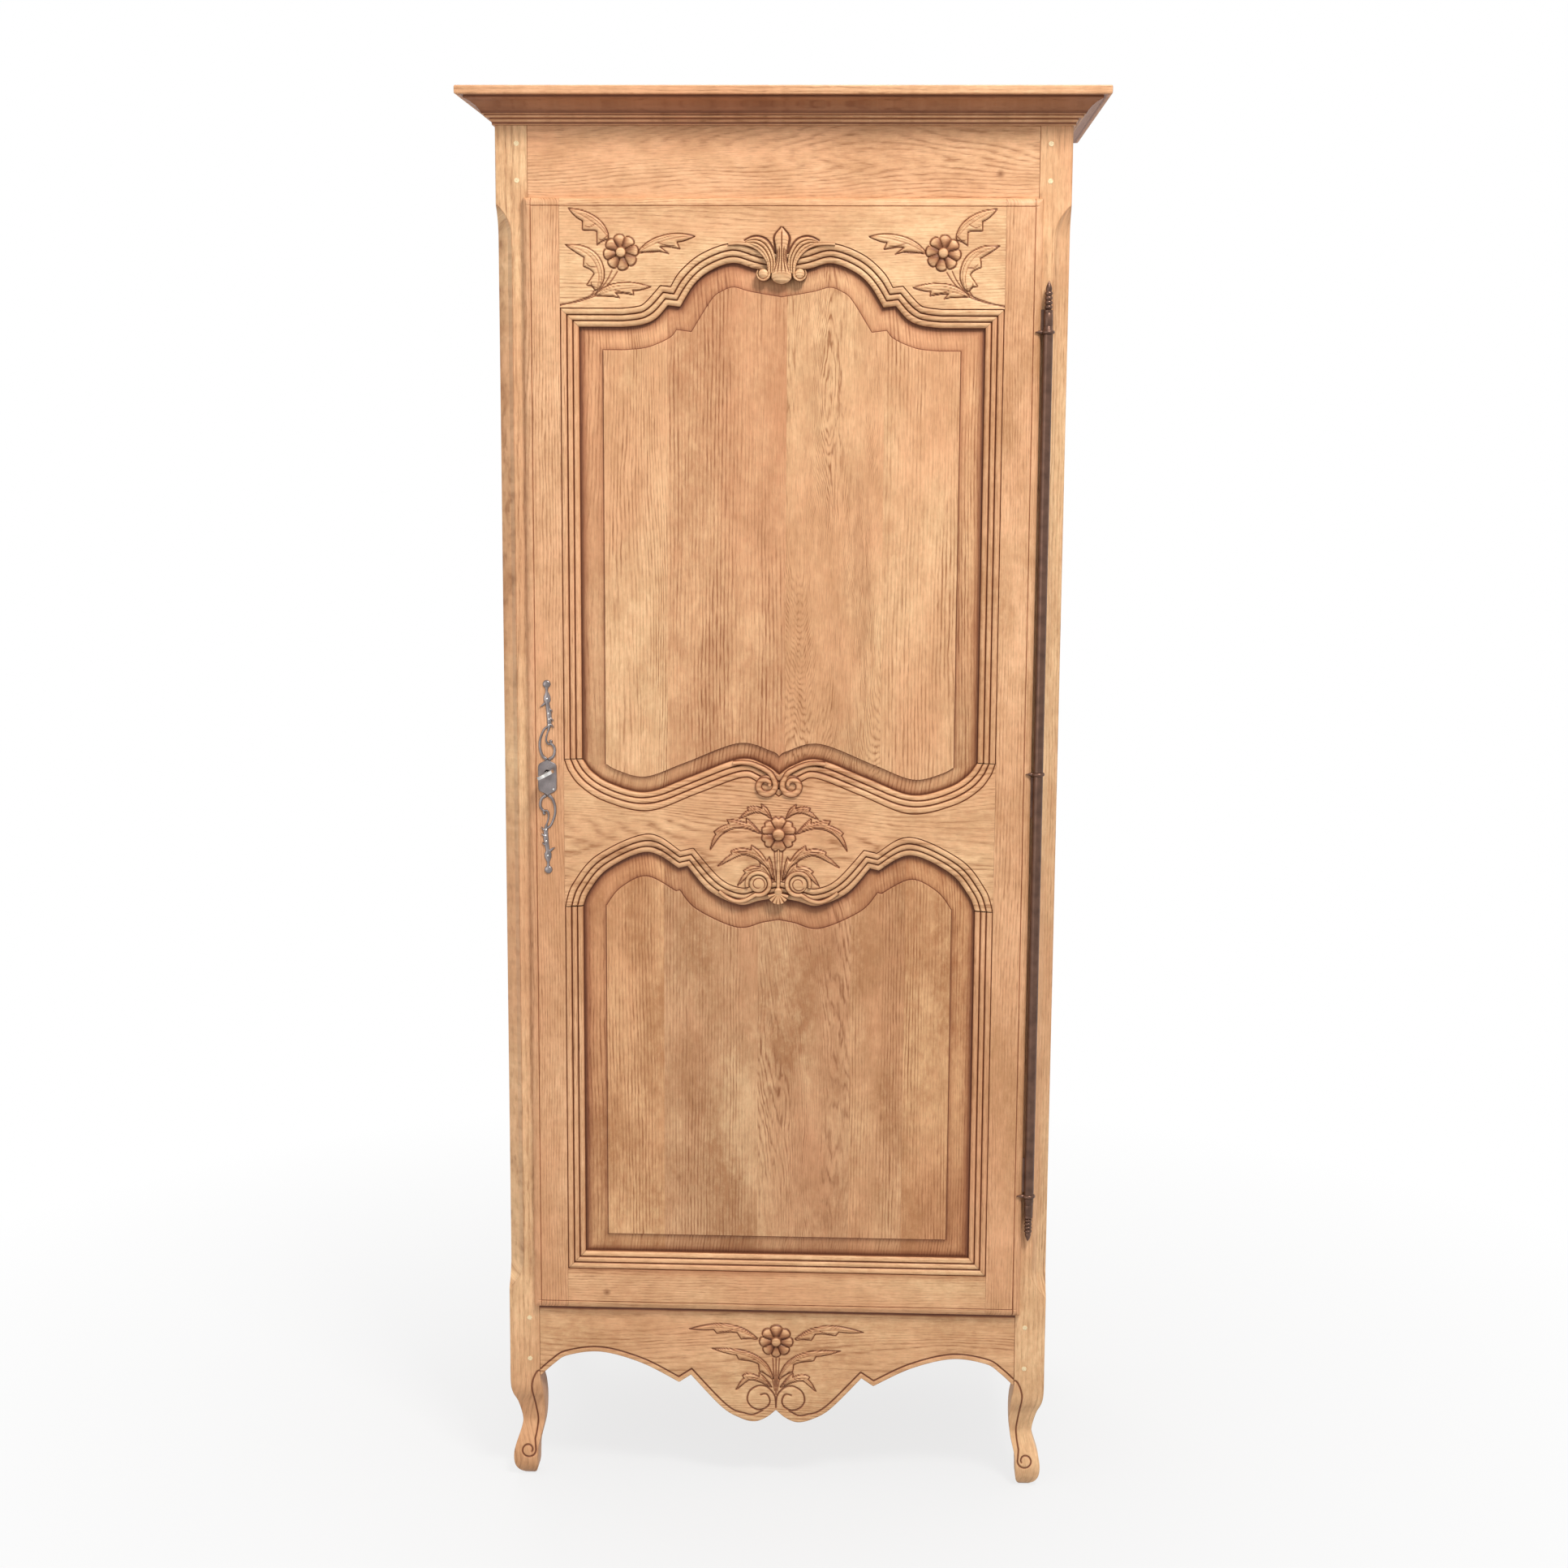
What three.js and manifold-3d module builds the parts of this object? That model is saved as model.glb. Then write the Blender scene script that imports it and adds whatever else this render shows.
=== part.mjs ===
// A bonnetiere: a tall narrow one-door cupboard in oak, frame and panel throughout.
// Millimetres, Z up. The front looks towards -Y and the door's hinges are at +X.
// The origin lies on the floor under the middle of the whole piece.
import * as THREE from 'three';
import { mergeVertices } from 'three/addons/utils/BufferGeometryUtils.js';
import Module from 'manifold-3d';

const wasm = await Module();
wasm.setup();

// Case
const caseWidth = 800;
const caseDepth = 520;
const caseHeight = 1986;
const postSize = 45;
const friezeHeight = 110;
const openingBottom = 284;
const openingTop = caseHeight - friezeHeight;

// Clearances and seats
const seam = 0.3;
const doorGap = 2;
const overrun = 5;

// Front rails, flush with the posts
const frontRailThickness = 28;
const tenonThickness = 9;
const tenonLength = 30;
const tenonShoulder = 12;
const sideTenonLength = 21;
const apronSpring = 161;
const apronRise = 40;
const footRise = 200;

// Sides and back
const sideRailThickness = 25;
const sideTopRailHeight = 110;
const sideMiddleRailHeight = 85;
const sideMiddleRailShare = 0.525;
const sideArchRise = 38;
const sidePanelBevel = 26;
const sidePanelTongue = 7;
const sidePanelStep = 2;
const grooveDepth = 12;
const tongueLength = 11;
const backRailThickness = 22;
const backTopRailHeight = 110;
const backBottomRailHeight = 104;
const backBoardThickness = 10;
const backBoardInset = 5;
const backBoardCount = 3;

// Boards inside
const floorThickness = 16;
const floorDrop = 6;
const ceilingThickness = 14;
const ceilingLift = 5;
const boardHousing = 8;
const rearHousing = 6;
const shelfThickness = 18;
const shelfShares = [0.25, 0.5, 0.75];
const cleatWidth = 22;
const cleatHeight = 26;
const cleatHousing = 8;

// Stopped chamfers on the front posts
const chamferWidth = 22;
const chamferTopLift = 4;
const chamferFootLift = 15;
const chamferRunOut = 46;

// Cornice
const corniceHeight = 48;
const corniceProjection = 48;
const corniceLedge = 38;
const corniceRearThickness = 24;
const corniceRearHeight = 30;

// Pegs
const pegRadius = 3.6;
const pegProud = 0.5;
const pegLength = 32;
const pegInset = 30;
const friezePegDrops = { upper: 24, lower: 74 };
const apronPegDrops = { upper: 31, lower: 95 };

// Door
const doorThickness = 30;
const doorProud = 11;
const lipOverlap = 6;
const lipGap = 0.5;
const lipTopOverlap = 12;
const lipBottomOverlap = 10;
const lipRound = 6;
const mouldingWidth = 26;
const mouldingDepth = 9;
const sightInset = 71;
const topRailHeight = 164;
const archRise = 88;
const middleRailHeight = 217;
const waveDrop = 48;
const lowerPanelHeight = 523;
const humpRise = 81;
const bottomRailHeight = 77;
const doorTenonLength = 36;
const doorTenonInset = 20;
const keyRelief = 42;
const grooveSetback = 12;
const tongueThickness = 8;

// Door panels, with a raised field inside a sloping margin
const fieldSetback = 5;
const fieldStep = 2.5;
const sideMargin = 34;
const topMargin = 32;
const waveMargin = 22;
const bottomMargin = 28;

// Fleuron and scroll ends that hang below the arch, and scrolls on the middle rail
const fleuronHalfWidth = 14;
const fleuronHeight = 38;
const fleuronDrop = 59;
const archScrollRadius = 9.5;
const archScrollOut = 24.5;
const archScrollRise = 73.5;
const waveScrollRadius = 15;
const waveScrollOut = 17.5;
const waveScrollDrop = 35;
const voluteRadius = 14;
const voluteOut = 30.5;
const voluteRise = 38.5;
const shellRadius = 15;
const shellRise = 22;
const carvingProud = 1.5;

// Hinge
const hingeLead = 15.5;
const hingeProud = 9.6;
const barrelRadius = 7;
const ringRadius = 9.2;
const ringHeight = 6;
const rodRadius = 3;
const boreRadius = 3.4;
const topRingDrop = 172;
const lowRingLift = 173;
const middleRingShare = 0.502;
const topTipRise = 73;
const lowTipDrop = 66;
const finialBeadHeight = 28;
const finialSpike = 8;
const blindEnd = 6;
const leafThickness = 2.5;
const leafHeight = 60;
const shortLeafHeight = 40;
const leafOffset = 4;
const doorLeafDepth = 30;
const frameLeafDepth = 24;

// Lock, key and escutcheon
const keyAxisInset = 21.5;
const keyAxisDrop = 20;
const keyRestAngle = THREE.MathUtils.degToRad(27);
const keyShankRadius = 2.8;
const keyReach = 34;
const bowHalfWidth = 13;
const bowHalfLength = 11;
const bowThickness = 4.5;
const bowHole = 0.55;
const bitLength = 12;
const bitWidth = 10;
const bitThickness = 3;
const keyholeRadius = keyShankRadius + seam;
const keyholeSlot = 15;
const keyholeWidth = 4.4;
const lockWidth = 86;
const lockHeight = 82;
const lockDepth = 20;
const lockWall = 2.5;
const lockDrop = 48;
const boltHeight = 14;
const boltLift = 8;
const boltThickness = 9;
const boltNotch = 15;
const boltNotchHeight = 7;
const boltThrow = 10;
const boltPlay = 1.5;
const plateThickness = 2;
const plateHalfWidth = 16.5;
const plateHalfHeight = 24;
const plateDrop = 7;
const escutcheonHalfHeight = 141;
const stemWidth = 7.5;
const ribbonWidth = 5;
const knobRadius = 7;

// Smoothness of curves
const pegSides = 12;
const barrelSides = 16;
const scrollSides = 16;
const stretchSteps = 2;
const fineSteps = 8;
const arcSteps = 4;
const rampSteps = 6;
const bendShare = 0.01;

// Places that follow from the sizes
const front = -(caseDepth - corniceProjection) / 2;
const back = front + caseDepth;
const half = caseWidth / 2;
const openingHalf = half - postSize;
const doorFace = front - doorProud;
const doorBack = doorFace + doorThickness;
const doorHalf = openingHalf - doorGap;
const lipHalf = openingHalf + lipOverlap;
const lipBack = front - lipGap;
const lipTop = openingTop + lipTopOverlap;
const lipBottom = openingBottom - lipBottomOverlap;
const sightHalfWidth = openingHalf - sightInset;
const shoulderHalf = sightHalfWidth + mouldingWidth;
const hingeOut = openingHalf + hingeLead;
const keyAxisOut = openingHalf - keyAxisInset;
const tongueFront = doorFace + grooveSetback;
const tongueBack = tongueFront + tongueThickness;
const sideInner = half - sideRailThickness;
const caseTop = caseHeight;
const openingHeight = openingTop - openingBottom;
const sideTopRailFoot = caseTop - sideTopRailHeight;
const sideMiddleRailTop = openingBottom + sideMiddleRailShare * openingHeight;
const sideMiddleRailFoot = sideMiddleRailTop - sideMiddleRailHeight;
const backTopRailFoot = caseTop - backTopRailHeight;
const backBottomRailFoot = openingBottom - backBottomRailHeight;
const chamferTop = openingTop + chamferTopLift;
const chamferBottom = openingBottom + chamferFootLift;
const friezePegHeights = [caseTop - friezePegDrops.lower, caseTop - friezePegDrops.upper];
const apronPegHeights = [openingBottom - apronPegDrops.lower, openingBottom - apronPegDrops.upper];
const floorTop = openingBottom - floorDrop;
const ceilingBottom = openingTop + ceilingLift;
const shelfTops = shelfShares.map((share) => floorTop + share * (ceilingBottom - floorTop));
const topSight = openingTop - topRailHeight;
const bottomSight = openingBottom + bottomRailHeight;
const lowerButt = bottomSight + lowerPanelHeight;
const upperButt = lowerButt + middleRailHeight;
const hingeAxisY = front - hingeProud;
const topRingHeight = openingTop - topRingDrop;
const lowRingHeight = openingBottom + lowRingLift;
const middleRingHeight = lowRingHeight + middleRingShare * (topRingHeight - lowRingHeight);
const hingeTipTop = topRingHeight + topTipRise;
const hingeTipBottom = lowRingHeight - lowTipDrop;
const keyAxisHeight = upperButt - keyAxisDrop;

// Colours, roughness and metalness of the finished materials
const oakLight = { color: 0xe6b98a, roughness: 0.62, metalness: 0 };
const oakMiddle = { color: 0xd9a476, roughness: 0.62, metalness: 0 };
const oakInside = { color: 0xc9986a, roughness: 0.75, metalness: 0 };
const oakPeg = { color: 0xf0dcb4, roughness: 0.6, metalness: 0 };
const darkIron = { color: 0x4f3a30, roughness: 0.45, metalness: 0.9 };
const greyIron = { color: 0x6b625f, roughness: 0.4, metalness: 0.9 };
const brightSteel = { color: 0xb8b4ae, roughness: 0.3, metalness: 1 };

const group = new THREE.Group();

// A solid becomes a named mesh of the cupboard.
function add(name, solid, finish) {
  const { vertProperties, triVerts } = solid.getMesh();
  const geometry = new THREE.BufferGeometry();
  geometry.setAttribute('position', new THREE.BufferAttribute(vertProperties, 3));
  geometry.setIndex(new THREE.BufferAttribute(triVerts, 1));
  geometry.computeVertexNormals();
  const mesh = new THREE.Mesh(geometry, new THREE.MeshStandardMaterial(finish));
  mesh.name = name;
  group.add(mesh);
}

// A closed geometry becomes a solid that can be cut and joined.
function solidOf(geometry) {
  geometry.deleteAttribute('normal');
  geometry.deleteAttribute('uv');
  const merged = mergeVertices(geometry);
  const vertProperties = Float32Array.from(merged.attributes.position.array);
  const triVerts = Uint32Array.from(merged.index.array);
  return new wasm.Manifold(new wasm.Mesh({ numProp: 3, vertProperties, triVerts }));
}

// A box from its lowest and highest place along each axis.
function block([x0, x1], [y0, y1], [z0, z1]) {
  const geometry = new THREE.BoxGeometry(x1 - x0, y1 - y0, z1 - z0);
  return solidOf(geometry.translate((x0 + x1) / 2, (y0 + y1) / 2, (z0 + z1) / 2));
}

// An outline in X and Z, as thick as the stretch of Y given.
function frontSlab(outline, depths) {
  return loft(depths.map((y) => atDepth(outline, y)), seenFromFront);
}

// An outline in Y and Z, as wide as the stretch of X given.
function sideSlab(outline, widths) {
  const ringAt = (x) => outline.map((point) => new THREE.Vector3(x, point.x, point.y));
  return loft(widths.map(ringAt), seenFromSide);
}

// An outline in X and Y, as high as the stretch of Z given.
function board(outline, heights) {
  const ringAt = (z) => outline.map((point) => new THREE.Vector3(point.x, point.y, z));
  return loft(heights.map(ringAt), seenFromAbove);
}

// A round bar along Y.
function roundBar(radius, [y0, y1], x, z, sides) {
  const geometry = new THREE.CylinderGeometry(radius, radius, y1 - y0, sides);
  return solidOf(geometry.translate(x, (y0 + y1) / 2, z));
}

// Rings of equally many points are skinned one to the next, and the two ends are closed.
// flatten gives each point of a ring its place in the plane in which the ends are filled.
function loft(rings, flatten) {
  const leftHanded = THREE.ShapeUtils.area(rings[0].map(flatten)) < 0;
  const turned = leftHanded ? rings.map((ring) => [...ring].reverse()) : rings;
  const count = turned[0].length;
  const faces = [];
  for (let r = 1; r < turned.length; r += 1) {
    for (let k = 0; k < count; k += 1) {
      const a = (r - 1) * count + k;
      const b = (r - 1) * count + ((k + 1) % count);
      faces.push([a, b, b + count], [a, b + count, a + count]);
    }
  }
  const last = (turned.length - 1) * count;
  const fill = (ring) => THREE.ShapeUtils.triangulateShape(ring.map(flatten), []);
  fill(turned[0]).forEach(([a, b, c]) => faces.push([a, c, b]));
  fill(turned[turned.length - 1]).forEach(([a, b, c]) => faces.push([last + a, last + b, last + c]));
  const points = turned.flat();
  const outward = faces.reduce((sum, [a, b, c]) => {
    const normal = new THREE.Vector3().crossVectors(points[b], points[c]);
    return sum + points[a].dot(normal);
  }, 0) > 0;
  const triangles = outward ? faces : faces.map(([a, b, c]) => [a, c, b]);
  const vertProperties = Float32Array.from(points.flatMap((point) => point.toArray()));
  const triVerts = Uint32Array.from(triangles.flat());
  return new wasm.Manifold(new wasm.Mesh({ numProp: 3, vertProperties, triVerts }));
}

// Straight edges are bent a very little here, so that no point of an edge is passed over.
function bent(across, up) {
  const pull = 1 - bendShare * ((across / caseHeight) ** 2 + (up / caseHeight) ** 2);
  return new THREE.Vector2(across * pull, up * pull);
}

const seenFromFront = (point) => bent(point.x, point.z);
const seenFromSide = (point) => bent(point.y, point.z);
const seenFromAbove = (point) => bent(point.x, point.y);
const atDepth = (line, y) => line.map((point) => new THREE.Vector3(point.x, y, point.y));

// The same solid placed by a matrix. A matrix that mirrors also turns the faces over.
function placedBy(matrix, solid) {
  const { vertProperties, triVerts } = solid.getMesh();
  const moved = new THREE.BufferAttribute(vertProperties, 3).applyMatrix4(matrix).array;
  const faces = matrix.determinant() < 0 ? triVerts.reverse() : triVerts;
  return new wasm.Manifold(new wasm.Mesh({ numProp: 3, vertProperties: moved, triVerts: faces }));
}

// The same solid on the other side of the middle plane.
function mirrored(solid) {
  return placedBy(new THREE.Matrix4().makeScale(-1, 1, 1), solid);
}

// A line is a row of stretches, and a stretch is a row of points that is drawn smooth. Corners
// stay sharp where one stretch ends and the next begins. Its left half is carried on mirrored.
function symmetricLine(shares, place) {
  const leftHalf = shares.map((stretch) => stretch.map(([across, up]) => place(across, up)));
  const rightHalf = shares.map((stretch) => stretch.map(([across, up]) => place(-across, up)).reverse());
  return [...leftHalf, ...rightHalf.reverse()];
}

function drawStretch(points, steps) {
  return points.length > 2 ? new THREE.SplineCurve(points).getPoints(steps * (points.length - 1)) : points;
}

function drawLine(stretches) {
  return stretches.flatMap((points, k) => drawStretch(points, stretchSteps).slice(k > 0 ? 1 : 0));
}

// A line moved sideways to its left hand, with mitred corners.
function besideLine(line, distance) {
  return line.map((point, k) => {
    const before = line[Math.max(k - 1, 0)];
    const after = line[Math.min(k + 1, line.length - 1)];
    const into = k > 0 ? point.clone().sub(before).normalize() : after.clone().sub(point).normalize();
    const out = k < line.length - 1 ? after.clone().sub(point).normalize() : into;
    const mitre = new THREE.Vector2(-into.y - out.y, into.x + out.x).normalize();
    const square = new THREE.Vector2(-out.y, out.x);
    return point.clone().addScaledVector(mitre, distance / mitre.dot(square));
  });
}

// Every stretch of a line moved sideways by a distance.
function movedLine(stretches, distance) {
  const moved = besideLine(stretches.flatMap((points, k) => (k > 0 ? points.slice(1) : points)), distance);
  let start = 0;
  return stretches.map((points) => {
    const part = moved.slice(start, start + points.length);
    start += points.length - 1;
    return part;
  });
}

// Evenly spaced points along a row of points.
function evenPoints(points, steps) {
  const path = new THREE.CurvePath();
  points.slice(1).forEach((point, k) => path.add(new THREE.LineCurve(points[k], point)));
  return path.getSpacedPoints(steps);
}

// The left half of a line ends at a half width: it is cut off there, or carried on to it. A line
// that starts steeply keeps the height of its start, one that starts level keeps its own.
function endedAt(points, halfWidth, start, next) {
  const kept = points.filter((point) => point.x > -halfWidth);
  const steep = Math.abs(next.y - start.y) > Math.abs(next.x - start.x);
  const inside = kept.length === points.length;
  const height = inside && steep ? start.y : kept[0].y;
  const startsThere = inside && kept[0].x + halfWidth < seam;
  return [new THREE.Vector2(-halfWidth, height), ...kept.slice(startsThere ? 1 : 0)];
}

// A line moved sideways and ended at a half width. Every stretch keeps its number of points, so
// that lines moved by different distances can be skinned one to the next.
function edgeLine(stretches, distance, halfWidth) {
  const leftHalf = movedLine(stretches, distance).slice(0, stretches.length / 2);
  const leftPoints = leftHalf.flatMap((points, k) => {
    const drawn = drawStretch(points, fineSteps);
    const ended = k > 0 ? drawn : endedAt(drawn, halfWidth, stretches[0][0], stretches[0][1]);
    return evenPoints(ended, stretchSteps * (points.length - 1)).slice(k > 0 ? 1 : 0);
  });
  const rightPoints = leftPoints.slice(0, -1).reverse().map((point) => new THREE.Vector2(-point.x, point.y));
  return [...leftPoints, ...rightPoints];
}

// Lower edge of the apron between the posts: shares of half the opening and of the rise.
const apronShares = [
  [[-1, 0], [-0.94, 0.5], [-0.88, 0.84], [-0.74, 1], [-0.57, 0.6], [-0.41, -0.13]],
  [[-0.41, -0.13], [-0.36, 0.17]],
  [[-0.36, 0.17], [-0.23, -1.07], [-0.15, -1.5], [-0.09, -1.62], [-0.04, -1.45], [0, -1.15]],
];
const apronLine = symmetricLine(apronShares, (across, up) => (
  new THREE.Vector2(across * openingHalf, apronSpring + up * apronRise)
));

// Sight lines of the door mouldings: shares of half the sight width and of each rise.
const archShares = [
  [[-1, 0], [-0.78, 0]],
  [[-0.78, 0], [-0.69, 0.035], [-0.62, 0.13], [-0.56, 0.34]],
  [[-0.56, 0.34], [-0.5, 0.315]],
  [[-0.5, 0.315], [-0.43, 0.67], [-0.35, 0.88], [-0.24, 1], [-0.13, 0.91], [0, 0.84]],
];
const waveShares = [
  [
    [-1, 0], [-0.95, -0.4], [-0.85, -0.77], [-0.67, -1],
    [-0.45, -0.52], [-0.2, 0.04], [-0.07, -0.14], [0, -0.42],
  ],
];
const humpShares = [
  [[-1, 0], [-0.97, 0.27], [-0.87, 0.69], [-0.67, 1], [-0.51, 0.716]],
  [[-0.51, 0.716], [-0.465, 0.753]],
  [[-0.465, 0.753], [-0.35, 0.296], [-0.2, 0.062], [-0.1, 0.136], [0, 0.2]],
];

function sightLine(shares, level, rise) {
  return symmetricLine(shares, (across, up) => new THREE.Vector2(across * sightHalfWidth, level + up * rise));
}

const archSight = sightLine(archShares, topSight, archRise);
const waveSight = sightLine(waveShares, upperButt, waveDrop);
const humpSight = sightLine(humpShares, lowerButt, humpRise);
const bottomSightLine = sightLine([[[-1, 0], [0, 0]]], bottomSight, 0);

// The moulding's outer line, with its ends on the shoulders.
const archOuter = edgeLine(archSight, mouldingWidth, shoulderHalf);
const waveOuter = edgeLine(waveSight, -mouldingWidth, shoulderHalf);
const humpOuter = edgeLine(humpSight, mouldingWidth, shoulderHalf);
const bottomOuter = edgeLine(bottomSightLine, -mouldingWidth, shoulderHalf);

// Section of the stuck moulding, in shares of its width from the outer line and of its depth.
const mouldingShares = [
  [0, 0], [0.05, 0.14], [0.2, 0.04], [0.36, 0.16], [0.4, 0.34], [0.56, 0.3],
  [0.7, 0.5], [0.74, 0.68], [0.88, 0.66], [1, 1],
];
const mouldingRootShare = 0.04;

// Legs of the foot: shares of the post's size from its inner face, and of the foot's rise.
const footOuterShares = [
  [1, 1], [1, 0.76], [0.78, 0.58], [0.65, 0.42], [0.87, 0.24], [0.93, 0.165], [0.88, 0.08], [0.6, 0],
];
const footInnerShares = [
  [0.25, 0], [0.15, 0.07], [0.1, 0.22], [-0.08, 0.4], [-0.12, 0.56], [-0.08, 0.68], [0, 0.79], [0, 1],
];

// Post outline with its shaped foot. across is +1 or -1, the side on which the outer face lies.
function postOutline(inner, across, top) {
  const place = ([out, up]) => new THREE.Vector2(inner + across * out * postSize, up * footRise);
  const outerCurve = new THREE.SplineCurve(footOuterShares.slice(1).map(place)).getPoints(scrollSides);
  const innerCurve = new THREE.SplineCurve(footInnerShares.slice(0, -1).map(place)).getPoints(scrollSides);
  return [
    new THREE.Vector2(inner, top),
    new THREE.Vector2(inner + across * postSize, top),
    ...outerCurve,
    ...innerCurve,
    place([0, 1]),
  ];
}

// A post at the right-hand side, with a foot curved on its front and on its side.
function plainPost(frontEdge) {
  const innerEdge = frontEdge ? front + postSize : back - postSize;
  const seenInFront = frontSlab(postOutline(openingHalf, 1, caseTop), [
    Math.min(innerEdge, innerEdge + (frontEdge ? -1 : 1) * postSize) - overrun,
    Math.max(innerEdge, innerEdge + (frontEdge ? -1 : 1) * postSize) + overrun,
  ]);
  const seenAside = sideSlab(postOutline(innerEdge, frontEdge ? -1 : 1, caseTop), [
    openingHalf - postSize, half + overrun,
  ]);
  return seenInFront.intersect(seenAside);
}

// The cutter of a stopped chamfer on the right-hand front corner.
function chamferCutter() {
  const rings = [];
  const place = (width, z) => [
    new THREE.Vector3(half - width - overrun, front - overrun, z),
    new THREE.Vector3(half + overrun, front + width + overrun, z),
    new THREE.Vector3(half + overrun, front - overrun, z),
  ];
  for (let k = 0; k <= rampSteps; k += 1) {
    const run = k / rampSteps;
    rings.push(place(chamferWidth * (1 - (1 - run) ** 2), chamferBottom + run * chamferRunOut));
  }
  for (let k = rampSteps; k >= 0; k -= 1) {
    const run = k / rampSteps;
    rings.push(place(chamferWidth * (1 - (1 - run) ** 2), chamferTop - run * chamferRunOut));
  }
  return loft(rings, seenFromAbove);
}

// A tenon and its mortise share their sizes: room is 0 for the tenon and the seam for the mortise.
function frontTenon(z0, z1, room) {
  const middle = front + frontRailThickness / 2;
  return block(
    [openingHalf - overrun - room, openingHalf + tenonLength + room],
    [middle - tenonThickness / 2 - room, middle + tenonThickness / 2 + room],
    [z0 - room, z1 + room],
  );
}

const friezeTenon = (room) => frontTenon(openingTop + tenonShoulder, caseTop - tenonShoulder, room);
const apronTenon = (room) => frontTenon(apronSpring + tenonShoulder, openingBottom - tenonShoulder, room);

// Tenons of the side rails, at the right-hand side, reaching along Y into both posts.
function sideTenon(z0, z1, room) {
  const middle = half - sideRailThickness / 2;
  return block(
    [middle - tenonThickness / 2 - room, middle + tenonThickness / 2 + room],
    [front + postSize - sideTenonLength - room, back - postSize + sideTenonLength + room],
    [z0 - room, z1 + room],
  );
}

const sideTopTenon = (room) => sideTenon(sideTopRailFoot + tenonShoulder, caseTop - tenonShoulder, room);
const sideMiddleTenon = (room) => (
  sideTenon(sideMiddleRailFoot + tenonShoulder, sideMiddleRailTop - tenonShoulder, room)
);
const sideBottomTenon = (room) => sideTenon(apronSpring + tenonShoulder, openingBottom - tenonShoulder, room);

// Tenons of the back rails, reaching along X into both rear posts.
function backTenon(z0, z1, room) {
  const middle = back - backRailThickness / 2;
  return block(
    [-openingHalf - tenonLength / 2 - room, openingHalf + tenonLength / 2 + room],
    [middle - tenonThickness / 2 - room, middle + tenonThickness / 2 + room],
    [z0 - room, z1 + room],
  );
}

const backTopTenon = (room) => backTenon(backTopRailFoot + tenonShoulder, caseTop - tenonShoulder, room);
const backBottomTenon = (room) => (
  backTenon(backBottomRailFoot + tenonShoulder, openingBottom - tenonShoulder, room)
);

// Housed boards. Their outline is notched round the posts, and room widens it to the housing.
function housedOutline(frontInner, room) {
  const wide = sideInner + boardHousing + room;
  const narrow = openingHalf - seam - doorGap;
  const nearEdge = frontInner - boardHousing - room;
  const farEdge = back - backRailThickness + rearHousing + room;
  const nearNotch = front + postSize + doorGap;
  const farNotch = back - postSize - doorGap;
  return [
    [-narrow, nearEdge], [narrow, nearEdge], [narrow, nearNotch], [wide, nearNotch],
    [wide, farNotch], [narrow, farNotch], [narrow, farEdge], [-narrow, farEdge],
    [-narrow, farNotch], [-wide, farNotch], [-wide, nearNotch], [-narrow, nearNotch],
  ].map(([x, y]) => new THREE.Vector2(x, y));
}

const railBack = front + frontRailThickness;
const floorSolid = (room) => (
  board(housedOutline(railBack, room), [floorTop - floorThickness - room, floorTop + room])
);
const ceilingSolid = (room) => (
  board(housedOutline(railBack, room), [ceilingBottom - room, ceilingBottom + ceilingThickness + room])
);

// A side panel at the right-hand side: tongue in the groove, sloping margin and raised field outside.
const panelMiddle = half - sideRailThickness / 2;

function sidePanelRing(x, inset, z0, z1) {
  const y0 = front + postSize + inset;
  const y1 = back - postSize - inset;
  return [[y0, z0 + inset], [y1, z0 + inset], [y1, z1 - inset], [y0, z1 - inset]].map(([y, z]) => (
    new THREE.Vector3(x, y, z)
  ));
}

function sidePanel(z0, z1) {
  const rings = [
    sidePanelRing(panelMiddle - sidePanelTongue / 2, -tongueLength, z0, z1),
    sidePanelRing(panelMiddle + sidePanelTongue / 2, -tongueLength, z0, z1),
    sidePanelRing(panelMiddle + sidePanelTongue / 2, 0, z0, z1),
    sidePanelRing(half - fieldSetback - sidePanelStep, sidePanelBevel, z0, z1),
    sidePanelRing(half - fieldSetback, sidePanelBevel, z0, z1),
  ];
  return loft(rings, seenFromSide);
}

function sideGroove(z0, z1) {
  return block(
    [panelMiddle - sidePanelTongue / 2 - seam, panelMiddle + sidePanelTongue / 2 + seam],
    [front + postSize - grooveDepth, back - postSize + grooveDepth],
    [z0 - grooveDepth, z1 + grooveDepth],
  );
}

const upperSide = [sideMiddleRailTop, sideTopRailFoot];
const lowerSide = [openingBottom, sideMiddleRailFoot];

// The back boards stand in one groove that runs round the posts and rails of the back.
const backPlane = [back - backBoardInset - backBoardThickness, back - backBoardInset];
const backGroove = block(
  [-openingHalf - grooveDepth, openingHalf + grooveDepth],
  [backPlane[0] - seam, backPlane[1] + seam],
  [openingBottom - grooveDepth, backTopRailFoot + grooveDepth],
);

// A shelf cleat at the right-hand side, let into the posts at both ends.
function cleat(shelfTop, room) {
  const top = shelfTop - shelfThickness - seam;
  return block(
    [sideInner - cleatWidth - room, sideInner - seam + room],
    [front + postSize - cleatHousing - room, back - postSize + cleatHousing + room],
    [top - cleatHeight - room, top + room],
  );
}

function shelf(top) {
  const wide = sideInner - seam;
  const narrow = openingHalf - doorGap;
  const nearEdge = front + postSize + doorGap;
  const farNotch = back - postSize - doorGap;
  const farEdge = backPlane[0] - doorGap;
  const outline = [
    [-wide, nearEdge], [wide, nearEdge], [wide, farNotch], [narrow, farNotch],
    [narrow, farEdge], [-narrow, farEdge], [-narrow, farNotch], [-wide, farNotch],
  ].map(([x, y]) => new THREE.Vector2(x, y));
  return board(outline, [top - shelfThickness, top]);
}

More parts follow.
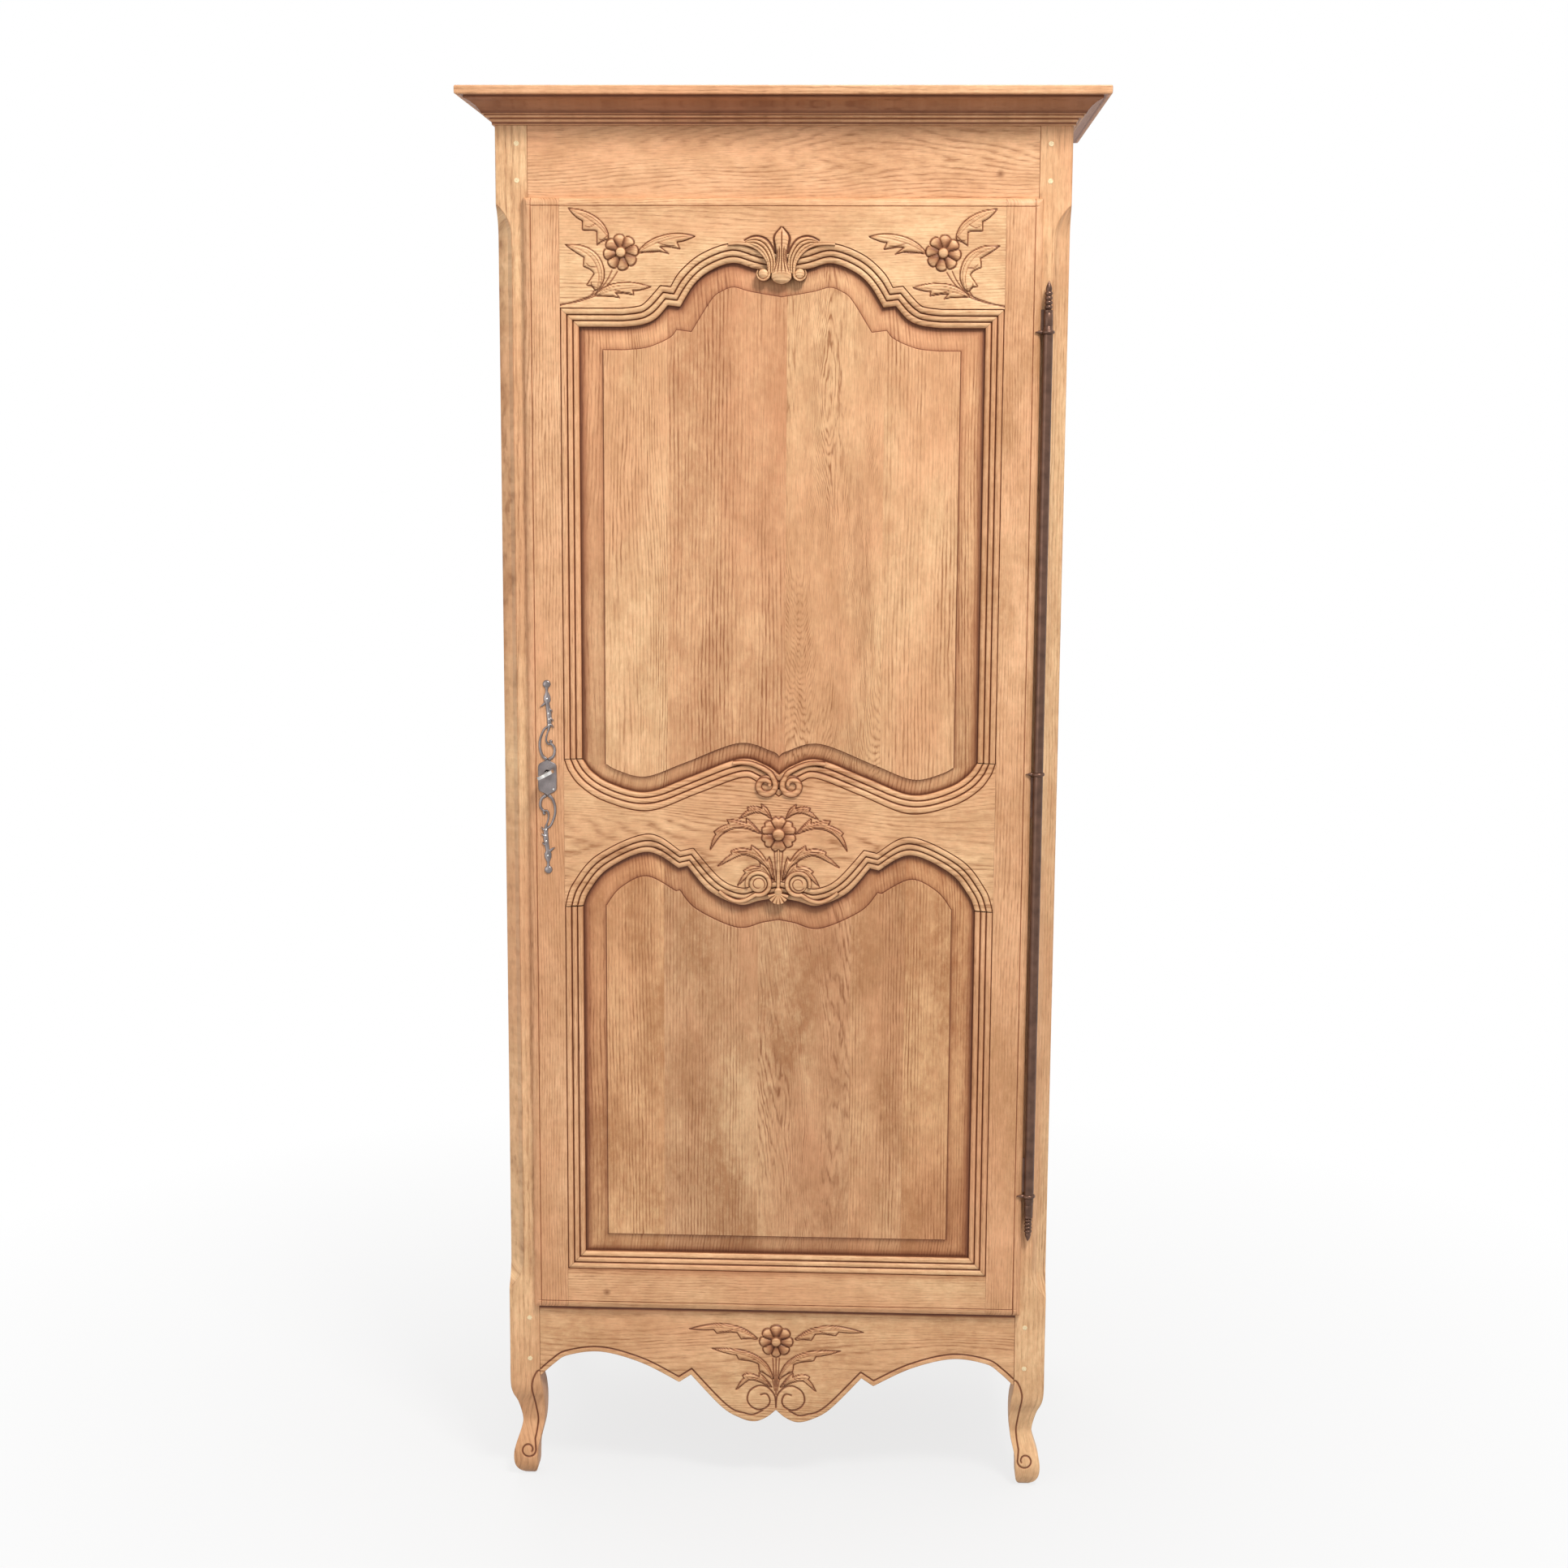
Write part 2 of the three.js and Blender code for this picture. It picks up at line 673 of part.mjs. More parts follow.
// Pegs that hold the front tenons.
function peg(x, z, room) {
  const radius = pegRadius + room;
  return roundBar(radius, [front - pegProud, front - pegProud + pegLength + room], x, z, pegSides);
}

const pegOut = openingHalf + pegInset / 2;

// Parts of the hinge turn about one upright axis. A profile is radius and height, the bore is cut after.
function turned(profile) {
  const points = [[0, profile[0][1]], ...profile, [0, profile[profile.length - 1][1]]];
  const geometry = new THREE.LatheGeometry(points.map(([r, z]) => new THREE.Vector2(r, z)), barrelSides);
  geometry.rotateX(Math.PI / 2);
  return solidOf(geometry.translate(hingeOut, hingeAxisY, 0));
}

function hingeBore([z0, z1], radius) {
  const geometry = new THREE.CylinderGeometry(radius, radius, z1 - z0, pegSides).rotateX(Math.PI / 2);
  return solidOf(geometry.translate(hingeOut, hingeAxisY, (z0 + z1) / 2));
}

// Beads and spike of a finial, in shares of the barrel's radius and of their heights, from the root.
const finialShares = [
  [1, 0], [1, 0.1], [0.72, 0.17], [0.95, 0.26], [0.72, 0.35], [0.95, 0.45], [0.72, 0.54],
  [0.98, 0.66], [0.72, 0.78], [0.98, 0.86], [0.9, 1],
];
const spikeShares = [[0.45, 0], [0.32, 0.6], [0.06, 1]];

function finial(root, direction) {
  const beads = finialShares.map(([r, up]) => [r * barrelRadius, root + direction * up * finialBeadHeight]);
  const shoulder = root + direction * finialBeadHeight;
  const spike = spikeShares.map(([r, up]) => [r * barrelRadius, shoulder + direction * up * finialSpike]);
  return [...beads, ...spike];
}

// A ring at a joint of the hinge, as part of the profile, rising from its lower face: shares of
// the ring's lead over the barrel and of its height.
const ringShares = [[0, 0], [1, 0.25], [1, 0.75], [0, 1]];

function ring(z) {
  const lead = ringRadius - barrelRadius;
  return ringShares.map(([out, up]) => [barrelRadius + out * lead, z + up * ringHeight]);
}

// Leaves of the hinge: the door's lie in its lip, the frame's stand in the post.
function doorLeaf(z0, z1, room) {
  const y = hingeAxisY + leafOffset;
  return block(
    [lipHalf - doorLeafDepth - room, hingeOut],
    [y - leafThickness / 2 - room, y + leafThickness / 2 + room],
    [z0 - room, z1 + room],
  );
}

function frameLeaf(z0, z1, room) {
  return block(
    [hingeOut - leafThickness / 2 - room, hingeOut + leafThickness / 2 + room],
    [hingeAxisY, front + frameLeafDepth + room],
    [z0 - room, z1 + room],
  );
}

const topLeaf = (room) => doorLeaf(topRingHeight, topRingHeight + shortLeafHeight, room);
const lowerLeaf = (room) => doorLeaf(middleRingHeight - leafHeight, middleRingHeight, room);
const footLeaf = (room) => doorLeaf(lowRingHeight, lowRingHeight + leafHeight, room);
const upperBarrelLeaves = (room) => (
  frameLeaf(topRingHeight - leafHeight, topRingHeight - ringHeight, room)
    .add(frameLeaf(middleRingHeight + 2 * ringHeight, middleRingHeight + leafHeight, room))
);
const bottomLeaf = (room) => frameLeaf(lowRingHeight - shortLeafHeight, lowRingHeight - ringHeight, room);

function buildHinge() {
  const gap = seam / 2;
  const topEnd = hingeTipTop - finialSpike - finialBeadHeight;
  const lowEnd = hingeTipBottom + finialSpike + finialBeadHeight;
  const topKnuckle = turned([...ring(topRingHeight + gap), ...finial(topEnd, 1)]);
  const upperBarrel = turned([
    [barrelRadius, middleRingHeight + ringHeight + 3 * gap], [barrelRadius, topRingHeight - gap],
  ]);
  const lowerBarrel = turned([...ring(lowRingHeight + gap), ...ring(middleRingHeight + gap)]);
  const bottomKnuckle = turned([...finial(lowEnd, -1).reverse(), [barrelRadius, lowRingHeight - gap]]);
  const rodTop = hingeTipTop - finialSpike - blindEnd;
  const rodBottom = hingeTipBottom + finialSpike + blindEnd;
  const bore = hingeBore([rodBottom - seam, rodTop + seam], boreRadius);
  add('hinge_top_knuckle', topKnuckle.add(topLeaf(0)).subtract(bore), darkIron);
  add('hinge_upper_barrel', upperBarrel.add(upperBarrelLeaves(0)).subtract(bore), darkIron);
  add('hinge_lower_barrel', lowerBarrel.add(lowerLeaf(0)).add(footLeaf(0)).subtract(bore), darkIron);
  add('hinge_bottom_knuckle', bottomKnuckle.add(bottomLeaf(0)).subtract(bore), darkIron);
  add('hinge_rod', hingeBore([rodBottom, rodTop], rodRadius), darkIron);
}

// Lock: a case open towards the door, a notched bolt and a key whose bit turns below the notch.
const keyX = -keyAxisOut;
const lockFace = doorBack + seam;
const lockSpan = [-doorHalf, -doorHalf + lockWidth];
const lockLevels = [keyAxisHeight - lockDrop, keyAxisHeight - lockDrop + lockHeight];
const boltMiddleY = lockFace + lockDepth / 2;
const boltLevels = [keyAxisHeight + boltLift, keyAxisHeight + boltLift + boltHeight];

function boltBar(room) {
  return block(
    [-doorHalf - room, lockSpan[1] - lockWall - boltThrow],
    [boltMiddleY - boltThickness / 2 - room, boltMiddleY + boltThickness / 2 + room],
    [boltLevels[0] - room, boltLevels[1] + room],
  );
}

function boltMortise() {
  return block(
    [-openingHalf - boltThrow - boltPlay, -openingHalf + overrun],
    [boltMiddleY - boltThickness / 2 - boltPlay, boltMiddleY + boltThickness / 2 + boltPlay],
    [boltLevels[0] - boltPlay, boltLevels[1] + boltPlay],
  );
}

function buildLock() {
  const shell = block(lockSpan, [lockFace, lockFace + lockDepth], lockLevels);
  const hollow = block(
    [lockSpan[0] + lockWall, lockSpan[1] - lockWall],
    [lockFace - overrun, lockFace + lockDepth - lockWall],
    [lockLevels[0] + lockWall, lockLevels[1] - lockWall],
  );
  const slot = boltBar(seam).add(block(
    [lockSpan[0] - overrun, lockSpan[0] + overrun],
    [boltMiddleY - boltThickness / 2 - seam, boltMiddleY + boltThickness / 2 + seam],
    [boltLevels[0] - seam, boltLevels[1] + seam],
  ));
  add('lock_case', shell.subtract(hollow).subtract(slot), darkIron);
  const notch = block(
    [keyX - boltNotch, keyX + boltNotch],
    [boltMiddleY - boltThickness, boltMiddleY + boltThickness],
    [boltLevels[0] - overrun, boltLevels[0] + boltNotchHeight],
  );
  add('lock_bolt', boltBar(0).subtract(notch), brightSteel);
}

// The key lies along Y, with its bow edge-on to the front and its bit inside the lock.
function buildKey() {
  const bowMiddle = doorFace - keyReach + bowHalfLength;
  const tip = lockFace + lockDepth - lockWall - doorGap;
  const shank = roundBar(keyShankRadius, [bowMiddle + bowHalfLength * bowHole, tip], 0, 0, pegSides);
  const outline = new THREE.Shape();
  outline.absellipse(0, bowMiddle, bowHalfWidth, bowHalfLength, 0, 2 * Math.PI);
  const opening = new THREE.Path();
  opening.absellipse(0, bowMiddle, bowHalfWidth * bowHole, bowHalfLength * bowHole, 0, 2 * Math.PI);
  outline.holes.push(opening);
  const bowGeometry = new THREE.ExtrudeGeometry(outline, {
    depth: bowThickness, bevelEnabled: false, curveSegments: scrollSides,
  });
  const bow = solidOf(bowGeometry.translate(0, 0, -bowThickness / 2));
  const bit = block(
    [0, bitLength],
    [boltMiddleY - bitWidth / 2, boltMiddleY + bitWidth / 2],
    [-bitThickness / 2, bitThickness / 2],
  );
  const turnedToRest = new THREE.Matrix4().makeRotationY(-keyRestAngle);
  const inPlace = turnedToRest.setPosition(keyX, 0, keyAxisHeight);
  add('key', placedBy(inPlace, shank.add(bow).add(bit)), brightSteel);
}

// The hole for the key, in the plate and through the door.
function keyhole([y0, y1]) {
  const round = roundBar(keyholeRadius, [y0, y1], keyX, keyAxisHeight, scrollSides);
  const slit = block(
    [keyX - keyholeWidth / 2, keyX + keyholeWidth / 2],
    [y0, y1],
    [keyAxisHeight - keyholeSlot, keyAxisHeight],
  );
  return round.add(slit);
}

// The escutcheon's scrolled ends, in shares of its half width and half height, from its middle.
const stemShares = [
  [0, 0.14], [-0.55, 0.22], [-0.62, 0.36], [-0.2, 0.46], [0.1, 0.56], [0.05, 0.72], [0, 0.95],
];
const hookShares = [
  [0, 0.14], [0.55, 0.19], [0.72, 0.28], [0.4, 0.34], [0.02, 0.34], [0.06, 0.42], [0.12, 0.5],
];
const plateShares = [
  [-1, -0.72], [-0.45, -1], [0.45, -1], [1, -0.72], [1, 0.72], [0.42, 0.86], [0.3, 1.05],
  [-0.3, 1.05], [-0.42, 0.86], [-1, 0.72],
];

// A flat strip of even width along a smooth line.
function ribbon(shares, place, width, depths) {
  const line = new THREE.SplineCurve(shares.map(place)).getPoints(scrollSides);
  const outline = [...besideLine(line, -width / 2), ...besideLine(line, width / 2).reverse()];
  return frontSlab(outline, depths);
}

function buildEscutcheon() {
  const depths = [doorFace - seam - plateThickness, doorFace - seam];
  const middle = keyAxisHeight - plateDrop;
  const plateOutline = plateShares.map(([across, up]) => (
    new THREE.Vector2(keyX + across * plateHalfWidth, middle + up * plateHalfHeight)
  ));
  let solid = frontSlab(plateOutline, depths);
  [1, -1].forEach((turn) => {
    const place = ([across, up]) => new THREE.Vector2(
      keyX + turn * across * plateHalfWidth,
      middle + turn * up * escutcheonHalfHeight,
    );
    const knobHeight = middle + turn * (escutcheonHalfHeight - knobRadius);
    solid = solid
      .add(ribbon(stemShares, place, stemWidth, depths))
      .add(ribbon(hookShares, place, ribbonWidth, depths))
      .add(roundBar(knobRadius, depths, keyX, knobHeight, scrollSides));
  });
  add('escutcheon', solid.subtract(keyhole([depths[0] - overrun, depths[1] + overrun])), greyIron);
}

// Closed outline of a door panel. Each edge is its sight line moved outward or inward.
function panelOutline(topLine, topOut, lowLine, lowOut, halfWidth) {
  const top = edgeLine(topLine, topOut, halfWidth);
  const low = edgeLine(lowLine, lowOut, halfWidth);
  return [...low, ...top.reverse()];
}

function doorPanel(topLine, lowLine, topInset, lowInset) {
  const field = panelOutline(topLine, -topInset, lowLine, lowInset, sightHalfWidth - sideMargin);
  const sight = panelOutline(topLine, 0, lowLine, 0, sightHalfWidth);
  const tongue = panelOutline(topLine, tongueLength, lowLine, -tongueLength, sightHalfWidth + tongueLength);
  const rings = [
    atDepth(field, doorFace + fieldSetback),
    atDepth(field, doorFace + fieldSetback + fieldStep),
    atDepth(sight, tongueFront),
    atDepth(tongue, tongueFront),
    atDepth(tongue, tongueBack),
  ];
  return loft(rings, seenFromFront);
}

function doorGroove(topLine, lowLine) {
  const outline = panelOutline(topLine, grooveDepth, lowLine, -grooveDepth, sightHalfWidth + grooveDepth);
  return frontSlab(outline, [tongueFront - seam, tongueBack + seam]);
}

const upperGroove = doorGroove(archSight, waveSight);
const lowerGroove = doorGroove(humpSight, bottomSightLine);

// The space between the shoulders of the door's stiles.
const railSpan = [-shoulderHalf + seam, shoulderHalf - seam];
const betweenStiles = block(railSpan, [doorFace - overrun, doorBack + overrun], [0, caseHeight]);

// The moulding of a rail, skinned between its outer line and its sight line, as deep as the door.
function railMoulding(outer, sightStretches) {
  const sight = edgeLine(sightStretches, 0, sightHalfWidth);
  const section = [
    ...mouldingShares.map(([across, deep]) => [across, doorFace + deep * mouldingDepth]),
    [1, doorBack], [-mouldingRootShare, doorBack], [-mouldingRootShare, doorFace],
  ];
  const rings = outer.map((point, k) => section.map(([across, y]) => {
    const place = point.clone().lerp(sight[k], across);
    return new THREE.Vector3(place.x, y, place.y);
  }));
  const flatten = (point) => new THREE.Vector2(point.y, Math.hypot(point.x, point.z));
  return loft(rings, flatten).intersect(betweenStiles);
}

// Door rails run between the stiles' shoulders and have a tenon at each end.
function doorTenon(z0, z1, room) {
  return block(
    [-shoulderHalf - doorTenonLength - room, shoulderHalf + doorTenonLength + room],
    [tongueFront - room, tongueBack + room],
    [z0 - room, z1 + room],
  );
}

const topRailTenon = (room) => (
  doorTenon(topSight + mouldingWidth + doorTenonInset, openingTop - doorTenonInset, room)
);
const middleRailTenon = (room) => doorTenon(lowerButt + doorTenonInset, upperButt - keyRelief, room);
const bottomRailTenon = (room) => (
  doorTenon(openingBottom + doorGap + tenonShoulder, bottomSight - mouldingWidth, room)
);

// A round boss in the door's face, clear of the panel behind it.
const bossDepths = [doorFace - carvingProud, doorFace + mouldingDepth];

function boss(radius, x, z) {
  return roundBar(radius, bossDepths, x, z, scrollSides);
}

function ellipseBoss(halfWidth, halfHeight, x, z) {
  const outline = new THREE.Path();
  outline.absellipse(x, z, halfWidth, halfHeight, 0, 2 * Math.PI);
  return frontSlab(outline.getPoints(scrollSides).slice(1), bossDepths);
}

// The door's lip at its top and foot, which laps over the frame, with a rounded front edge.
function lipRail(edge, inner, direction) {
  const arc = [];
  for (let k = 0; k <= arcSteps; k += 1) {
    const angle = (k / arcSteps) * (Math.PI / 2);
    arc.push([
      doorFace + lipRound * (1 - Math.cos(angle)),
      edge - direction * lipRound * (1 - Math.sin(angle)),
    ]);
  }
  const outline = [[doorFace, inner], ...arc, [lipBack, edge], [lipBack, inner]];
  return outline.map(([y, z]) => new THREE.Vector2(y, z));
}

const doorTop = openingTop - doorGap;
const doorFoot = openingBottom + doorGap;

function buildDoorTopRail() {
  const outline = [
    ...archOuter,
    new THREE.Vector2(shoulderHalf, doorTop),
    new THREE.Vector2(-shoulderHalf, doorTop),
  ];
  const trim = block(railSpan, [doorFace - overrun, doorBack + overrun], [bottomSight, lipTop]);
  const solid = frontSlab(outline, [doorFace, doorBack])
    .intersect(trim)
    .add(railMoulding(archOuter, archSight))
    .add(sideSlab(lipRail(lipTop, doorTop - overrun, 1), railSpan))
    .add(topRailTenon(0))
    .subtract(upperGroove)
    .add(ellipseBoss(fleuronHalfWidth, fleuronHeight, 0, topSight + fleuronDrop + fleuronHeight))
    .add(boss(archScrollRadius, archScrollOut, topSight + archScrollRise))
    .add(boss(archScrollRadius, -archScrollOut, topSight + archScrollRise));
  add('door_top_rail', solid, oakLight);
}

function buildDoorMiddleRail() {
  const corners = [[1, lowerButt], [1, upperButt], [-1, upperButt], [-1, lowerButt]].map(([side, z]) => (
    new THREE.Vector2(side * (shoulderHalf + overrun), z)
  ));
  const outline = [...humpOuter, corners[0], corners[1], ...[...waveOuter].reverse(), corners[2], corners[3]];
  const trim = block(railSpan, [doorFace - overrun, doorBack + overrun], [lowerButt, upperButt]);
  let solid = frontSlab(outline, [doorFace, doorBack])
    .intersect(trim)
    .add(railMoulding(waveOuter, waveSight))
    .add(railMoulding(humpOuter, humpSight))
    .add(middleRailTenon(0))
    .subtract(upperGroove)
    .subtract(lowerGroove)
    .add(boss(shellRadius, 0, lowerButt + shellRise));
  [1, -1].forEach((side) => {
    solid = solid
      .add(boss(waveScrollRadius, side * waveScrollOut, upperButt - waveScrollDrop))
      .add(boss(voluteRadius, side * voluteOut, lowerButt + voluteRise));
  });
  add('door_middle_rail', solid, oakLight);
}

function buildDoorBottomRail() {
  const level = bottomSight - mouldingWidth;
  const solid = block(railSpan, [doorFace, doorBack], [doorFoot, level])
    .add(railMoulding(bottomOuter, bottomSightLine))
    .add(sideSlab(lipRail(lipBottom, doorFoot + overrun, -1), railSpan))
    .add(bottomRailTenon(0))
    .subtract(lowerGroove);
  add('door_bottom_rail', solid, oakLight);
}

// The stuck moulding on a right-hand stile between two rails. ends give its height at the outer line.
function stileMoulding([lowEnd, lowSlope], [topEnd, topSlope]) {
  const section = [
    ...mouldingShares.map(([across, deep]) => [across * mouldingWidth, doorFace + deep * mouldingDepth]),
    [mouldingWidth, doorBack], [-overrun, doorBack], [-overrun, doorFace],
  ];
  const ringAt = (end, slope) => section.map(([inward, y]) => (
    new THREE.Vector3(shoulderHalf - inward, y, end + slope * Math.max(inward, 0))
  ));
  return loft([ringAt(lowEnd, lowSlope), ringAt(topEnd, topSlope)], seenFromAbove);
}

// A door stile at the right-hand side. Its outer edge laps over the frame.
function doorStile() {
  const arc = [];
  for (let k = 0; k <= arcSteps; k += 1) {
    const angle = (k / arcSteps) * (Math.PI / 2);
    arc.push([
      lipHalf - lipRound * (1 - Math.sin(angle)),
      doorFace + lipRound * (1 - Math.cos(angle)),
    ]);
  }
  const section = [[shoulderHalf, doorFace], ...arc, [lipHalf, lipBack], [doorHalf, lipBack],
    [doorHalf, doorBack], [shoulderHalf, doorBack]];
  const outline = section.map(([x, y]) => new THREE.Vector2(x, y));
  const upper = stileMoulding(
    [upperButt + seam, 0],
    [topSight + mouldingWidth - 2 * seam, -1],
  );
  const lower = stileMoulding(
    [bottomSight - mouldingWidth + 2 * seam, 1],
    [lowerButt - seam, 0],
  );
  const behindLip = (levels) => (
    block([shoulderHalf - overrun, lipHalf + overrun], [lipBack, doorBack + overrun], levels)
  );
  return board(outline, [lipBottom, lipTop])
    .add(upper)
    .add(lower)
    .subtract(behindLip([doorTop, lipTop + overrun]))
    .subtract(behindLip([lipBottom - overrun, doorFoot]))
    .subtract(topRailTenon(seam))
    .subtract(middleRailTenon(seam))
    .subtract(bottomRailTenon(seam))
    .subtract(upperGroove)
    .subtract(lowerGroove);
}

function buildDoor() {
  const stile = doorStile();
  const lockHole = keyhole([doorFace - overrun, doorBack + overrun]);
  const hingeSlots = topLeaf(seam).add(lowerLeaf(seam)).add(footLeaf(seam));
  add('door_lock_stile', mirrored(stile).subtract(lockHole), oakLight);
  add('door_hinge_stile', stile.subtract(hingeSlots), oakLight);
  buildDoorTopRail();
  buildDoorMiddleRail();
  buildDoorBottomRail();
  add('door_upper_panel', doorPanel(archSight, waveSight, topMargin, waveMargin), oakMiddle);
  add('door_lower_panel', doorPanel(humpSight, bottomSightLine, topMargin, bottomMargin), oakMiddle);
}

// Posts, with the mortises, grooves and housings of everything that joins them.
function buildPosts() {
  const sideCuts = [sideTopTenon(seam), sideMiddleTenon(seam), sideBottomTenon(seam),
    sideGroove(...upperSide), sideGroove(...lowerSide), ...shelfTops.map((top) => cleat(top, seam))];
  const frontCuts = [friezeTenon(seam), apronTenon(seam), chamferCutter(),
    ...friezePegHeights.concat(apronPegHeights).map((z) => peg(pegOut, z, seam))];
  const backCuts = [backTopTenon(seam), backBottomTenon(seam), backGroove];
  const cut = (solid, cutters) => cutters.reduce((left, cutter) => left.subtract(cutter), solid);
  const frontPost = cut(cut(plainPost(true), sideCuts), frontCuts);
  const rearPost = cut(cut(plainPost(false), sideCuts), backCuts);
  const hingeSlots = upperBarrelLeaves(seam).add(bottomLeaf(seam));
  add('front_stile_left', mirrored(frontPost).subtract(boltMortise()), oakLight);
  add('front_stile_right', frontPost.subtract(hingeSlots), oakLight);
  add('rear_stile_left', mirrored(rearPost), oakLight);
  add('rear_stile_right', rearPost, oakLight);
}

const bothEnds = (solid) => solid.add(mirrored(solid));

function buildFrontRails() {
  const span = [-openingHalf + seam, openingHalf - seam];
  const depths = [front, railBack];
  const pegCuts = (heights) => bothEnds(
    heights.map((z) => peg(pegOut, z, seam)).reduce((joined, solid) => joined.add(solid)),
  );
  const frieze = block(span, depths, [openingTop, caseTop])
    .add(bothEnds(friezeTenon(0)))
    .subtract(pegCuts(friezePegHeights))
    .subtract(ceilingSolid(seam));
  add('frieze_rail', frieze, oakMiddle);
  const outline = [
    ...drawLine(apronLine),
    new THREE.Vector2(openingHalf, openingBottom),
    new THREE.Vector2(-openingHalf, openingBottom),
  ];
  const trim = block(span, [front - overrun, railBack + overrun], [0, openingBottom]);
  const apron = frontSlab(outline, depths)
    .intersect(trim)
    .add(bothEnds(apronTenon(0)))
    .subtract(pegCuts(apronPegHeights))
    .subtract(floorSolid(seam));
  add('apron_rail', apron, oakMiddle);
}

function buildPegs() {
  const levels = { top: friezePegHeights, foot: apronPegHeights };
  Object.entries(levels).forEach(([end, heights]) => heights.forEach((z, k) => {
    add(`peg_${end}_left_${k + 1}`, peg(-pegOut, z, 0), oakPeg);
    add(`peg_${end}_right_${k + 1}`, peg(pegOut, z, 0), oakPeg);
  }));
}

// Lower edge of the side rails at the floor: shares of half the span and of the rise.
const sideArchShares = [[[-1, 0], [-0.86, 0.6], [-0.66, 0.93], [-0.35, 1], [0, 1]]];

function buildSides() {
  const xs = [sideInner, half];
  const ys = [front + postSize + seam, back - postSize - seam];
  const middleY = (front + back) / 2;
  const halfSpan = (ys[1] - ys[0]) / 2;
  const place = (across, up) => (
    new THREE.Vector2(middleY + across * halfSpan, apronSpring + up * sideArchRise)
  );
  const arch = drawLine(symmetricLine(sideArchShares, place));
  const upperCorners = [ys[1], ys[0]].map((y) => new THREE.Vector2(y, openingBottom));
  const bottomOutline = [...arch, ...upperCorners];
  const topRail = block(xs, ys, [sideTopRailFoot, caseTop])
    .add(sideTopTenon(0)).subtract(sideGroove(...upperSide)).subtract(ceilingSolid(seam));
  const middleRail = block(xs, ys, [sideMiddleRailFoot, sideMiddleRailTop])
    .add(sideMiddleTenon(0)).subtract(sideGroove(...upperSide)).subtract(sideGroove(...lowerSide));
  const bottomRail = sideSlab(bottomOutline, xs)
    .add(sideBottomTenon(0)).subtract(sideGroove(...lowerSide)).subtract(floorSolid(seam));
  const pieces = {
    side_top_rail: [topRail, oakMiddle],
    side_middle_rail: [middleRail, oakMiddle],
    side_bottom_rail: [bottomRail, oakMiddle],
    side_upper_panel: [sidePanel(...upperSide), oakMiddle],
    side_lower_panel: [sidePanel(...lowerSide), oakMiddle],
  };
  Object.entries(pieces).forEach(([name, [solid, finish]]) => {
    add(`${name}_left`, mirrored(solid), finish);
    add(`${name}_right`, solid, finish);
  });
}

function buildBack() {
  const xs = [-openingHalf + seam, openingHalf - seam];
  const ys = [back - backRailThickness, back];
  const topRail = block(xs, ys, [backTopRailFoot, caseTop])
    .add(backTopTenon(0)).subtract(backGroove).subtract(ceilingSolid(seam));
  const bottomRail = block(xs, ys, [backBottomRailFoot, openingBottom])
    .add(backBottomTenon(0)).subtract(backGroove).subtract(floorSolid(seam));
  add('back_top_rail', topRail, oakInside);
  add('back_bottom_rail', bottomRail, oakInside);
  const reach = openingHalf + tongueLength;
  const boardWidth = (2 * reach) / backBoardCount;
  const levels = [openingBottom - tongueLength, backTopRailFoot + tongueLength];
  for (let k = 0; k < backBoardCount; k += 1) {
    const start = -reach + k * boardWidth;
    const span = [start + seam / 2, start + boardWidth - seam / 2];
    add(`back_board_${k + 1}`, block(span, backPlane, levels), oakInside);
  }
}

function buildInside() {
  add('floor_board', floorSolid(0), oakInside);
  add('ceiling_board', ceilingSolid(0), oakInside);
  shelfTops.forEach((top, k) => {
    add(`shelf_${k + 1}`, shelf(top), oakInside);
    add(`shelf_cleat_${k + 1}_left`, mirrored(cleat(top, 0)), oakInside);
    add(`shelf_cleat_${k + 1}_right`, cleat(top, 0), oakInside);
  });
}

// Cornice section: shares of the projection in front of the case and of the height.
const corniceShares = [
  [0, 0], [0.07, 0], [0.07, 0.06], [0.13, 0.12], [0.13, 0.18], [0.25, 0.2], [0.25, 0.28],
  [0.33, 0.31], [0.42, 0.4], [0.56, 0.52], [0.74, 0.62], [0.78, 0.7], [0.78, 0.75], [1, 0.75],
  [1, 0.95], [0.97, 1],
];

function buildCornice() {
  const base = caseTop + seam;
  const section = [
    [-corniceLedge, base],
    ...corniceShares.map(([out, up]) => [out * corniceProjection, base + up * corniceHeight]),
    [-corniceLedge, base + corniceHeight],
  ];
  const frontRing = (side) => section.map(([out, z]) => (
    new THREE.Vector3(side * (half + out - seam), front - out, z)
  ));
  const mitreRing = section.map(([out, z]) => new THREE.Vector3(half + out, front - out + seam, z));
  const rearRing = section.map(([out, z]) => new THREE.Vector3(half + out, back, z));
  add('cornice_front', loft([frontRing(-1), frontRing(1)], seenFromSide), oakLight);
  const flatten = (point) => new THREE.Vector2(point.x, point.z);
  const side = loft([mitreRing, rearRing], flatten);
  add('cornice_left', mirrored(side), oakLight);
  add('cornice_right', side, oakLight);
  const inner = half - corniceLedge - seam;
  const rearDepths = [back - corniceRearThickness, back];
  add('cornice_rear', block([-inner, inner], rearDepths, [base, base + corniceRearHeight]), oakInside);
}

buildPosts();
buildFrontRails();
buildPegs();
buildSides();
buildBack();
buildInside();
buildCornice();
buildDoor();
buildHinge();
buildLock();
buildKey();
buildEscutcheon();

export default group;
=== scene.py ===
"""Bonnetiere cupboard: a tall one-door oak cupboard with carved rails, laid out as an add-on.

Sizes are in millimetres inside the functions and in metres in the mesh. The front looks
towards -Y, the floor is at Z = 0, and the door's hinges are at +X.
"""
import math

import bpy
import numpy as np
from mathutils import Matrix, Vector


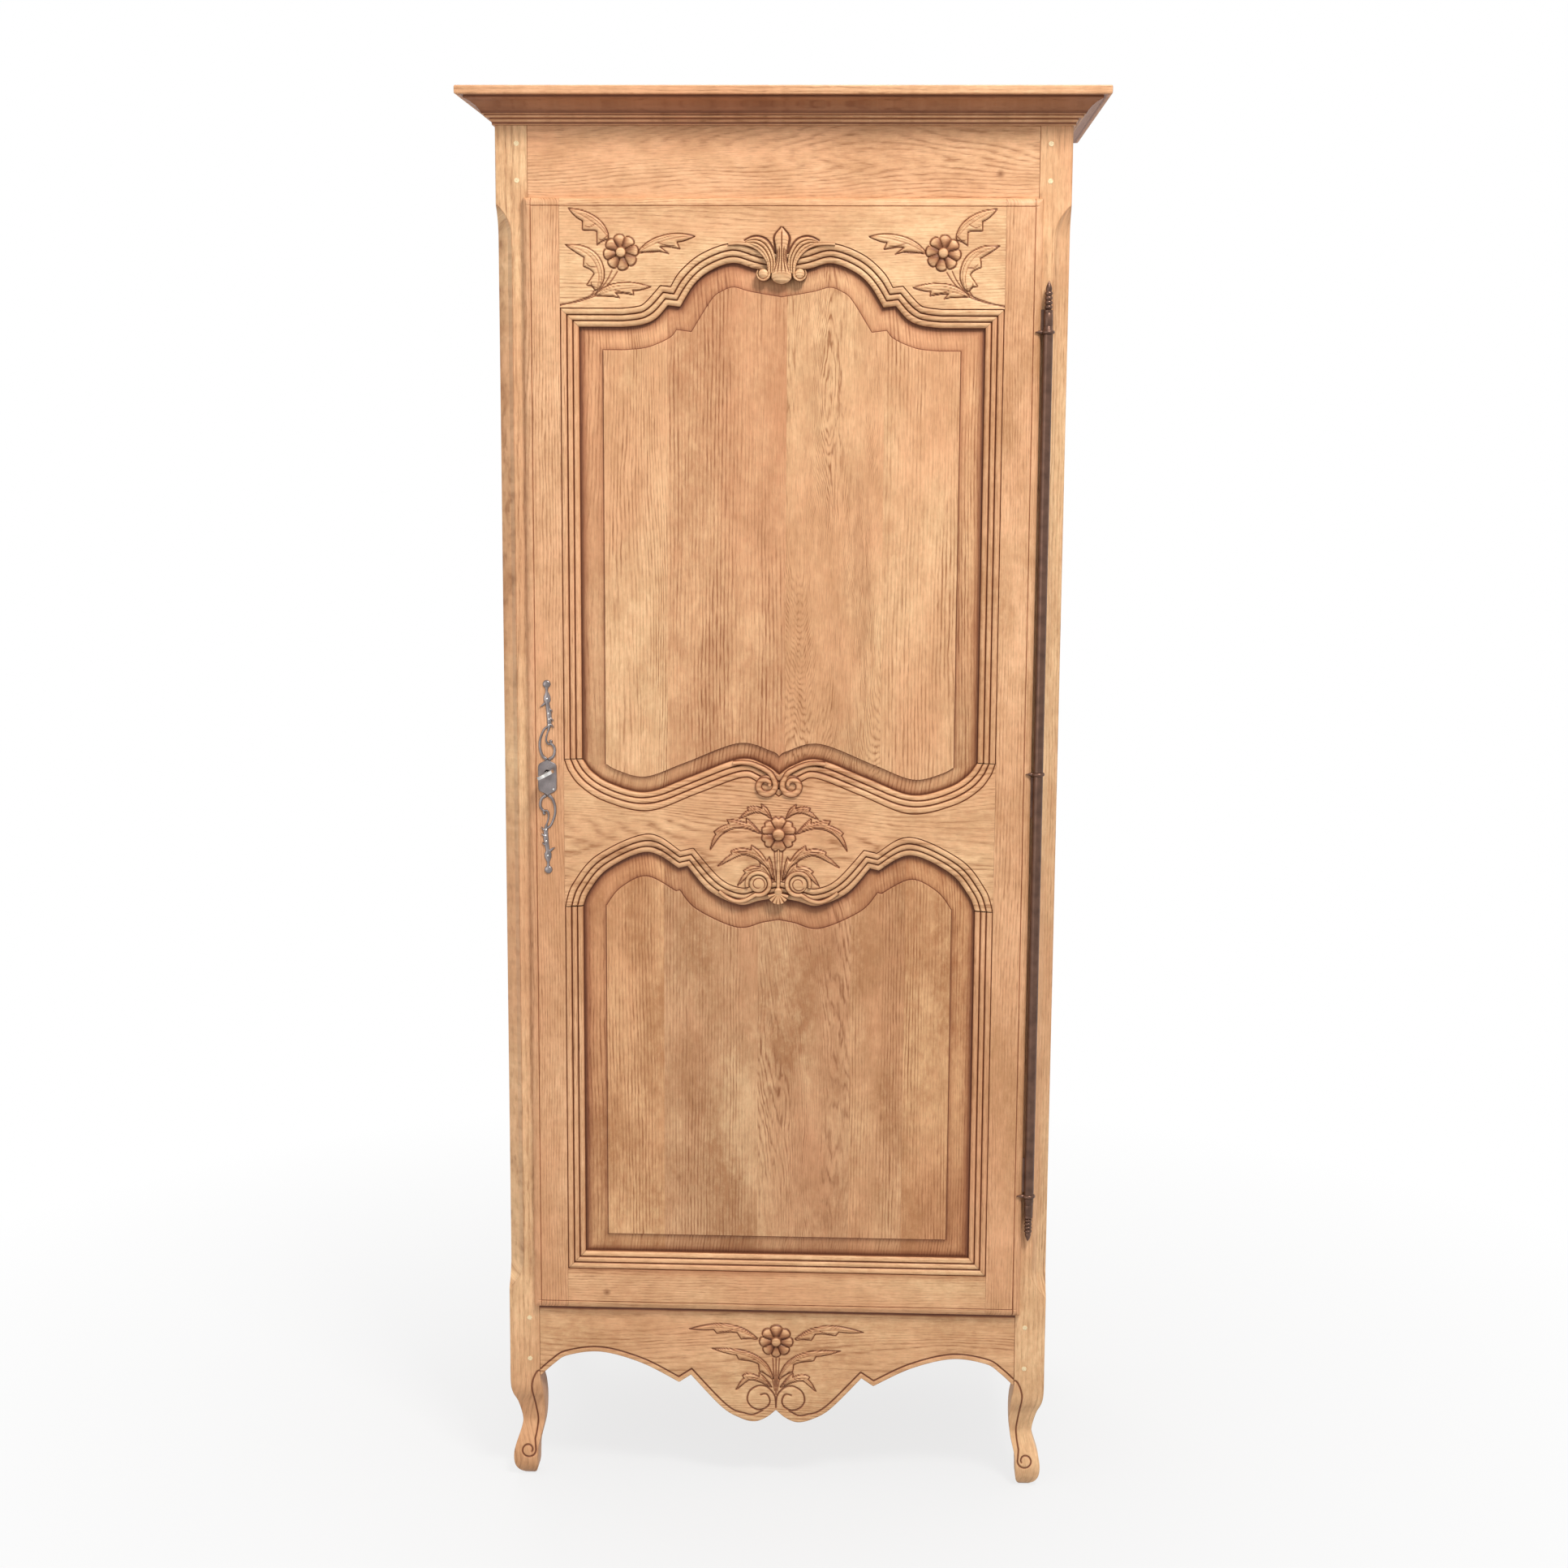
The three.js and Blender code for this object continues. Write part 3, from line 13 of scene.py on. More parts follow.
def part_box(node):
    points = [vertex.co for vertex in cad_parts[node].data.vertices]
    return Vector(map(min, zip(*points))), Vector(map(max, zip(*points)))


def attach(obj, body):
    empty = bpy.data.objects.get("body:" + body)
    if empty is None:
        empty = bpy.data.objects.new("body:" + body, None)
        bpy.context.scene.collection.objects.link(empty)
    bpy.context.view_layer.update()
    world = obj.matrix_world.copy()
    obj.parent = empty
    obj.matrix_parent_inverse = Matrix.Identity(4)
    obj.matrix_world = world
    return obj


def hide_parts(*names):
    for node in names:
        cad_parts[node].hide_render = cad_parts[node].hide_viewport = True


bl_info = {
    "name": "Bonnetiere cupboard",
    "version": (1, 0, 0),
    "blender": (4, 5, 0),
    "location": "View3D > Sidebar > Cupboard",
    "description": "Builds a carved one-door oak cupboard with its ironwork",
    "category": "Add Mesh",
}

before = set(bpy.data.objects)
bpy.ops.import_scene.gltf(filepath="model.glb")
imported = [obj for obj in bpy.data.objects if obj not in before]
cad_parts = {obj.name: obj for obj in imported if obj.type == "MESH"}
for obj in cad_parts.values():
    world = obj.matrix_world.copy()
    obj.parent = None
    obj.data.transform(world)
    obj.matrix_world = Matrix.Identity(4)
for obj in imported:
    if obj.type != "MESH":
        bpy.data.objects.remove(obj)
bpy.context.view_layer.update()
MM = 0.001

# The joiner's sizes in millimetres. What a rail or stile shows is counted to its sight line
POST_SIDE = 45
STILE_SHOWS = 71
TOP_RAIL_SHOWS = 164
FOOT_RAIL_SHOWS = 77
MIDDLE_RAIL_SHOWS = 217
LOWER_PANEL_SHOWS = 523
MOULDING = 26
DOOR_GAP = 2
LIP_GAP = 0.5
RAIL_GAP = 0.2
BUTT_GAP = 0.3
MITRE_GAP = 0.4


# Places taken from the frame, in millimetres

def low(node, axis):
    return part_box(node)[0][axis] / MM


def high(node, axis):
    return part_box(node)[1][axis] / MM


FRONT = low("apron_rail", 1)
RAIL_BACK = high("apron_rail", 1)
HALF = high("front_stile_right", 0)
CASE_TOP = high("front_stile_right", 2)
OPENING_HALF = HALF - POST_SIDE
OPENING_TOP = low("frieze_rail", 2)
OPENING_FOOT = high("apron_rail", 2)
LIP_HALF = high("door_hinge_stile", 0)
LIP_TOP = high("door_hinge_stile", 2)
LIP_FOOT = low("door_hinge_stile", 2)
DOOR_BACK = high("door_hinge_stile", 1)
FACE = low("door_hinge_stile", 1)
HINGE_X = (low("hinge_rod", 0) + high("hinge_rod", 0)) / 2
HINGE_Y = (low("hinge_rod", 1) + high("hinge_rod", 1)) / 2
KEY_X = (low("escutcheon", 0) + high("escutcheon", 0)) / 2
PLATE_Z = (low("escutcheon", 2) + high("escutcheon", 2)) / 2
KEY_Z = (low("key", 2) + high("key", 2)) / 2


def linear(code):
    """An sRGB hex colour as the linear colour that a socket takes."""
    parts = [int(code[k:k + 2], 16) / 255 for k in (1, 3, 5)]
    steps = [c / 12.92 if c <= 0.04045 else ((c + 0.055) / 1.055) ** 2.4 for c in parts]
    return (*steps, 1.0)


def length(name, description, millimetres):
    return bpy.props.FloatProperty(
        name=name, description=description, default=millimetres * MM, unit="LENGTH"
    )


def colour(name, description, code):
    return bpy.props.FloatVectorProperty(
        name=name, description=description, default=linear(code), size=4, subtype="COLOR"
    )


class CupboardSizes(bpy.types.PropertyGroup):
    grid_step: length("Carving step", "Spacing of the points on carved faces", 1.2)
    moulding_depth: length("Moulding depth", "Fall of the moulding from the face to the panel", 9)
    lip_round: length("Lip rounding", "Fall of the door's rounded front edges", 6.5)
    lip_width: length("Lip width", "Width of the door's rounded front edges", 10)
    chamfer_width: length("Chamfer width", "Width of the hollow chamfers on the posts", 22)
    carving_depth: length("Carving depth", "Height of the carved leaves above their ground", 2.2)
    incision_width: length("Incision width", "Width of the cut lines", 1.7)
    hinge_radius: length("Hinge radius", "Radius of the long hinge barrel", 7)
    camera_height: length("Camera height", "Height of the camera above the floor", 1582)
    camera_distance: length("Camera distance", "Distance of the camera from the middle", 3574)
    camera_side: length("Camera shift", "Place of the camera to the right of the middle", 141)


class CupboardColours(bpy.types.PropertyGroup):
    oak_light: colour("Light oak", "Late wood of the palest boards", "#FBD3A2")
    oak_mid: colour("Middling oak", "Late wood of the frame's boards", "#F5C497")
    oak_dark: colour("Dark oak", "Early wood of the waxed oak", "#A06C45")
    oak_red: colour("Red oak", "Warmer parts of the boards", "#DD9C72")
    oak_stain: colour("Stained oak", "Greyed old wax in broad clouds", "#B98A5E")
    oak_pore: colour("Pores", "Open pores filled with dark wax", "#8A5A38")
    # Patina and glaze also paint shade: in the cornice's cove and under its crown, under the door's lip, in
    # the flowers, on the panels' bevels and down the sides of raised ribs
    wax_and_shade: colour("Patina", "Old wax in cut lines and corners", "#52291A")
    glaze_and_shade: colour("Glaze", "What a thin film of old wax takes from the light", "#E8AC7C")
    peg: colour("Pegs", "End grain of the pegs", "#F1DDB2")
    hinge_iron: colour("Hinge iron", "Oiled wrought iron", "#6B4E40")
    plate_iron: colour("Plate iron", "Grey wrought iron of the escutcheon", "#8E8584")
    steel: colour("Key steel", "Worn bright steel", "#E3E0DC")
    # The two near-blacks below paint the shade inside the keyhole, on a disc behind it
    keyhole_shade_black: colour("Lock black", "Oily iron inside the lock", "#0B0908")
    keyhole_shade_brown: colour("Lock brown", "Grime inside the lock", "#1A1512")
    floor: colour("Floor", "Plain pale floor", "#B4B4B4")


def sizes():
    return bpy.context.scene.cupboard_sizes


def colours():
    return bpy.context.scene.cupboard_colours


# Lines: points in shares, drawn smooth within a stretch and sharp between stretches

ARCH_SHARES = [
    [(-1, 0), (-0.78, 0)],
    [(-0.78, 0), (-0.69, 0.035), (-0.62, 0.13), (-0.56, 0.34)],
    [(-0.56, 0.34), (-0.5, 0.315)],
    [(-0.5, 0.315), (-0.43, 0.67), (-0.35, 0.88), (-0.24, 1), (-0.13, 0.91), (0, 0.84)],
]
WAVE_SHARES = [
    [(-1, 0), (-0.95, -0.4), (-0.85, -0.77), (-0.67, -1), (-0.45, -0.52), (-0.2, 0.04),
     (-0.07, -0.14), (0, -0.42)],
]
HUMP_SHARES = [
    [(-1, 0), (-0.97, 0.27), (-0.87, 0.69), (-0.67, 1), (-0.51, 0.716)],
    [(-0.51, 0.716), (-0.465, 0.753)],
    [(-0.465, 0.753), (-0.35, 0.296), (-0.2, 0.062), (-0.1, 0.136), (0, 0.2)],
]
APRON_SHARES = [
    [(-1, 0), (-0.94, 0.5), (-0.88, 0.84), (-0.74, 1), (-0.57, 0.6), (-0.41, -0.13)],
    [(-0.41, -0.13), (-0.36, 0.17)],
    [(-0.36, 0.17), (-0.23, -1.07), (-0.15, -1.5), (-0.09, -1.62), (-0.04, -1.45), (0, -1.15)],
]
SIGHT_HALF = OPENING_HALF - STILE_SHOWS
SHOULDER = SIGHT_HALF + MOULDING
TOP_SIGHT = OPENING_TOP - TOP_RAIL_SHOWS
FOOT_SIGHT = OPENING_FOOT + FOOT_RAIL_SHOWS
LOWER_BUTT = FOOT_SIGHT + LOWER_PANEL_SHOWS
UPPER_BUTT = LOWER_BUTT + MIDDLE_RAIL_SHOWS
ARCH_RISE = 88
WAVE_DROP = 48
HUMP_RISE = 81
APRON_SPRING = 161
APRON_RISE = 40
# Spacing of the points on shaped edges, and the gap below which two points are one
EDGE_STEP = 2.5
END_MERGE = 0.3
SEAM_MERGE = 0.02


def smooth(points, steps):
    """A smooth curve through points, with a number of steps from each to the next."""
    points = np.asarray(points, float)
    if len(points) < 3:
        return np.array([points[0] + (points[-1] - points[0]) * t for t in np.linspace(0, 1, steps + 1)])
    drawn = []
    for k in range(len(points) - 1):
        before, start = points[max(k - 1, 0)], points[k]
        end, after = points[k + 1], points[min(k + 2, len(points) - 1)]
        leave, arrive = (end - before) / 2, (after - start) / 2
        for t in np.linspace(0, 1, steps, endpoint=False):
            drawn.append(
                (2 * start - 2 * end + leave + arrive) * t ** 3
                + (3 * end - 3 * start - 2 * leave - arrive) * t ** 2
                + leave * t
                + start
            )
    drawn.append(points[-1])
    return np.array(drawn)


def even(points, steps):
    """Evenly spaced points along a row of points."""
    gaps = np.linalg.norm(np.diff(points, axis=0), axis=1)
    run = np.concatenate([[0], np.cumsum(gaps)])
    wanted = np.linspace(0, run[-1], steps + 1)
    return np.stack([np.interp(wanted, run, points[:, k]) for k in range(points.shape[1])], axis=1)


def beside(points, distance):
    """A row of points moved to its left hand, with mitred corners."""
    moved = []
    for k, point in enumerate(points):
        before, after = points[max(k - 1, 0)], points[min(k + 1, len(points) - 1)]
        into = (point - before) if k > 0 else (after - point)
        out = (after - point) if k < len(points) - 1 else into
        into, out = into / np.linalg.norm(into), out / np.linalg.norm(out)
        mitre = np.array([-into[1] - out[1], into[0] + out[0]])
        mitre /= np.linalg.norm(mitre)
        square = np.array([-out[1], out[0]])
        moved.append(point + mitre * distance / mitre.dot(square))
    return np.array(moved)


def placed(shares, half, level, rise):
    """Both halves of a line, as stretches of points in millimetres."""
    left = [np.array([[x * half, level + z * rise] for x, z in part]) for part in shares]
    right = [(part * (-1, 1))[::-1] for part in left][::-1]
    return left + right


def edge_line(stretches, distance, half):
    """A line moved sideways and ended at a half width, as the solids have it."""
    whole = np.concatenate([part[1 if k else 0:] for k, part in enumerate(stretches)])
    moved = beside(whole, distance)
    drawn = []
    start = 0
    for k, part in enumerate(stretches[: len(stretches) // 2]):
        piece = smooth(moved[start:start + len(part)], 12)
        start += len(part) - 1
        if k == 0:
            kept = piece[piece[:, 0] > -half]
            run = stretches[0][1] - stretches[0][0]
            inside = len(kept) == len(piece)
            steep = abs(run[1]) > abs(run[0])
            height = stretches[0][0][1] if inside and steep else kept[0][1]
            if kept[0][0] + half < END_MERGE:
                kept = kept[1:]
            piece = np.vstack([[-half, height], kept])
        reach = np.linalg.norm(np.diff(part, axis=0), axis=1).sum()
        piece = even(piece, max(2, round(reach / EDGE_STEP)))
        drawn.append(piece[1 if k else 0:])
    left = np.concatenate(drawn)
    return np.concatenate([left, (left * (-1, 1))[-2::-1]])


ARCH = placed(ARCH_SHARES, SIGHT_HALF, TOP_SIGHT, ARCH_RISE)
WAVE = placed(WAVE_SHARES, SIGHT_HALF, UPPER_BUTT, WAVE_DROP)
HUMP = placed(HUMP_SHARES, SIGHT_HALF, LOWER_BUTT, HUMP_RISE)
FOOT_LINE = placed([[(-1, 0), (0, 0)]], SIGHT_HALF, FOOT_SIGHT, 0)
APRON = placed(APRON_SHARES, OPENING_HALF, APRON_SPRING, APRON_RISE)


# Meshes

def ready():
    """Object mode with nothing selected."""
    if bpy.context.mode != "OBJECT":
        bpy.ops.object.mode_set(mode="OBJECT")
    bpy.ops.object.select_all(action="DESELECT")


def paint(piece, values):
    """How dark the old wax and the painted shade lie at each point, from 0 to 1."""
    mesh = piece.data
    if "wax_and_shade" not in mesh.attributes:
        mesh.attributes.new("wax_and_shade", "FLOAT", "POINT")
    mesh.attributes["wax_and_shade"].data.foreach_set("value", np.asarray(values, np.float32).ravel())


def close_up(piece):
    """Merges the seams, closes the ends and turns the faces outwards."""
    ready()
    bpy.context.view_layer.objects.active = piece
    piece.select_set(True)
    bpy.ops.object.mode_set(mode="EDIT")
    bpy.ops.mesh.select_all(action="SELECT")
    bpy.ops.mesh.remove_doubles(threshold=SEAM_MERGE * MM)
    bpy.ops.mesh.select_all(action="DESELECT")
    bpy.ops.mesh.select_mode(type="EDGE")
    bpy.ops.mesh.select_non_manifold()
    bpy.ops.mesh.fill_holes(sides=0)
    bpy.ops.mesh.select_all(action="SELECT")
    bpy.ops.mesh.normals_make_consistent(inside=False)
    bpy.ops.object.mode_set(mode="OBJECT")


def skin(name, points, wax_and_shade=None, angle=40):
    """A tube from an array of points: rows go round the section and columns along the piece."""
    points = np.concatenate([points, points[:1]])
    rows, columns = points.shape[:2]
    ready()
    bpy.ops.mesh.primitive_grid_add(x_subdivisions=columns - 1, y_subdivisions=rows - 1, size=1)
    piece = bpy.context.active_object
    piece.name = name
    piece.data.name = name
    piece.data.vertices.foreach_set("co", (points * MM).astype(np.float32).ravel())
    if wax_and_shade is not None:
        paint(piece, np.concatenate([wax_and_shade, wax_and_shade[:1]]))
    close_up(piece)
    piece.matrix_world = Matrix()
    bpy.ops.object.shade_smooth_by_angle(angle=math.radians(angle))
    return piece


def joined(name, pieces):
    ready()
    for piece in pieces:
        piece.select_set(True)
    bpy.context.view_layer.objects.active = pieces[0]
    bpy.ops.object.join()
    whole = bpy.context.active_object
    whole.name = name
    whole.data.name = name
    return whole


def settle(piece, body, slot, material, *nodes):
    """Gives a finished piece its body, its material and the nodes it stands for. slot is not used."""
    piece.data.materials.clear()
    piece.data.materials.append(material)
    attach(piece, body)
    if nodes:
        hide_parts(*nodes)
    return piece


def around(level, ends):
    """Two places, each counted from a level."""
    return level + ends[0], level + ends[1]


def arc(centre, radius, start, end, steps):
    """Points of an arc, in degrees."""
    turns = np.radians(np.linspace(start, end, steps + 1))
    return np.stack([centre[0] + radius * np.cos(turns), centre[1] + radius * np.sin(turns)], axis=1)


# The stuck moulding: three rounded bands with cut lines between them, stepping down to the panel

# Share across, share of the depth, and patina
MOULDING_SHARES = [
    (0, 0, 0.3), (0.02, 0.2, 1), (0.045, 0.12, 0.5), (0.08, 0.05, 0), (0.17, 0.02, 0),
    (0.25, 0.05, 0), (0.31, 0.14, 0), (0.345, 0.32, 0.8), (0.37, 0.44, 1), (0.395, 0.34, 0.5),
    (0.43, 0.28, 0), (0.52, 0.27, 0), (0.58, 0.31, 0), (0.625, 0.4, 0), (0.655, 0.56, 0.8),
    (0.68, 0.68, 1), (0.705, 0.58, 0.5), (0.74, 0.52, 0), (0.82, 0.51, 0), (0.89, 0.56, 0),
    (0.95, 0.68, 0), (0.985, 0.84, 0.3), (1, 1, 0.9),
]
# The cut line beside the door's rounded edge
QUIRK_EDGE = 0.5
QUIRK_WIDTH = 0.6
QUIRK_DEPTH = 0.8
QUIRK_CLEAR = 1


def moulding_section():
    """Across from the outer line in shares, depth in millimetres, and patina."""
    depth = sizes().moulding_depth / MM
    return np.array([(across, deep * depth, dark) for across, deep, dark in MOULDING_SHARES])


def between(outer, sight):
    """Rows of points across a moulding, from its outer line to its sight line, with their patina."""
    section = moulding_section()
    rows = []
    for across, deep, _ in section:
        line = outer + (sight - outer) * across
        rows.append(np.stack([line[:, 0], np.full(len(line), FACE + deep), line[:, 1]], axis=1))
    wax_and_shade = np.repeat(section[:, 2:3], len(outer), axis=1)
    return np.array(rows), wax_and_shade


def at_columns(line, partner, xs):
    """Points of a line and of its partner, read at given X of the first."""
    marks = np.interp(xs, line[:, 0], np.arange(len(line)))
    steps = np.arange(len(line))
    def read(row):
        return np.stack([np.interp(marks, steps, row[:, k]) for k in (0, 1)], axis=1)
    return read(line), read(partner)


def columns_between(low_x, high_x):
    step = sizes().grid_step / MM
    return np.linspace(low_x, high_x, round((high_x - low_x) / step) + 1)


def flat_rows(xs, z_from, z_to, count):
    """Rows over a flat face, from one height to another. Both ends are left out."""
    shares = np.linspace(0, 1, count + 2)[1:-1]
    return np.array([
        np.stack([xs, np.full(len(xs), FACE), z_from + (z_to - z_from) * share], axis=1) for share in shares
    ])


def row(xs, y, z):
    level = np.broadcast_to(np.asarray(z, float), xs.shape)
    return np.stack([xs, np.full(len(xs), float(y)), level], axis=1)


def row_at(line, y):
    """A line set at one depth, as a single row."""
    return row(line[:, 0], y, line[:, 1])[None]


def lip_curve():
    """The door's rounded edge with its quirk: distance in from the edge, fall, and patina."""
    width, fall = sizes().lip_width / MM, sizes().lip_round / MM
    turns = np.radians(np.linspace(0, 90, 9))
    bead = [(width * (1 - math.cos(turn)), fall * (1 - math.sin(turn)), 0.0) for turn in turns]
    start, end = width + QUIRK_EDGE, width + QUIRK_EDGE + QUIRK_WIDTH
    return bead + [(start, QUIRK_DEPTH, 0.5), (end, QUIRK_DEPTH, 0.5), (end + QUIRK_WIDTH, 0, 0)]


def lip_rows(xs, edge, body_edge, direction):
    """Rows round the door's lip, from the back of the door to the front face, with their patina."""
    behind_lip = FRONT - LIP_GAP
    rows = [row(xs, DOOR_BACK, body_edge), row(xs, behind_lip, body_edge), row(xs, behind_lip, edge)]
    dark = [0, 0, 0]
    for inward, fall, wax in lip_curve():
        rows.append(row(xs, FACE + fall, edge - direction * inward))
        dark.append(wax)
    return np.array(rows), np.repeat(np.array(dark, float)[:, None], len(xs), axis=1)


def carve(points, wax_and_shade, relief, rows):
    """Raises or sinks the rows of a flat face. relief gives proud height and patina for X and Z."""
    proud, dark = relief(points[rows, :, 0], points[rows, :, 2])
    points[rows, :, 1] -= proud
    wax_and_shade[rows] = np.maximum(wax_and_shade[rows], dark)
    return points, wax_and_shade


# Carving: shapes cut into or raised from a face, worked out at each of its points

# Cut lines: depth and half width in millimetres
OUTLINE_CUT = (1.3, 0.75)
FOLD_CUT = (0.6, 0.6)
VEIN_CUT = (0.7, 0.7)
GROOVE_CUT = (1.5, 1.1)
SIDE_LEAF_CUT = (1.5, 1.2)
UPRIGHT_LEAF_CUT = (1.5, 1.3)
FLUTE_DEPTH, FLUTE_WIDTH = 1.5, 0.8
COIL_DEPTH, COIL_WIDTH = 0.8, 0.8
STEM_DEPTH = 0.9
# Leaves: the bevel inside their edge, and their hollow rib with the wax in it
LEAF_BEVEL = 3.0
RIB_DEPTH, RIB_WIDTH, RIB_WAX_WIDTH = 0.9, 0.9, 0.7
# Flowers: how proud the petals stand, how they swell and tilt, and the cuts between and round them
PETAL_BASE, PETAL_SWELL, PETAL_TILT = 1.2, 2.4, 1.4
PETAL_SEAM, PETAL_CUT, RIM_CUT = 1.8, 1.1, 1.0
FLOWER_MARGIN = 4
BALL_BASE = 2.2
# How far the raised pieces are let into the wood
SUNK = 8.0

class Ground:
    """The points of a carved face, with how proud and how dark each one is."""

    def __init__(self, x, z):
        self.shape = x.shape
        self.x, self.z = x.ravel().copy(), z.ravel().copy()
        self.proud, self.dark = np.zeros(x.size), np.zeros(x.size)

    def near(self, points, margin):
        points = np.asarray(points)
        lows, highs = points.min(axis=0) - margin, points.max(axis=0) + margin
        inside = (self.x > lows[0]) & (self.x < highs[0]) & (self.z > lows[1]) & (self.z < highs[1])
        return np.nonzero(inside)[0]

    def result(self):
        return self.proud.reshape(self.shape), self.dark.reshape(self.shape)


def reach(x, z, line):
    """Distance from points to a line, the share of the line at the nearest place, and the side."""
    start, run = line[:-1], np.diff(line, axis=0)
    dx, dz = x[:, None] - start[:, 0], z[:, None] - start[:, 1]
    squares = np.maximum((run ** 2).sum(axis=1), 1e-9)
    along = np.clip((dx * run[:, 0] + dz * run[:, 1]) / squares, 0, 1)
    ox, oz = dx - along * run[:, 0], dz - along * run[:, 1]
    gaps = np.hypot(ox, oz)
    best = gaps.argmin(axis=1)
    pick = np.arange(len(x))
    side = np.sign(run[best, 0] * oz[pick, best] - run[best, 1] * ox[pick, best])
    return gaps[pick, best], (best + along[pick, best]) / len(run), side


def inside(x, z, outline):
    """Whether points lie inside a closed outline."""
    a, b = outline, np.roll(outline, -1, axis=0)
    crossing = (a[:, 1] > z[:, None]) != (b[:, 1] > z[:, None])
    rise = np.where(b[:, 1] == a[:, 1], 1e-9, b[:, 1] - a[:, 1])
    met = (b[:, 0] - a[:, 0]) * (z[:, None] - a[:, 1]) / rise + a[:, 0]
    return (crossing & (x[:, None] < met)).sum(axis=1) % 2 == 1


def raise_to(ground, where, proud, dark):
    ground.proud[where] = proud
    ground.dark[where] = dark


def incise(ground, line, depth, width=None, dark=1.0, taper=False):
    """Cuts a line with a veiner: a narrow hollow with old wax in it."""
    width = width or sizes().incision_width / MM / 2
    where = ground.near(line, 3 * width)
    gap, share, _ = reach(ground.x[where], ground.z[where], line)
    fade = np.minimum(1, 4 * (1 - share)) if taper else 1
    cut = np.exp(-((gap / width) ** 2)) * fade
    ground.proud[where] -= depth * cut
    ground.dark[where] = np.maximum(ground.dark[where], dark * cut)


def leaf_edges(spine, smooth_width, lobed_width, lobes):
    """Both edges of a leaf from base to tip. Lobes hook towards the tip on one side."""
    shares = np.linspace(0, 1, len(spine))
    run = np.gradient(spine, axis=0)
    run /= np.linalg.norm(run, axis=1)[:, None]
    aside = np.stack([-run[:, 1], run[:, 0]], axis=1)
    belly = np.sin(np.pi * shares ** 0.85) ** 0.8
    plain_edge = spine + aside * (smooth_width * belly)[:, None]
    part = shares * (lobes + 1)
    rise = part - np.floor(np.minimum(part, lobes + 0.999))
    swell = 0.3 + 0.7 * rise ** 1.4
    last = part >= lobes
    swell[last] = 0.36 + 0.12 * np.sin(np.pi * rise[last])
    lobed = lobed_width * np.sin(np.pi * shares ** 0.7) ** 0.7 * swell
    lean = run * (lobed * 1.05)[:, None]
    lobed_edge = spine - aside * lobed[:, None] + lean * (1 - shares[:, None])
    return plain_edge, lobed_edge


def leaf(ground, points, smooth_width, lobed_width, lobes=2):
    """A carved leaf on a curved rib: one smooth edge, one lobed edge, veins to the lobes.

    Widths count to the left of the rib, seen from its base, so they carry a sign.
    """
    spine = even(smooth(points, 12), 48)
    plain_edge, lobed_edge = leaf_edges(spine, smooth_width, -lobed_width, lobes)
    outline = np.concatenate([plain_edge, lobed_edge[::-1]])
    where = ground.near(outline, LEAF_BEVEL)
    x, z = ground.x[where], ground.z[where]
    within = inside(x, z, outline)
    edge_gap, _, _ = reach(x, z, np.vstack([outline, outline[:1]]))
    rib_gap, share, _ = reach(x, z, spine)
    depth = sizes().carving_depth / MM
    bowl = np.clip(edge_gap / LEAF_BEVEL, 0, 1)
    rib = RIB_DEPTH * np.exp(-((rib_gap / RIB_WIDTH) ** 2))
    proud = depth * (0.25 + 0.75 * bowl) - rib
    wax = 0.05 * (1 - share) + 0.4 * np.exp(-((rib_gap / RIB_WAX_WIDTH) ** 2))
    raise_to(ground, where[within], proud[within], wax[within])
    incise(ground, outline[: len(plain_edge)], *OUTLINE_CUT)
    incise(ground, outline[len(plain_edge) - 1:], *OUTLINE_CUT)
    fold = (plain_edge * 0.55 + spine * 0.45)[5:38]
    incise(ground, fold, *FOLD_CUT, 0.6, taper=True)
    for lobe in range(lobes):
        tip = int((lobe + 0.93) / (lobes + 1) * (len(spine) - 1))
        root = max(0, tip - len(spine) // (lobes + 2))
        middle = (spine[root] + lobed_edge[tip]) / 2
        end = spine[tip] * 0.35 + lobed_edge[tip] * 0.65
        incise(ground, smooth([spine[root], middle, end], 6), *VEIN_CUT, 0.75, taper=True)


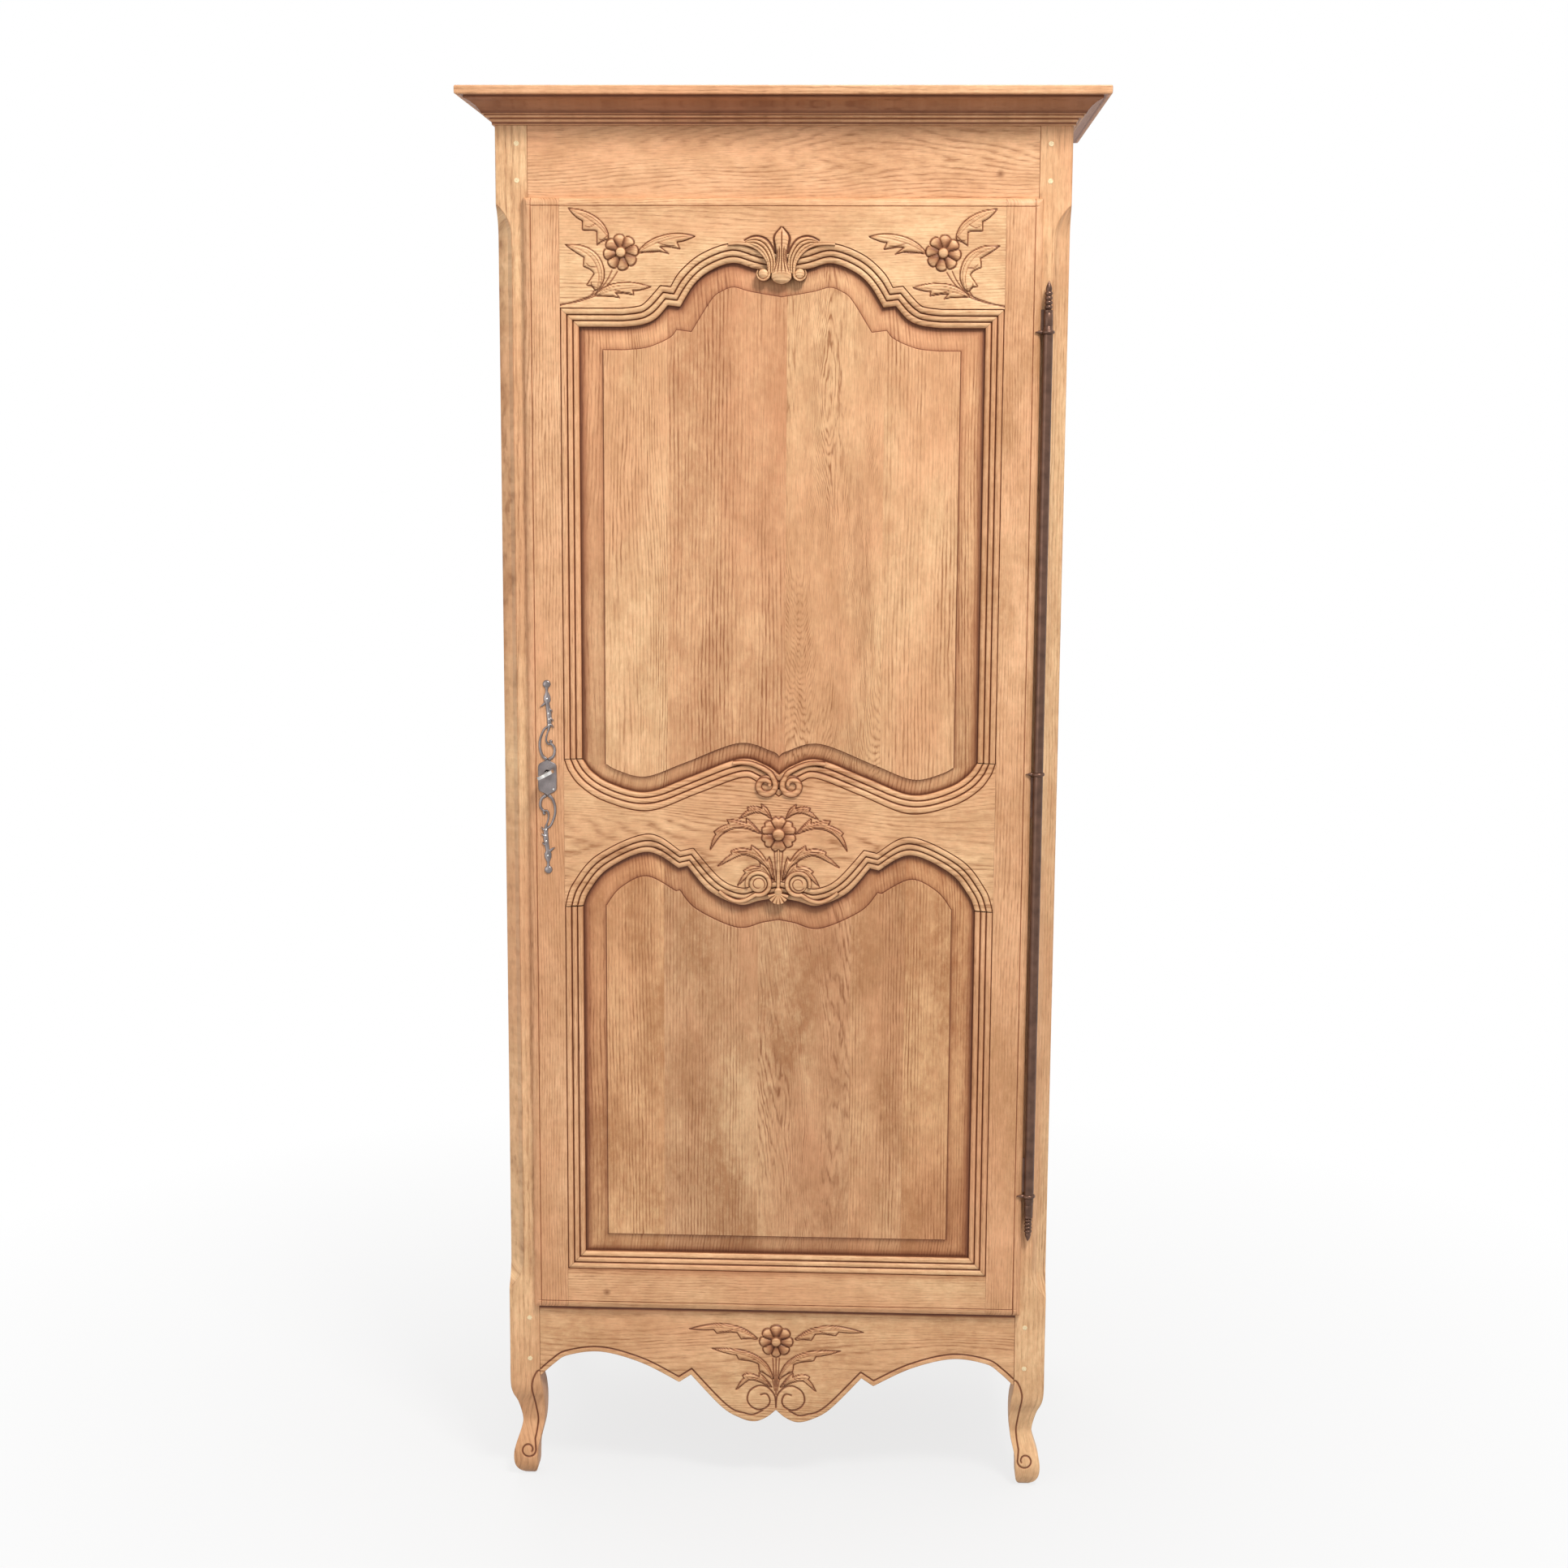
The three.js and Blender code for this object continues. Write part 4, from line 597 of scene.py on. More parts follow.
def flower(ground, centre, radius, petals, notch=0.0, spin=0.0, ball_share=0.3, twist=0.5):
    """An open flower: cupped petals round a ball."""
    where = ground.near([centre], radius + FLOWER_MARGIN)
    dx, dz = ground.x[where] - centre[0], ground.z[where] - centre[1]
    gap = np.hypot(dx, dz)
    turn = (np.arctan2(dz, dx) / (2 * np.pi) * petals + spin) % 1 - 0.5
    turn = turn + twist * 0.25 * (gap / radius - 0.6)
    turn = (turn + 0.5) % 1 - 0.5
    rim = radius * (0.78 + 0.22 * np.sqrt(np.maximum(0, 1 - (2 * turn) ** 2)))
    rim -= notch * radius * np.exp(-((turn / 0.1) ** 2))
    share = gap / rim
    within = share < 1
    seam = np.exp(-(((0.5 - np.abs(turn)) * gap * 2 * np.pi / petals / PETAL_CUT) ** 2))
    share = np.minimum(share, 1)
    swell = np.sin(np.pi * share ** 1.6) * (1 - 0.5 * (2 * turn) ** 2)
    proud = PETAL_BASE + PETAL_SWELL * swell + PETAL_TILT * twist * turn - PETAL_SEAM * seam
    # painted shade: the petals darker towards the ball and down one side of each where they twist; the
    # seams between petals hold old wax
    hollow = 0.85 * (1 - share) ** 1.1 + 0.9 * np.maximum(0, twist * turn * 2)
    dark = np.maximum(0.9 * seam, hollow)
    raise_to(ground, where[within], proud[within], dark[within])
    rim_line = np.exp(-(((gap - rim) / PETAL_CUT) ** 2))
    ground.proud[where] -= RIM_CUT * rim_line * (gap > rim - RIM_CUT)
    ground.dark[where] = np.maximum(ground.dark[where], 0.95 * rim_line)
    ball = radius * ball_share
    on_ball = gap < ball
    raise_to(ground, where[on_ball], BALL_BASE + 0.7 * np.sqrt(ball ** 2 - gap[on_ball] ** 2), 0)
    ball_line = np.exp(-(((gap - ball) / PETAL_CUT) ** 2))
    ground.dark[where] = np.maximum(ground.dark[where], 0.8 * ball_line)


def spiral(centre, radius, eye_share, start, sweep, steps, power):
    """A spiral that draws in from its rim to an eye. start and sweep are in degrees."""
    shares = np.linspace(0, 1, steps)
    turns = np.radians(start + sweep * shares)
    out = radius * (1 - (1 - eye_share) * shares ** power)
    return np.stack([centre[0] + out * np.cos(turns), centre[1] + out * np.sin(turns)], axis=1)


def spots(shares, corner, unit):
    return [(corner[0] + x * unit, corner[1] + z * unit) for x, z in shares]


# Each leaf is a rib from base to tip, the widths of its smooth and lobed sides, and its number of lobes

TOP_LEAF_SHARES = [
    ([(0.46, 0.64), (0.37, 0.735), (0.24, 0.825), (0.09, 0.9)], -0.055, 0.15, 2),
    ([(0.35, 0.16), (0.37, 0.29), (0.32, 0.43), (0.21, 0.52), (0.06, 0.57)], -0.06, 0.15, 2),
    ([(0.73, 0.5), (0.86, 0.57), (1.01, 0.62), (1.14, 0.645), (1.26, 0.65)], 0.05, -0.14, 2),
    ([(0.33, 0.11), (0.49, 0.155), (0.66, 0.18), (0.85, 0.19)], 0.06, -0.085, 2),
]
TOP_STEM_SHARES = [
    [(0.49, 0.34), (0.43, 0.23), (0.33, 0.13), (0.15, 0.06), (0.0, 0.02)],
    [(0.54, 0.33), (0.47, 0.23), (0.35, 0.12), (0.22, 0.07)],
    [(0.35, 0.2), (0.28, 0.1), (0.15, 0.05), (0.0, 0.03)],
]
MIDDLE_LEAF_SHARES = [
    ([(-0.1, 0.22), (-0.2, 0.33), (-0.37, 0.35), (-0.57, 0.22)], 0.05, -0.085, 2),
    ([(-0.24, 0.0), (-0.45, 0.12), (-0.68, 0.12), (-0.87, -0.01), (-0.99, -0.24)], 0.055, -0.11, 3),
    ([(-0.06, -0.68), (-0.15, -0.47), (-0.32, -0.3), (-0.56, -0.27), (-0.88, -0.48)], 0.06, -0.11, 3),
    ([(-0.09, -0.66), (-0.21, -0.53), (-0.39, -0.53), (-0.59, -0.76)], 0.045, -0.09, 2),
]
MIDDLE_STEM_SHARES = [
    [(-0.06, -0.26), (-0.045, -0.5), (-0.015, -0.76)],
    [(0.0, -0.26), (0.0, -0.76)],
    [(-0.21, -0.42), (-0.1, -0.63), (-0.06, -0.8)],
    [(-0.13, -0.36), (-0.07, -0.6), (-0.035, -0.8)],
]
APRON_LEAF_SHARES = [
    ([(-0.28, 0.03), (-0.54, 0.15), (-0.88, 0.2), (-1.3, 0.16)], -0.06, 0.13, 2),
    ([(-0.04, -0.6), (-0.2, -0.37), (-0.48, -0.22), (-0.96, -0.14)], -0.06, 0.13, 2),
    ([(-0.06, -0.73), (-0.22, -0.61), (-0.42, -0.58), (-0.6, -0.78)], 0.05, -0.09, 2),
]
APRON_STEM_SHARES = [
    [(-0.05, -0.27), (-0.035, -0.5), (-0.01, -0.72)],
    [(0.0, -0.27), (0.0, -0.84)],
    [(-0.12, -0.42), (-0.06, -0.58), (-0.02, -0.78)],
]
# The volute beside the apron's cusp, from the cusp round to its eye, and the end of the edge groove
APRON_VOLUTE_SHARES = [
    (0.0, -1.05), (-0.02, -0.86), (-0.13, -0.73), (-0.26, -0.71), (-0.39, -0.79), (-0.43, -0.93),
    (-0.37, -1.04), (-0.25, -1.09), (-0.13, -1.04), (-0.09, -0.94), (-0.14, -0.84), (-0.23, -0.85),
]
GROOVE_END_SHARES = [(-0.51, -1.14), (-0.35, -1.17), (-0.2, -1.1)]
# The sizes that the shares stand for, and the flowers
SPRAY = 150
BOUQUET = 100
TOP_FLOWER_SHARES = [(0.575, 0.505)]
TOP_FLOWER_RADIUS = 24.5
MIDDLE_FLOWER = (0, 995)
MIDDLE_FLOWER_RADIUS = 26
APRON_FLOWER = (0, 224)
APRON_FLOWER_RADIUS = 25
# The apron's groove lies this far inside its edge and breaks off before the volute
GROOVE_GAP = 7.5
GROOVE_BREAK = 8
# Painted shadow under the door's lip: full dark down to this far below the lip's foot, fading further down
LIP_SHADOW_GAP = 4
LIP_SHADOW_FADE = 1.8
# The cut lines that set off the leaves of the palmette
SIDE_LEAF_GAP = 1.2
UPRIGHT_LEAF_GAP = 1


def spray(ground, leaves, stems, corner, unit):
    for line in stems:
        incise(ground, smooth(spots(line, corner, unit), 8), STEM_DEPTH, dark=0.85)
    for rib, smooth_share, lobed_share, lobes in leaves:
        leaf(ground, spots(rib, corner, unit), smooth_share * unit, lobed_share * unit, lobes)


def top_carving(x, z):
    ground = Ground(-np.abs(x), z)
    corner = (-SHOULDER, TOP_SIGHT + MOULDING)
    spray(ground, TOP_LEAF_SHARES, TOP_STEM_SHARES, corner, SPRAY)
    flower(ground, spots(TOP_FLOWER_SHARES, corner, SPRAY)[0], TOP_FLOWER_RADIUS, 8, spin=0.3)
    side_leaf = smooth(spots(SIDE_LEAF_OUTER_SHARES, PALMETTE, BOUQUET), 8)
    incise(ground, beside(side_leaf, SIDE_LEAF_GAP), *SIDE_LEAF_CUT)
    upright_edge = [
        (-half * UPRIGHT_LEAF_HALF - UPRIGHT_LEAF_GAP, PALMETTE[1] + up * UPRIGHT_LEAF_RISE)
        for up, half in UPRIGHT_LEAF_SHARES[6:]
    ]
    incise(ground, smooth(upright_edge, 8), *UPRIGHT_LEAF_CUT)
    return ground.result()


def middle_carving(x, z):
    ground = Ground(-np.abs(x), z)
    spray(ground, MIDDLE_LEAF_SHARES, MIDDLE_STEM_SHARES, MIDDLE_FLOWER, BOUQUET)
    flower(ground, MIDDLE_FLOWER, MIDDLE_FLOWER_RADIUS, 6, notch=0.12, ball_share=0.35, twist=0.0)
    return ground.result()


def apron_carving(x, z):
    ground = Ground(-np.abs(x), z)
    spray(ground, APRON_LEAF_SHARES, APRON_STEM_SHARES, APRON_FLOWER, BOUQUET)
    for line in apron_grooves():
        incise(ground, line, *GROOVE_CUT)
    flower(ground, APRON_FLOWER, APRON_FLOWER_RADIUS, 8, spin=0.4)
    # painted shadow of the door's lip on the apron, darkest just below it and fading downwards
    below = np.maximum(LIP_FOOT - LIP_SHADOW_GAP - ground.z, 0)
    ground.dark = np.maximum(ground.dark, 0.95 * np.exp(-below / LIP_SHADOW_FADE))
    return ground.result()


def apron_grooves():
    """The cut line beside the shaped edge, and the volute at its end."""
    edge = edge_line(APRON, GROOVE_GAP, OPENING_HALF)
    turn_in = np.array(spots(GROOVE_END_SHARES, APRON_FLOWER, BOUQUET))
    kept = edge[edge[:, 0] < turn_in[0, 0] - GROOVE_BREAK]
    left = np.vstack([kept, smooth(np.vstack([kept[-1:], turn_in]), 8)])
    volute = smooth(spots(APRON_VOLUTE_SHARES, APRON_FLOWER, BOUQUET), 8)
    return [left, volute]


def shell_of(name, front, dark, base, back=SUNK):
    """Closes an array of front points, rows by columns, to a solid with a flat back."""
    rear = front[[-1, 0]].copy()
    rear[..., 1] = np.max(base) + back
    return skin(name, np.concatenate([front, rear]), np.concatenate([dark, dark[[-1, 0]]]), angle=60)


def strand(name, line, widths, proud, base, back=SUNK):
    """A rounded rib laid along a line, tapered by its half widths. It is flat behind."""
    line = np.asarray(line, float)
    run = np.gradient(line, axis=0)
    run /= np.linalg.norm(run, axis=1)[:, None]
    aside = np.stack([-run[:, 1], run[:, 0]], axis=1)
    along = np.linspace(0, 1, len(line))
    widths = np.interp(along, np.linspace(0, 1, len(widths)), widths)
    level = np.interp(along, np.linspace(0, 1, np.size(base)), np.atleast_1d(base))
    rows, darks = [], []
    for turn in np.linspace(0, np.pi, 9):
        place = line + aside * (widths * math.cos(turn))[:, None]
        front = level - proud * math.sin(turn) ** 0.8
        rows.append(np.stack([place[:, 0], front, place[:, 1]], axis=1))
        # painted shade: darker down the rounded sides as they turn from the front; darkest at the foot,
        # with old wax in the corner
        lean = abs(math.cos(turn))
        darks.append(np.full(len(line), 0.95 * lean ** 6 + 0.25 * lean))
    return shell_of(name, np.array(rows), np.array(darks), level, back)


def dome(name, centre, radius, proud, base, coil=0, back=SUNK, steps=56):
    """A boss with a rounded face, such as the end of a scroll. coil cuts a spiral, to either hand."""
    shares = np.concatenate([[0.03], np.linspace(0.1, 1, 19), [1]])
    rows, darks = [], []
    for turn in np.linspace(0, 2 * np.pi, steps, endpoint=False):
        out = radius * shares
        front = base - proud * np.sqrt(np.maximum(0, 1 - shares ** 2.4))
        dark = np.where(shares > 0.93, 0.7, 0.0)
        if coil:
            lap = (coil * (turn + 0.6)) % (2 * np.pi) / (2 * np.pi)
            gap = (shares - 0.42 - 0.33 * lap) * radius
            cut = np.minimum(1, 5 * lap) * np.exp(-((gap / COIL_WIDTH) ** 2))
            front += COIL_DEPTH * cut
            dark = np.maximum(dark, 0.8 * cut)
        front[-1] = base + back
        place = centre[0] + out * np.cos(turn), front, centre[1] + out * np.sin(turn)
        rows.append(np.stack(place, axis=1))
        darks.append(dark)
    return skin(name, np.array(rows), np.array(darks), angle=60)


def ribbon(name, outer, inner, ridges, proud, base):
    """A fluted leaf between two lines, in rounded ridges that lie side by side."""
    outer, inner = even(smooth(outer, 10), 48), even(smooth(inner, 10), 48)
    grow = np.interp(np.linspace(0, 1, 49), [0, 0.2, 1], [0.3, 1, 1])
    rows, darks = [], []
    for share in np.linspace(0, 1, ridges * 8 + 1):
        place = outer + (inner - outer) * share
        swell = abs(math.sin(math.pi * ridges * share)) ** 0.7
        front = base - proud * grow * (0.35 + 0.65 * swell)
        rows.append(np.stack([place[:, 0], front, place[:, 1]], axis=1))
        darks.append(np.full(49, 0.95 * (1 - swell) ** 2))
    return shell_of(name, np.array(rows), np.array(darks), base)


# The palmette's upright leaf: share of its rise and of its half width, from its rounded foot to its point
UPRIGHT_LEAF_RISE = 77
UPRIGHT_LEAF_HALF = 14.5
UPRIGHT_LEAF_CROWN = 8
UPRIGHT_LEAF_SHARES = [
    (0, 0.138), (0.03, 0.621), (0.09, 0.966), (0.17, 1), (0.28, 0.793), (0.4, 0.566), (0.55, 0.497),
    (0.68, 0.593), (0.8, 0.703), (0.88, 0.566), (0.95, 0.248), (1, 0.021),
]
# Each flute: its share across, and the share of the leaf that it runs up to
FLUTE_SHARES = [(0, 1.0), (-0.42, 0.62), (0.42, 0.62), (-0.78, 0.58), (0.78, 0.58)]


def fluted_leaf(name, foot, base):
    """The upright leaf of the palmette: a smooth bulb at its foot, flutes above, and a pointed tip."""
    share = np.linspace(0, 1, 70)
    widths = smooth(UPRIGHT_LEAF_SHARES, 8)
    half = UPRIGHT_LEAF_HALF * np.interp(share, widths[:, 0], widths[:, 1])
    crown_shares = [0.25, 0.75, 1, 0.75, 0.625, 0.1875]
    crown = UPRIGHT_LEAF_CROWN * np.interp(share, [0, 0.06, 0.2, 0.5, 0.85, 1], crown_shares)
    fade = np.interp(share, [0.16, 0.26, 0.9, 0.97], [0, 1, 1, 0])
    rows, darks = [], []
    for across in np.linspace(-1, 1, 45):
        round_off = math.sqrt(max(0.0, 1 - across ** 2)) ** 0.7
        cut = np.zeros(len(share))
        for flute, reach_up in FLUTE_SHARES:
            ends = fade * np.clip((reach_up - share) / 0.06 + 1, 0, 1)
            cut = np.maximum(cut, ends * np.exp(-(((across - flute) * half / FLUTE_WIDTH) ** 2)))
        front = base - crown * round_off + FLUTE_DEPTH * cut
        rows.append(np.stack([half * across, front, foot + UPRIGHT_LEAF_RISE * share], axis=1))
        darks.append(np.maximum(0.85 * cut, 0.9 * (abs(across) > 0.93)))
    return shell_of(name, np.array(rows), np.array(darks), base)


# The palmette's foot, its side leaves, and the bands of the mouldings that end in balls beside it
PALMETTE = (0, 1771)
SIDE_LEAF_OUTER_SHARES = [
    (-0.51, 0.585), (-0.42, 0.63), (-0.32, 0.64), (-0.21, 0.594), (-0.125, 0.47), (-0.085, 0.33),
    (-0.095, 0.17),
]
SIDE_LEAF_INNER_SHARES = [
    (-0.5, 0.555), (-0.41, 0.525), (-0.33, 0.485), (-0.25, 0.405), (-0.2, 0.3), (-0.185, 0.2),
    (-0.185, 0.13),
]
BALL_BAND_SHARES = [
    (-0.74, 0.542), (-0.62, 0.548), (-0.5, 0.54), (-0.41, 0.515), (-0.33, 0.47), (-0.25, 0.39),
    (-0.19, 0.285),
]
BALL_SHARES = [(-0.255, 0.14)]
UPRIGHT_LEAF_LIFT, SIDE_LEAF_LIFT, BALL_LIFT = 0.4, 0.2, 0.8
BALL_RADIUS = 8.6
BALL_INSET = 1.4
BALL_PROUD = 4.6
SIDE_LEAF_PROUD = 4.6
BAND_PROUD = 3.4
BAND_HALF_WIDTHS = [2.2, 2.5, 2.5, 2.4, 2.2, 2.0, 1.7, 0.9]
BAND_LEVELS = [0.6, 0, -0.6, -1]


def both_sides(make, *lines):
    """One piece and its mirror image, made from lines of the left half."""
    lines = [np.asarray(line, float) for line in lines]
    return [make(*lines), make(*(line * (-1, 1) for line in lines))]


def palmette():
    """The shell on the top rail: a pointed leaf, curled side leaves, and the mouldings' scroll balls."""
    pieces = [fluted_leaf("middle_leaf", PALMETTE[1], FACE - UPRIGHT_LEAF_LIFT)]
    outer, inner = (spots(s, PALMETTE, BOUQUET) for s in (SIDE_LEAF_OUTER_SHARES, SIDE_LEAF_INNER_SHARES))
    base = FACE - SIDE_LEAF_LIFT
    pieces += both_sides(lambda a, b: ribbon("side_leaf", a, b, 3, SIDE_LEAF_PROUD, base), outer, inner)
    place = spots(BALL_SHARES, PALMETTE, BOUQUET)
    band = run_into(BALL_BAND_SHARES, PALMETTE, arc(place[0], BALL_RADIUS, 20, -215, 40))
    levels = [FACE + level for level in BAND_LEVELS]
    pieces += both_sides(
        lambda line: strand("ball_band", line, BAND_HALF_WIDTHS, BAND_PROUD, levels), band)
    radius, level = BALL_RADIUS - BALL_INSET, FACE - BALL_LIFT
    pieces += both_sides(lambda spot: dome("ball", spot[0], radius, BALL_PROUD, level), place)
    return pieces


def run_into(shares, corner, curl):
    """A smooth band that runs into the start of a curl, as one line."""
    band = spots(shares, corner, BOUQUET)
    return np.vstack([smooth(np.vstack([band, curl[:1]]), 8), curl[1:]])


# The scroll ends of the middle rail's mouldings, and the shell and stem between them
UPPER_SCROLL_SHARES = [(-0.185, 0.71)]
UPPER_BAND_SHARES = [(-0.66, 1.022), (-0.52, 1.034), (-0.38, 1.013), (-0.24, 0.956), (-0.125, 0.882)]
UPPER_SCROLL_RADIUS = 13.6
UPPER_DISC_RADIUS = 15
UPPER_HALF_WIDTHS = [3.4, 4.0, 5.0, 5.4, 4.8, 3.0]
UPPER_PROUD = 4.8
DISC_PROUD = 1.2
DISC_SINK, STEM_SINK = 0.4, 0.3
LOWER_VOLUTE_SHARES = [(-0.29, -0.73)]
LOWER_BAND_SHARES = [(-0.86, -0.855), (-0.74, -0.945), (-0.6, -0.996), (-0.47, -0.974)]
LOWER_VOLUTE_RADIUS = 16.6
LOWER_EYE_RADIUS = 13.2
LOWER_HALF_WIDTHS = [3.2, 3.4, 3.6, 3.6, 3.4, 2.8]
LOWER_PROUD = 3.6
EYE_PROUD = 3.4
SCROLL_LEVELS = [4.4, 2.5, 0, -0.4, -0.4]
SHELL_SHARES = [(0, -0.87)]
SHELL_ROOT_SHARES = [(0, -0.86)]
SHELL_HALF, SHELL_DROP = 14.5, 15
SHELL_TURNS = [-163, -138, -113, -90, -67, -42, -17]
SHELL_HALF_WIDTHS = [0.8, 3.3]
SHELL_PROUD = 3.6
SHELL_LIFT, BULB_LIFT = 0.6, 0.8
BULB_SHARES = [(0, -0.84)]
BULB_RADIUS, BULB_PROUD = 6, 4.4
STEM_SHARES = [(0, -0.23), (0, -0.45), (0, -0.65), (0, -0.81)]
STEM_HALF_WIDTHS = [1.3, 2.6, 3.4, 2.4]
STEM_PROUD = 2.6


def middle_scrolls():
    """Scroll ends of the middle rail's mouldings and the little shell between the lower two."""
    disc = spots(UPPER_SCROLL_SHARES, MIDDLE_FLOWER, BOUQUET)
    curl = spiral(disc[0], UPPER_SCROLL_RADIUS, 0.36, 38, -400, 90, 1.7)
    upper = run_into(UPPER_BAND_SHARES, MIDDLE_FLOWER, curl)
    eye = spots(LOWER_VOLUTE_SHARES, MIDDLE_FLOWER, BOUQUET)[0]
    lower = run_into(LOWER_BAND_SHARES, MIDDLE_FLOWER, arc(eye, LOWER_VOLUTE_RADIUS, -104, 196, 60))
    levels = [FACE + level for level in SCROLL_LEVELS]
    pieces = both_sides(
        lambda line: strand("scroll", line, UPPER_HALF_WIDTHS, UPPER_PROUD, levels), upper)
    pieces += both_sides(
        lambda spot: dome("scroll_disc", spot[0], UPPER_DISC_RADIUS, DISC_PROUD, FACE + DISC_SINK), disc)
    pieces += both_sides(
        lambda line: strand("volute", line, LOWER_HALF_WIDTHS, LOWER_PROUD, levels), lower)
    for side in (-1, 1):
        spot, base = (-side * eye[0], eye[1]), FACE + DISC_SINK
        pieces.append(dome("volute_eye", spot, LOWER_EYE_RADIUS, EYE_PROUD, base, coil=side))
    return pieces + little_shell()


def little_shell():
    """The ribs, bulb and stem between the two volutes."""
    middle, root, bulb = (
        spots(s, MIDDLE_FLOWER, BOUQUET)[0] for s in (SHELL_SHARES, SHELL_ROOT_SHARES, BULB_SHARES))
    pieces = []
    for turn in np.radians(SHELL_TURNS):
        tip = (SHELL_HALF * math.cos(turn), middle[1] + SHELL_DROP * math.sin(turn))
        rib = smooth([root, tip], 6)
        pieces.append(strand("shell_rib", rib, SHELL_HALF_WIDTHS, SHELL_PROUD, FACE - SHELL_LIFT))
    pieces.append(dome("shell_bulb", bulb, BULB_RADIUS, BULB_PROUD, FACE - BULB_LIFT))
    stem = smooth(spots(STEM_SHARES, MIDDLE_FLOWER, BOUQUET), 8)
    pieces.append(strand("stem", stem, STEM_HALF_WIDTHS, STEM_PROUD, FACE + STEM_SINK))
    return pieces


# Rails

def top_rail(relief):
    outer, sight = edge_line(ARCH, MOULDING, SHOULDER), edge_line(ARCH, 0, SIGHT_HALF)
    xs = columns_between(-SHOULDER + RAIL_GAP, SHOULDER - RAIL_GAP)
    o, s = at_columns(outer, sight, xs)
    lip, lip_dark = lip_rows(xs, LIP_TOP, OPENING_TOP - DOOR_GAP, 1)
    face = flat_rows(xs, lip[-1][:, 2], o[:, 1], 96)
    moulding, dark = between(o, s)
    rows = np.concatenate([lip, face, moulding, row_at(s, DOOR_BACK), row_at(o, DOOR_BACK)])
    wax_and_shade = np.concatenate([lip_dark, np.zeros(face.shape[:2]), dark, np.zeros((2, len(xs)))])
    rows, wax_and_shade = carve(rows, wax_and_shade, relief, slice(len(lip), len(lip) + len(face)))
    return skin("carved_top_rail", rows, wax_and_shade)


def middle_rail(relief):
    wave_out, wave = edge_line(WAVE, -MOULDING, SHOULDER), edge_line(WAVE, 0, SIGHT_HALF)
    hump_out, hump = edge_line(HUMP, MOULDING, SHOULDER), edge_line(HUMP, 0, SIGHT_HALF)
    xs = columns_between(-SHOULDER + RAIL_GAP, SHOULDER - RAIL_GAP)
    wo, ws = at_columns(wave_out, wave, xs)
    ho, hs = at_columns(hump_out, hump, xs)
    upper, upper_dark = between(wo, ws)
    lower, lower_dark = between(ho, hs)
    face = flat_rows(xs, wo[:, 1], ho[:, 1], 96)
    behind = np.concatenate([row_at(line, DOOR_BACK) for line in (hs, ho, wo)])
    rows = np.concatenate([row_at(ws, DOOR_BACK), upper[::-1], face, lower, behind])
    clean = np.zeros((3, len(xs)))
    wax_and_shade = np.concatenate([clean[:1], upper_dark[::-1], np.zeros(face.shape[:2]), lower_dark, clean])
    rows, wax_and_shade = carve(rows, wax_and_shade, relief, slice(1 + len(upper), 1 + len(upper) + len(face)))
    for side, end in ((-1, 0), (1, -1)):
        cap = rows[:, end:end + 1 or None].copy()
        cap[..., 0] = side * (SHOULDER - RAIL_GAP)
        dark = wax_and_shade[:, end:end + 1 or None]
        order = (cap, rows) if end == 0 else (rows, cap)
        rows = np.concatenate(order, axis=1)
        wax_and_shade = np.concatenate((dark, wax_and_shade) if end == 0 else (wax_and_shade, dark), axis=1)
    return skin("carved_middle_rail", rows, wax_and_shade)


def bottom_rail():
    outer, sight = edge_line(FOOT_LINE, -MOULDING, SHOULDER), edge_line(FOOT_LINE, 0, SIGHT_HALF)
    xs = np.linspace(-SHOULDER + RAIL_GAP, SHOULDER - RAIL_GAP, 60)
    o, s = at_columns(outer, sight, xs)
    lip, lip_dark = lip_rows(xs, LIP_FOOT, OPENING_FOOT + DOOR_GAP, -1)
    face = flat_rows(xs, lip[-1][:, 2], o[:, 1], 3)
    moulding, dark = between(o, s)
    rows = np.concatenate([lip, face, moulding, row_at(s, DOOR_BACK), row_at(o, DOOR_BACK)])
    wax_and_shade = np.concatenate([lip_dark, np.zeros(face.shape[:2]), dark, np.zeros((2, len(xs)))])
    return skin("door_bottom_board", rows, wax_and_shade)


def stile_moulding(name, side, low_end, high_end):
    """The moulding on a stile. Each end is its height at the outer line and its slope."""
    section, steps = moulding_section(), 40
    rows = []
    for across, deep, _ in section:
        inward = across * MOULDING
        ends = [level + slope * inward for level, slope in (low_end, high_end)]
        xs, ys = np.full(steps, side * (SHOULDER - inward)), np.full(steps, FACE + deep)
        rows.append(np.stack([xs, ys, np.linspace(*ends, steps)], axis=1))
    behind = np.array([rows[-1], rows[0]])
    behind[..., 1] = DOOR_BACK
    rows = np.concatenate([rows, behind])
    wax_and_shade = np.concatenate([np.repeat(section[:, 2:3], steps, axis=1), np.zeros((2, steps))])
    return skin(name, rows, wax_and_shade)


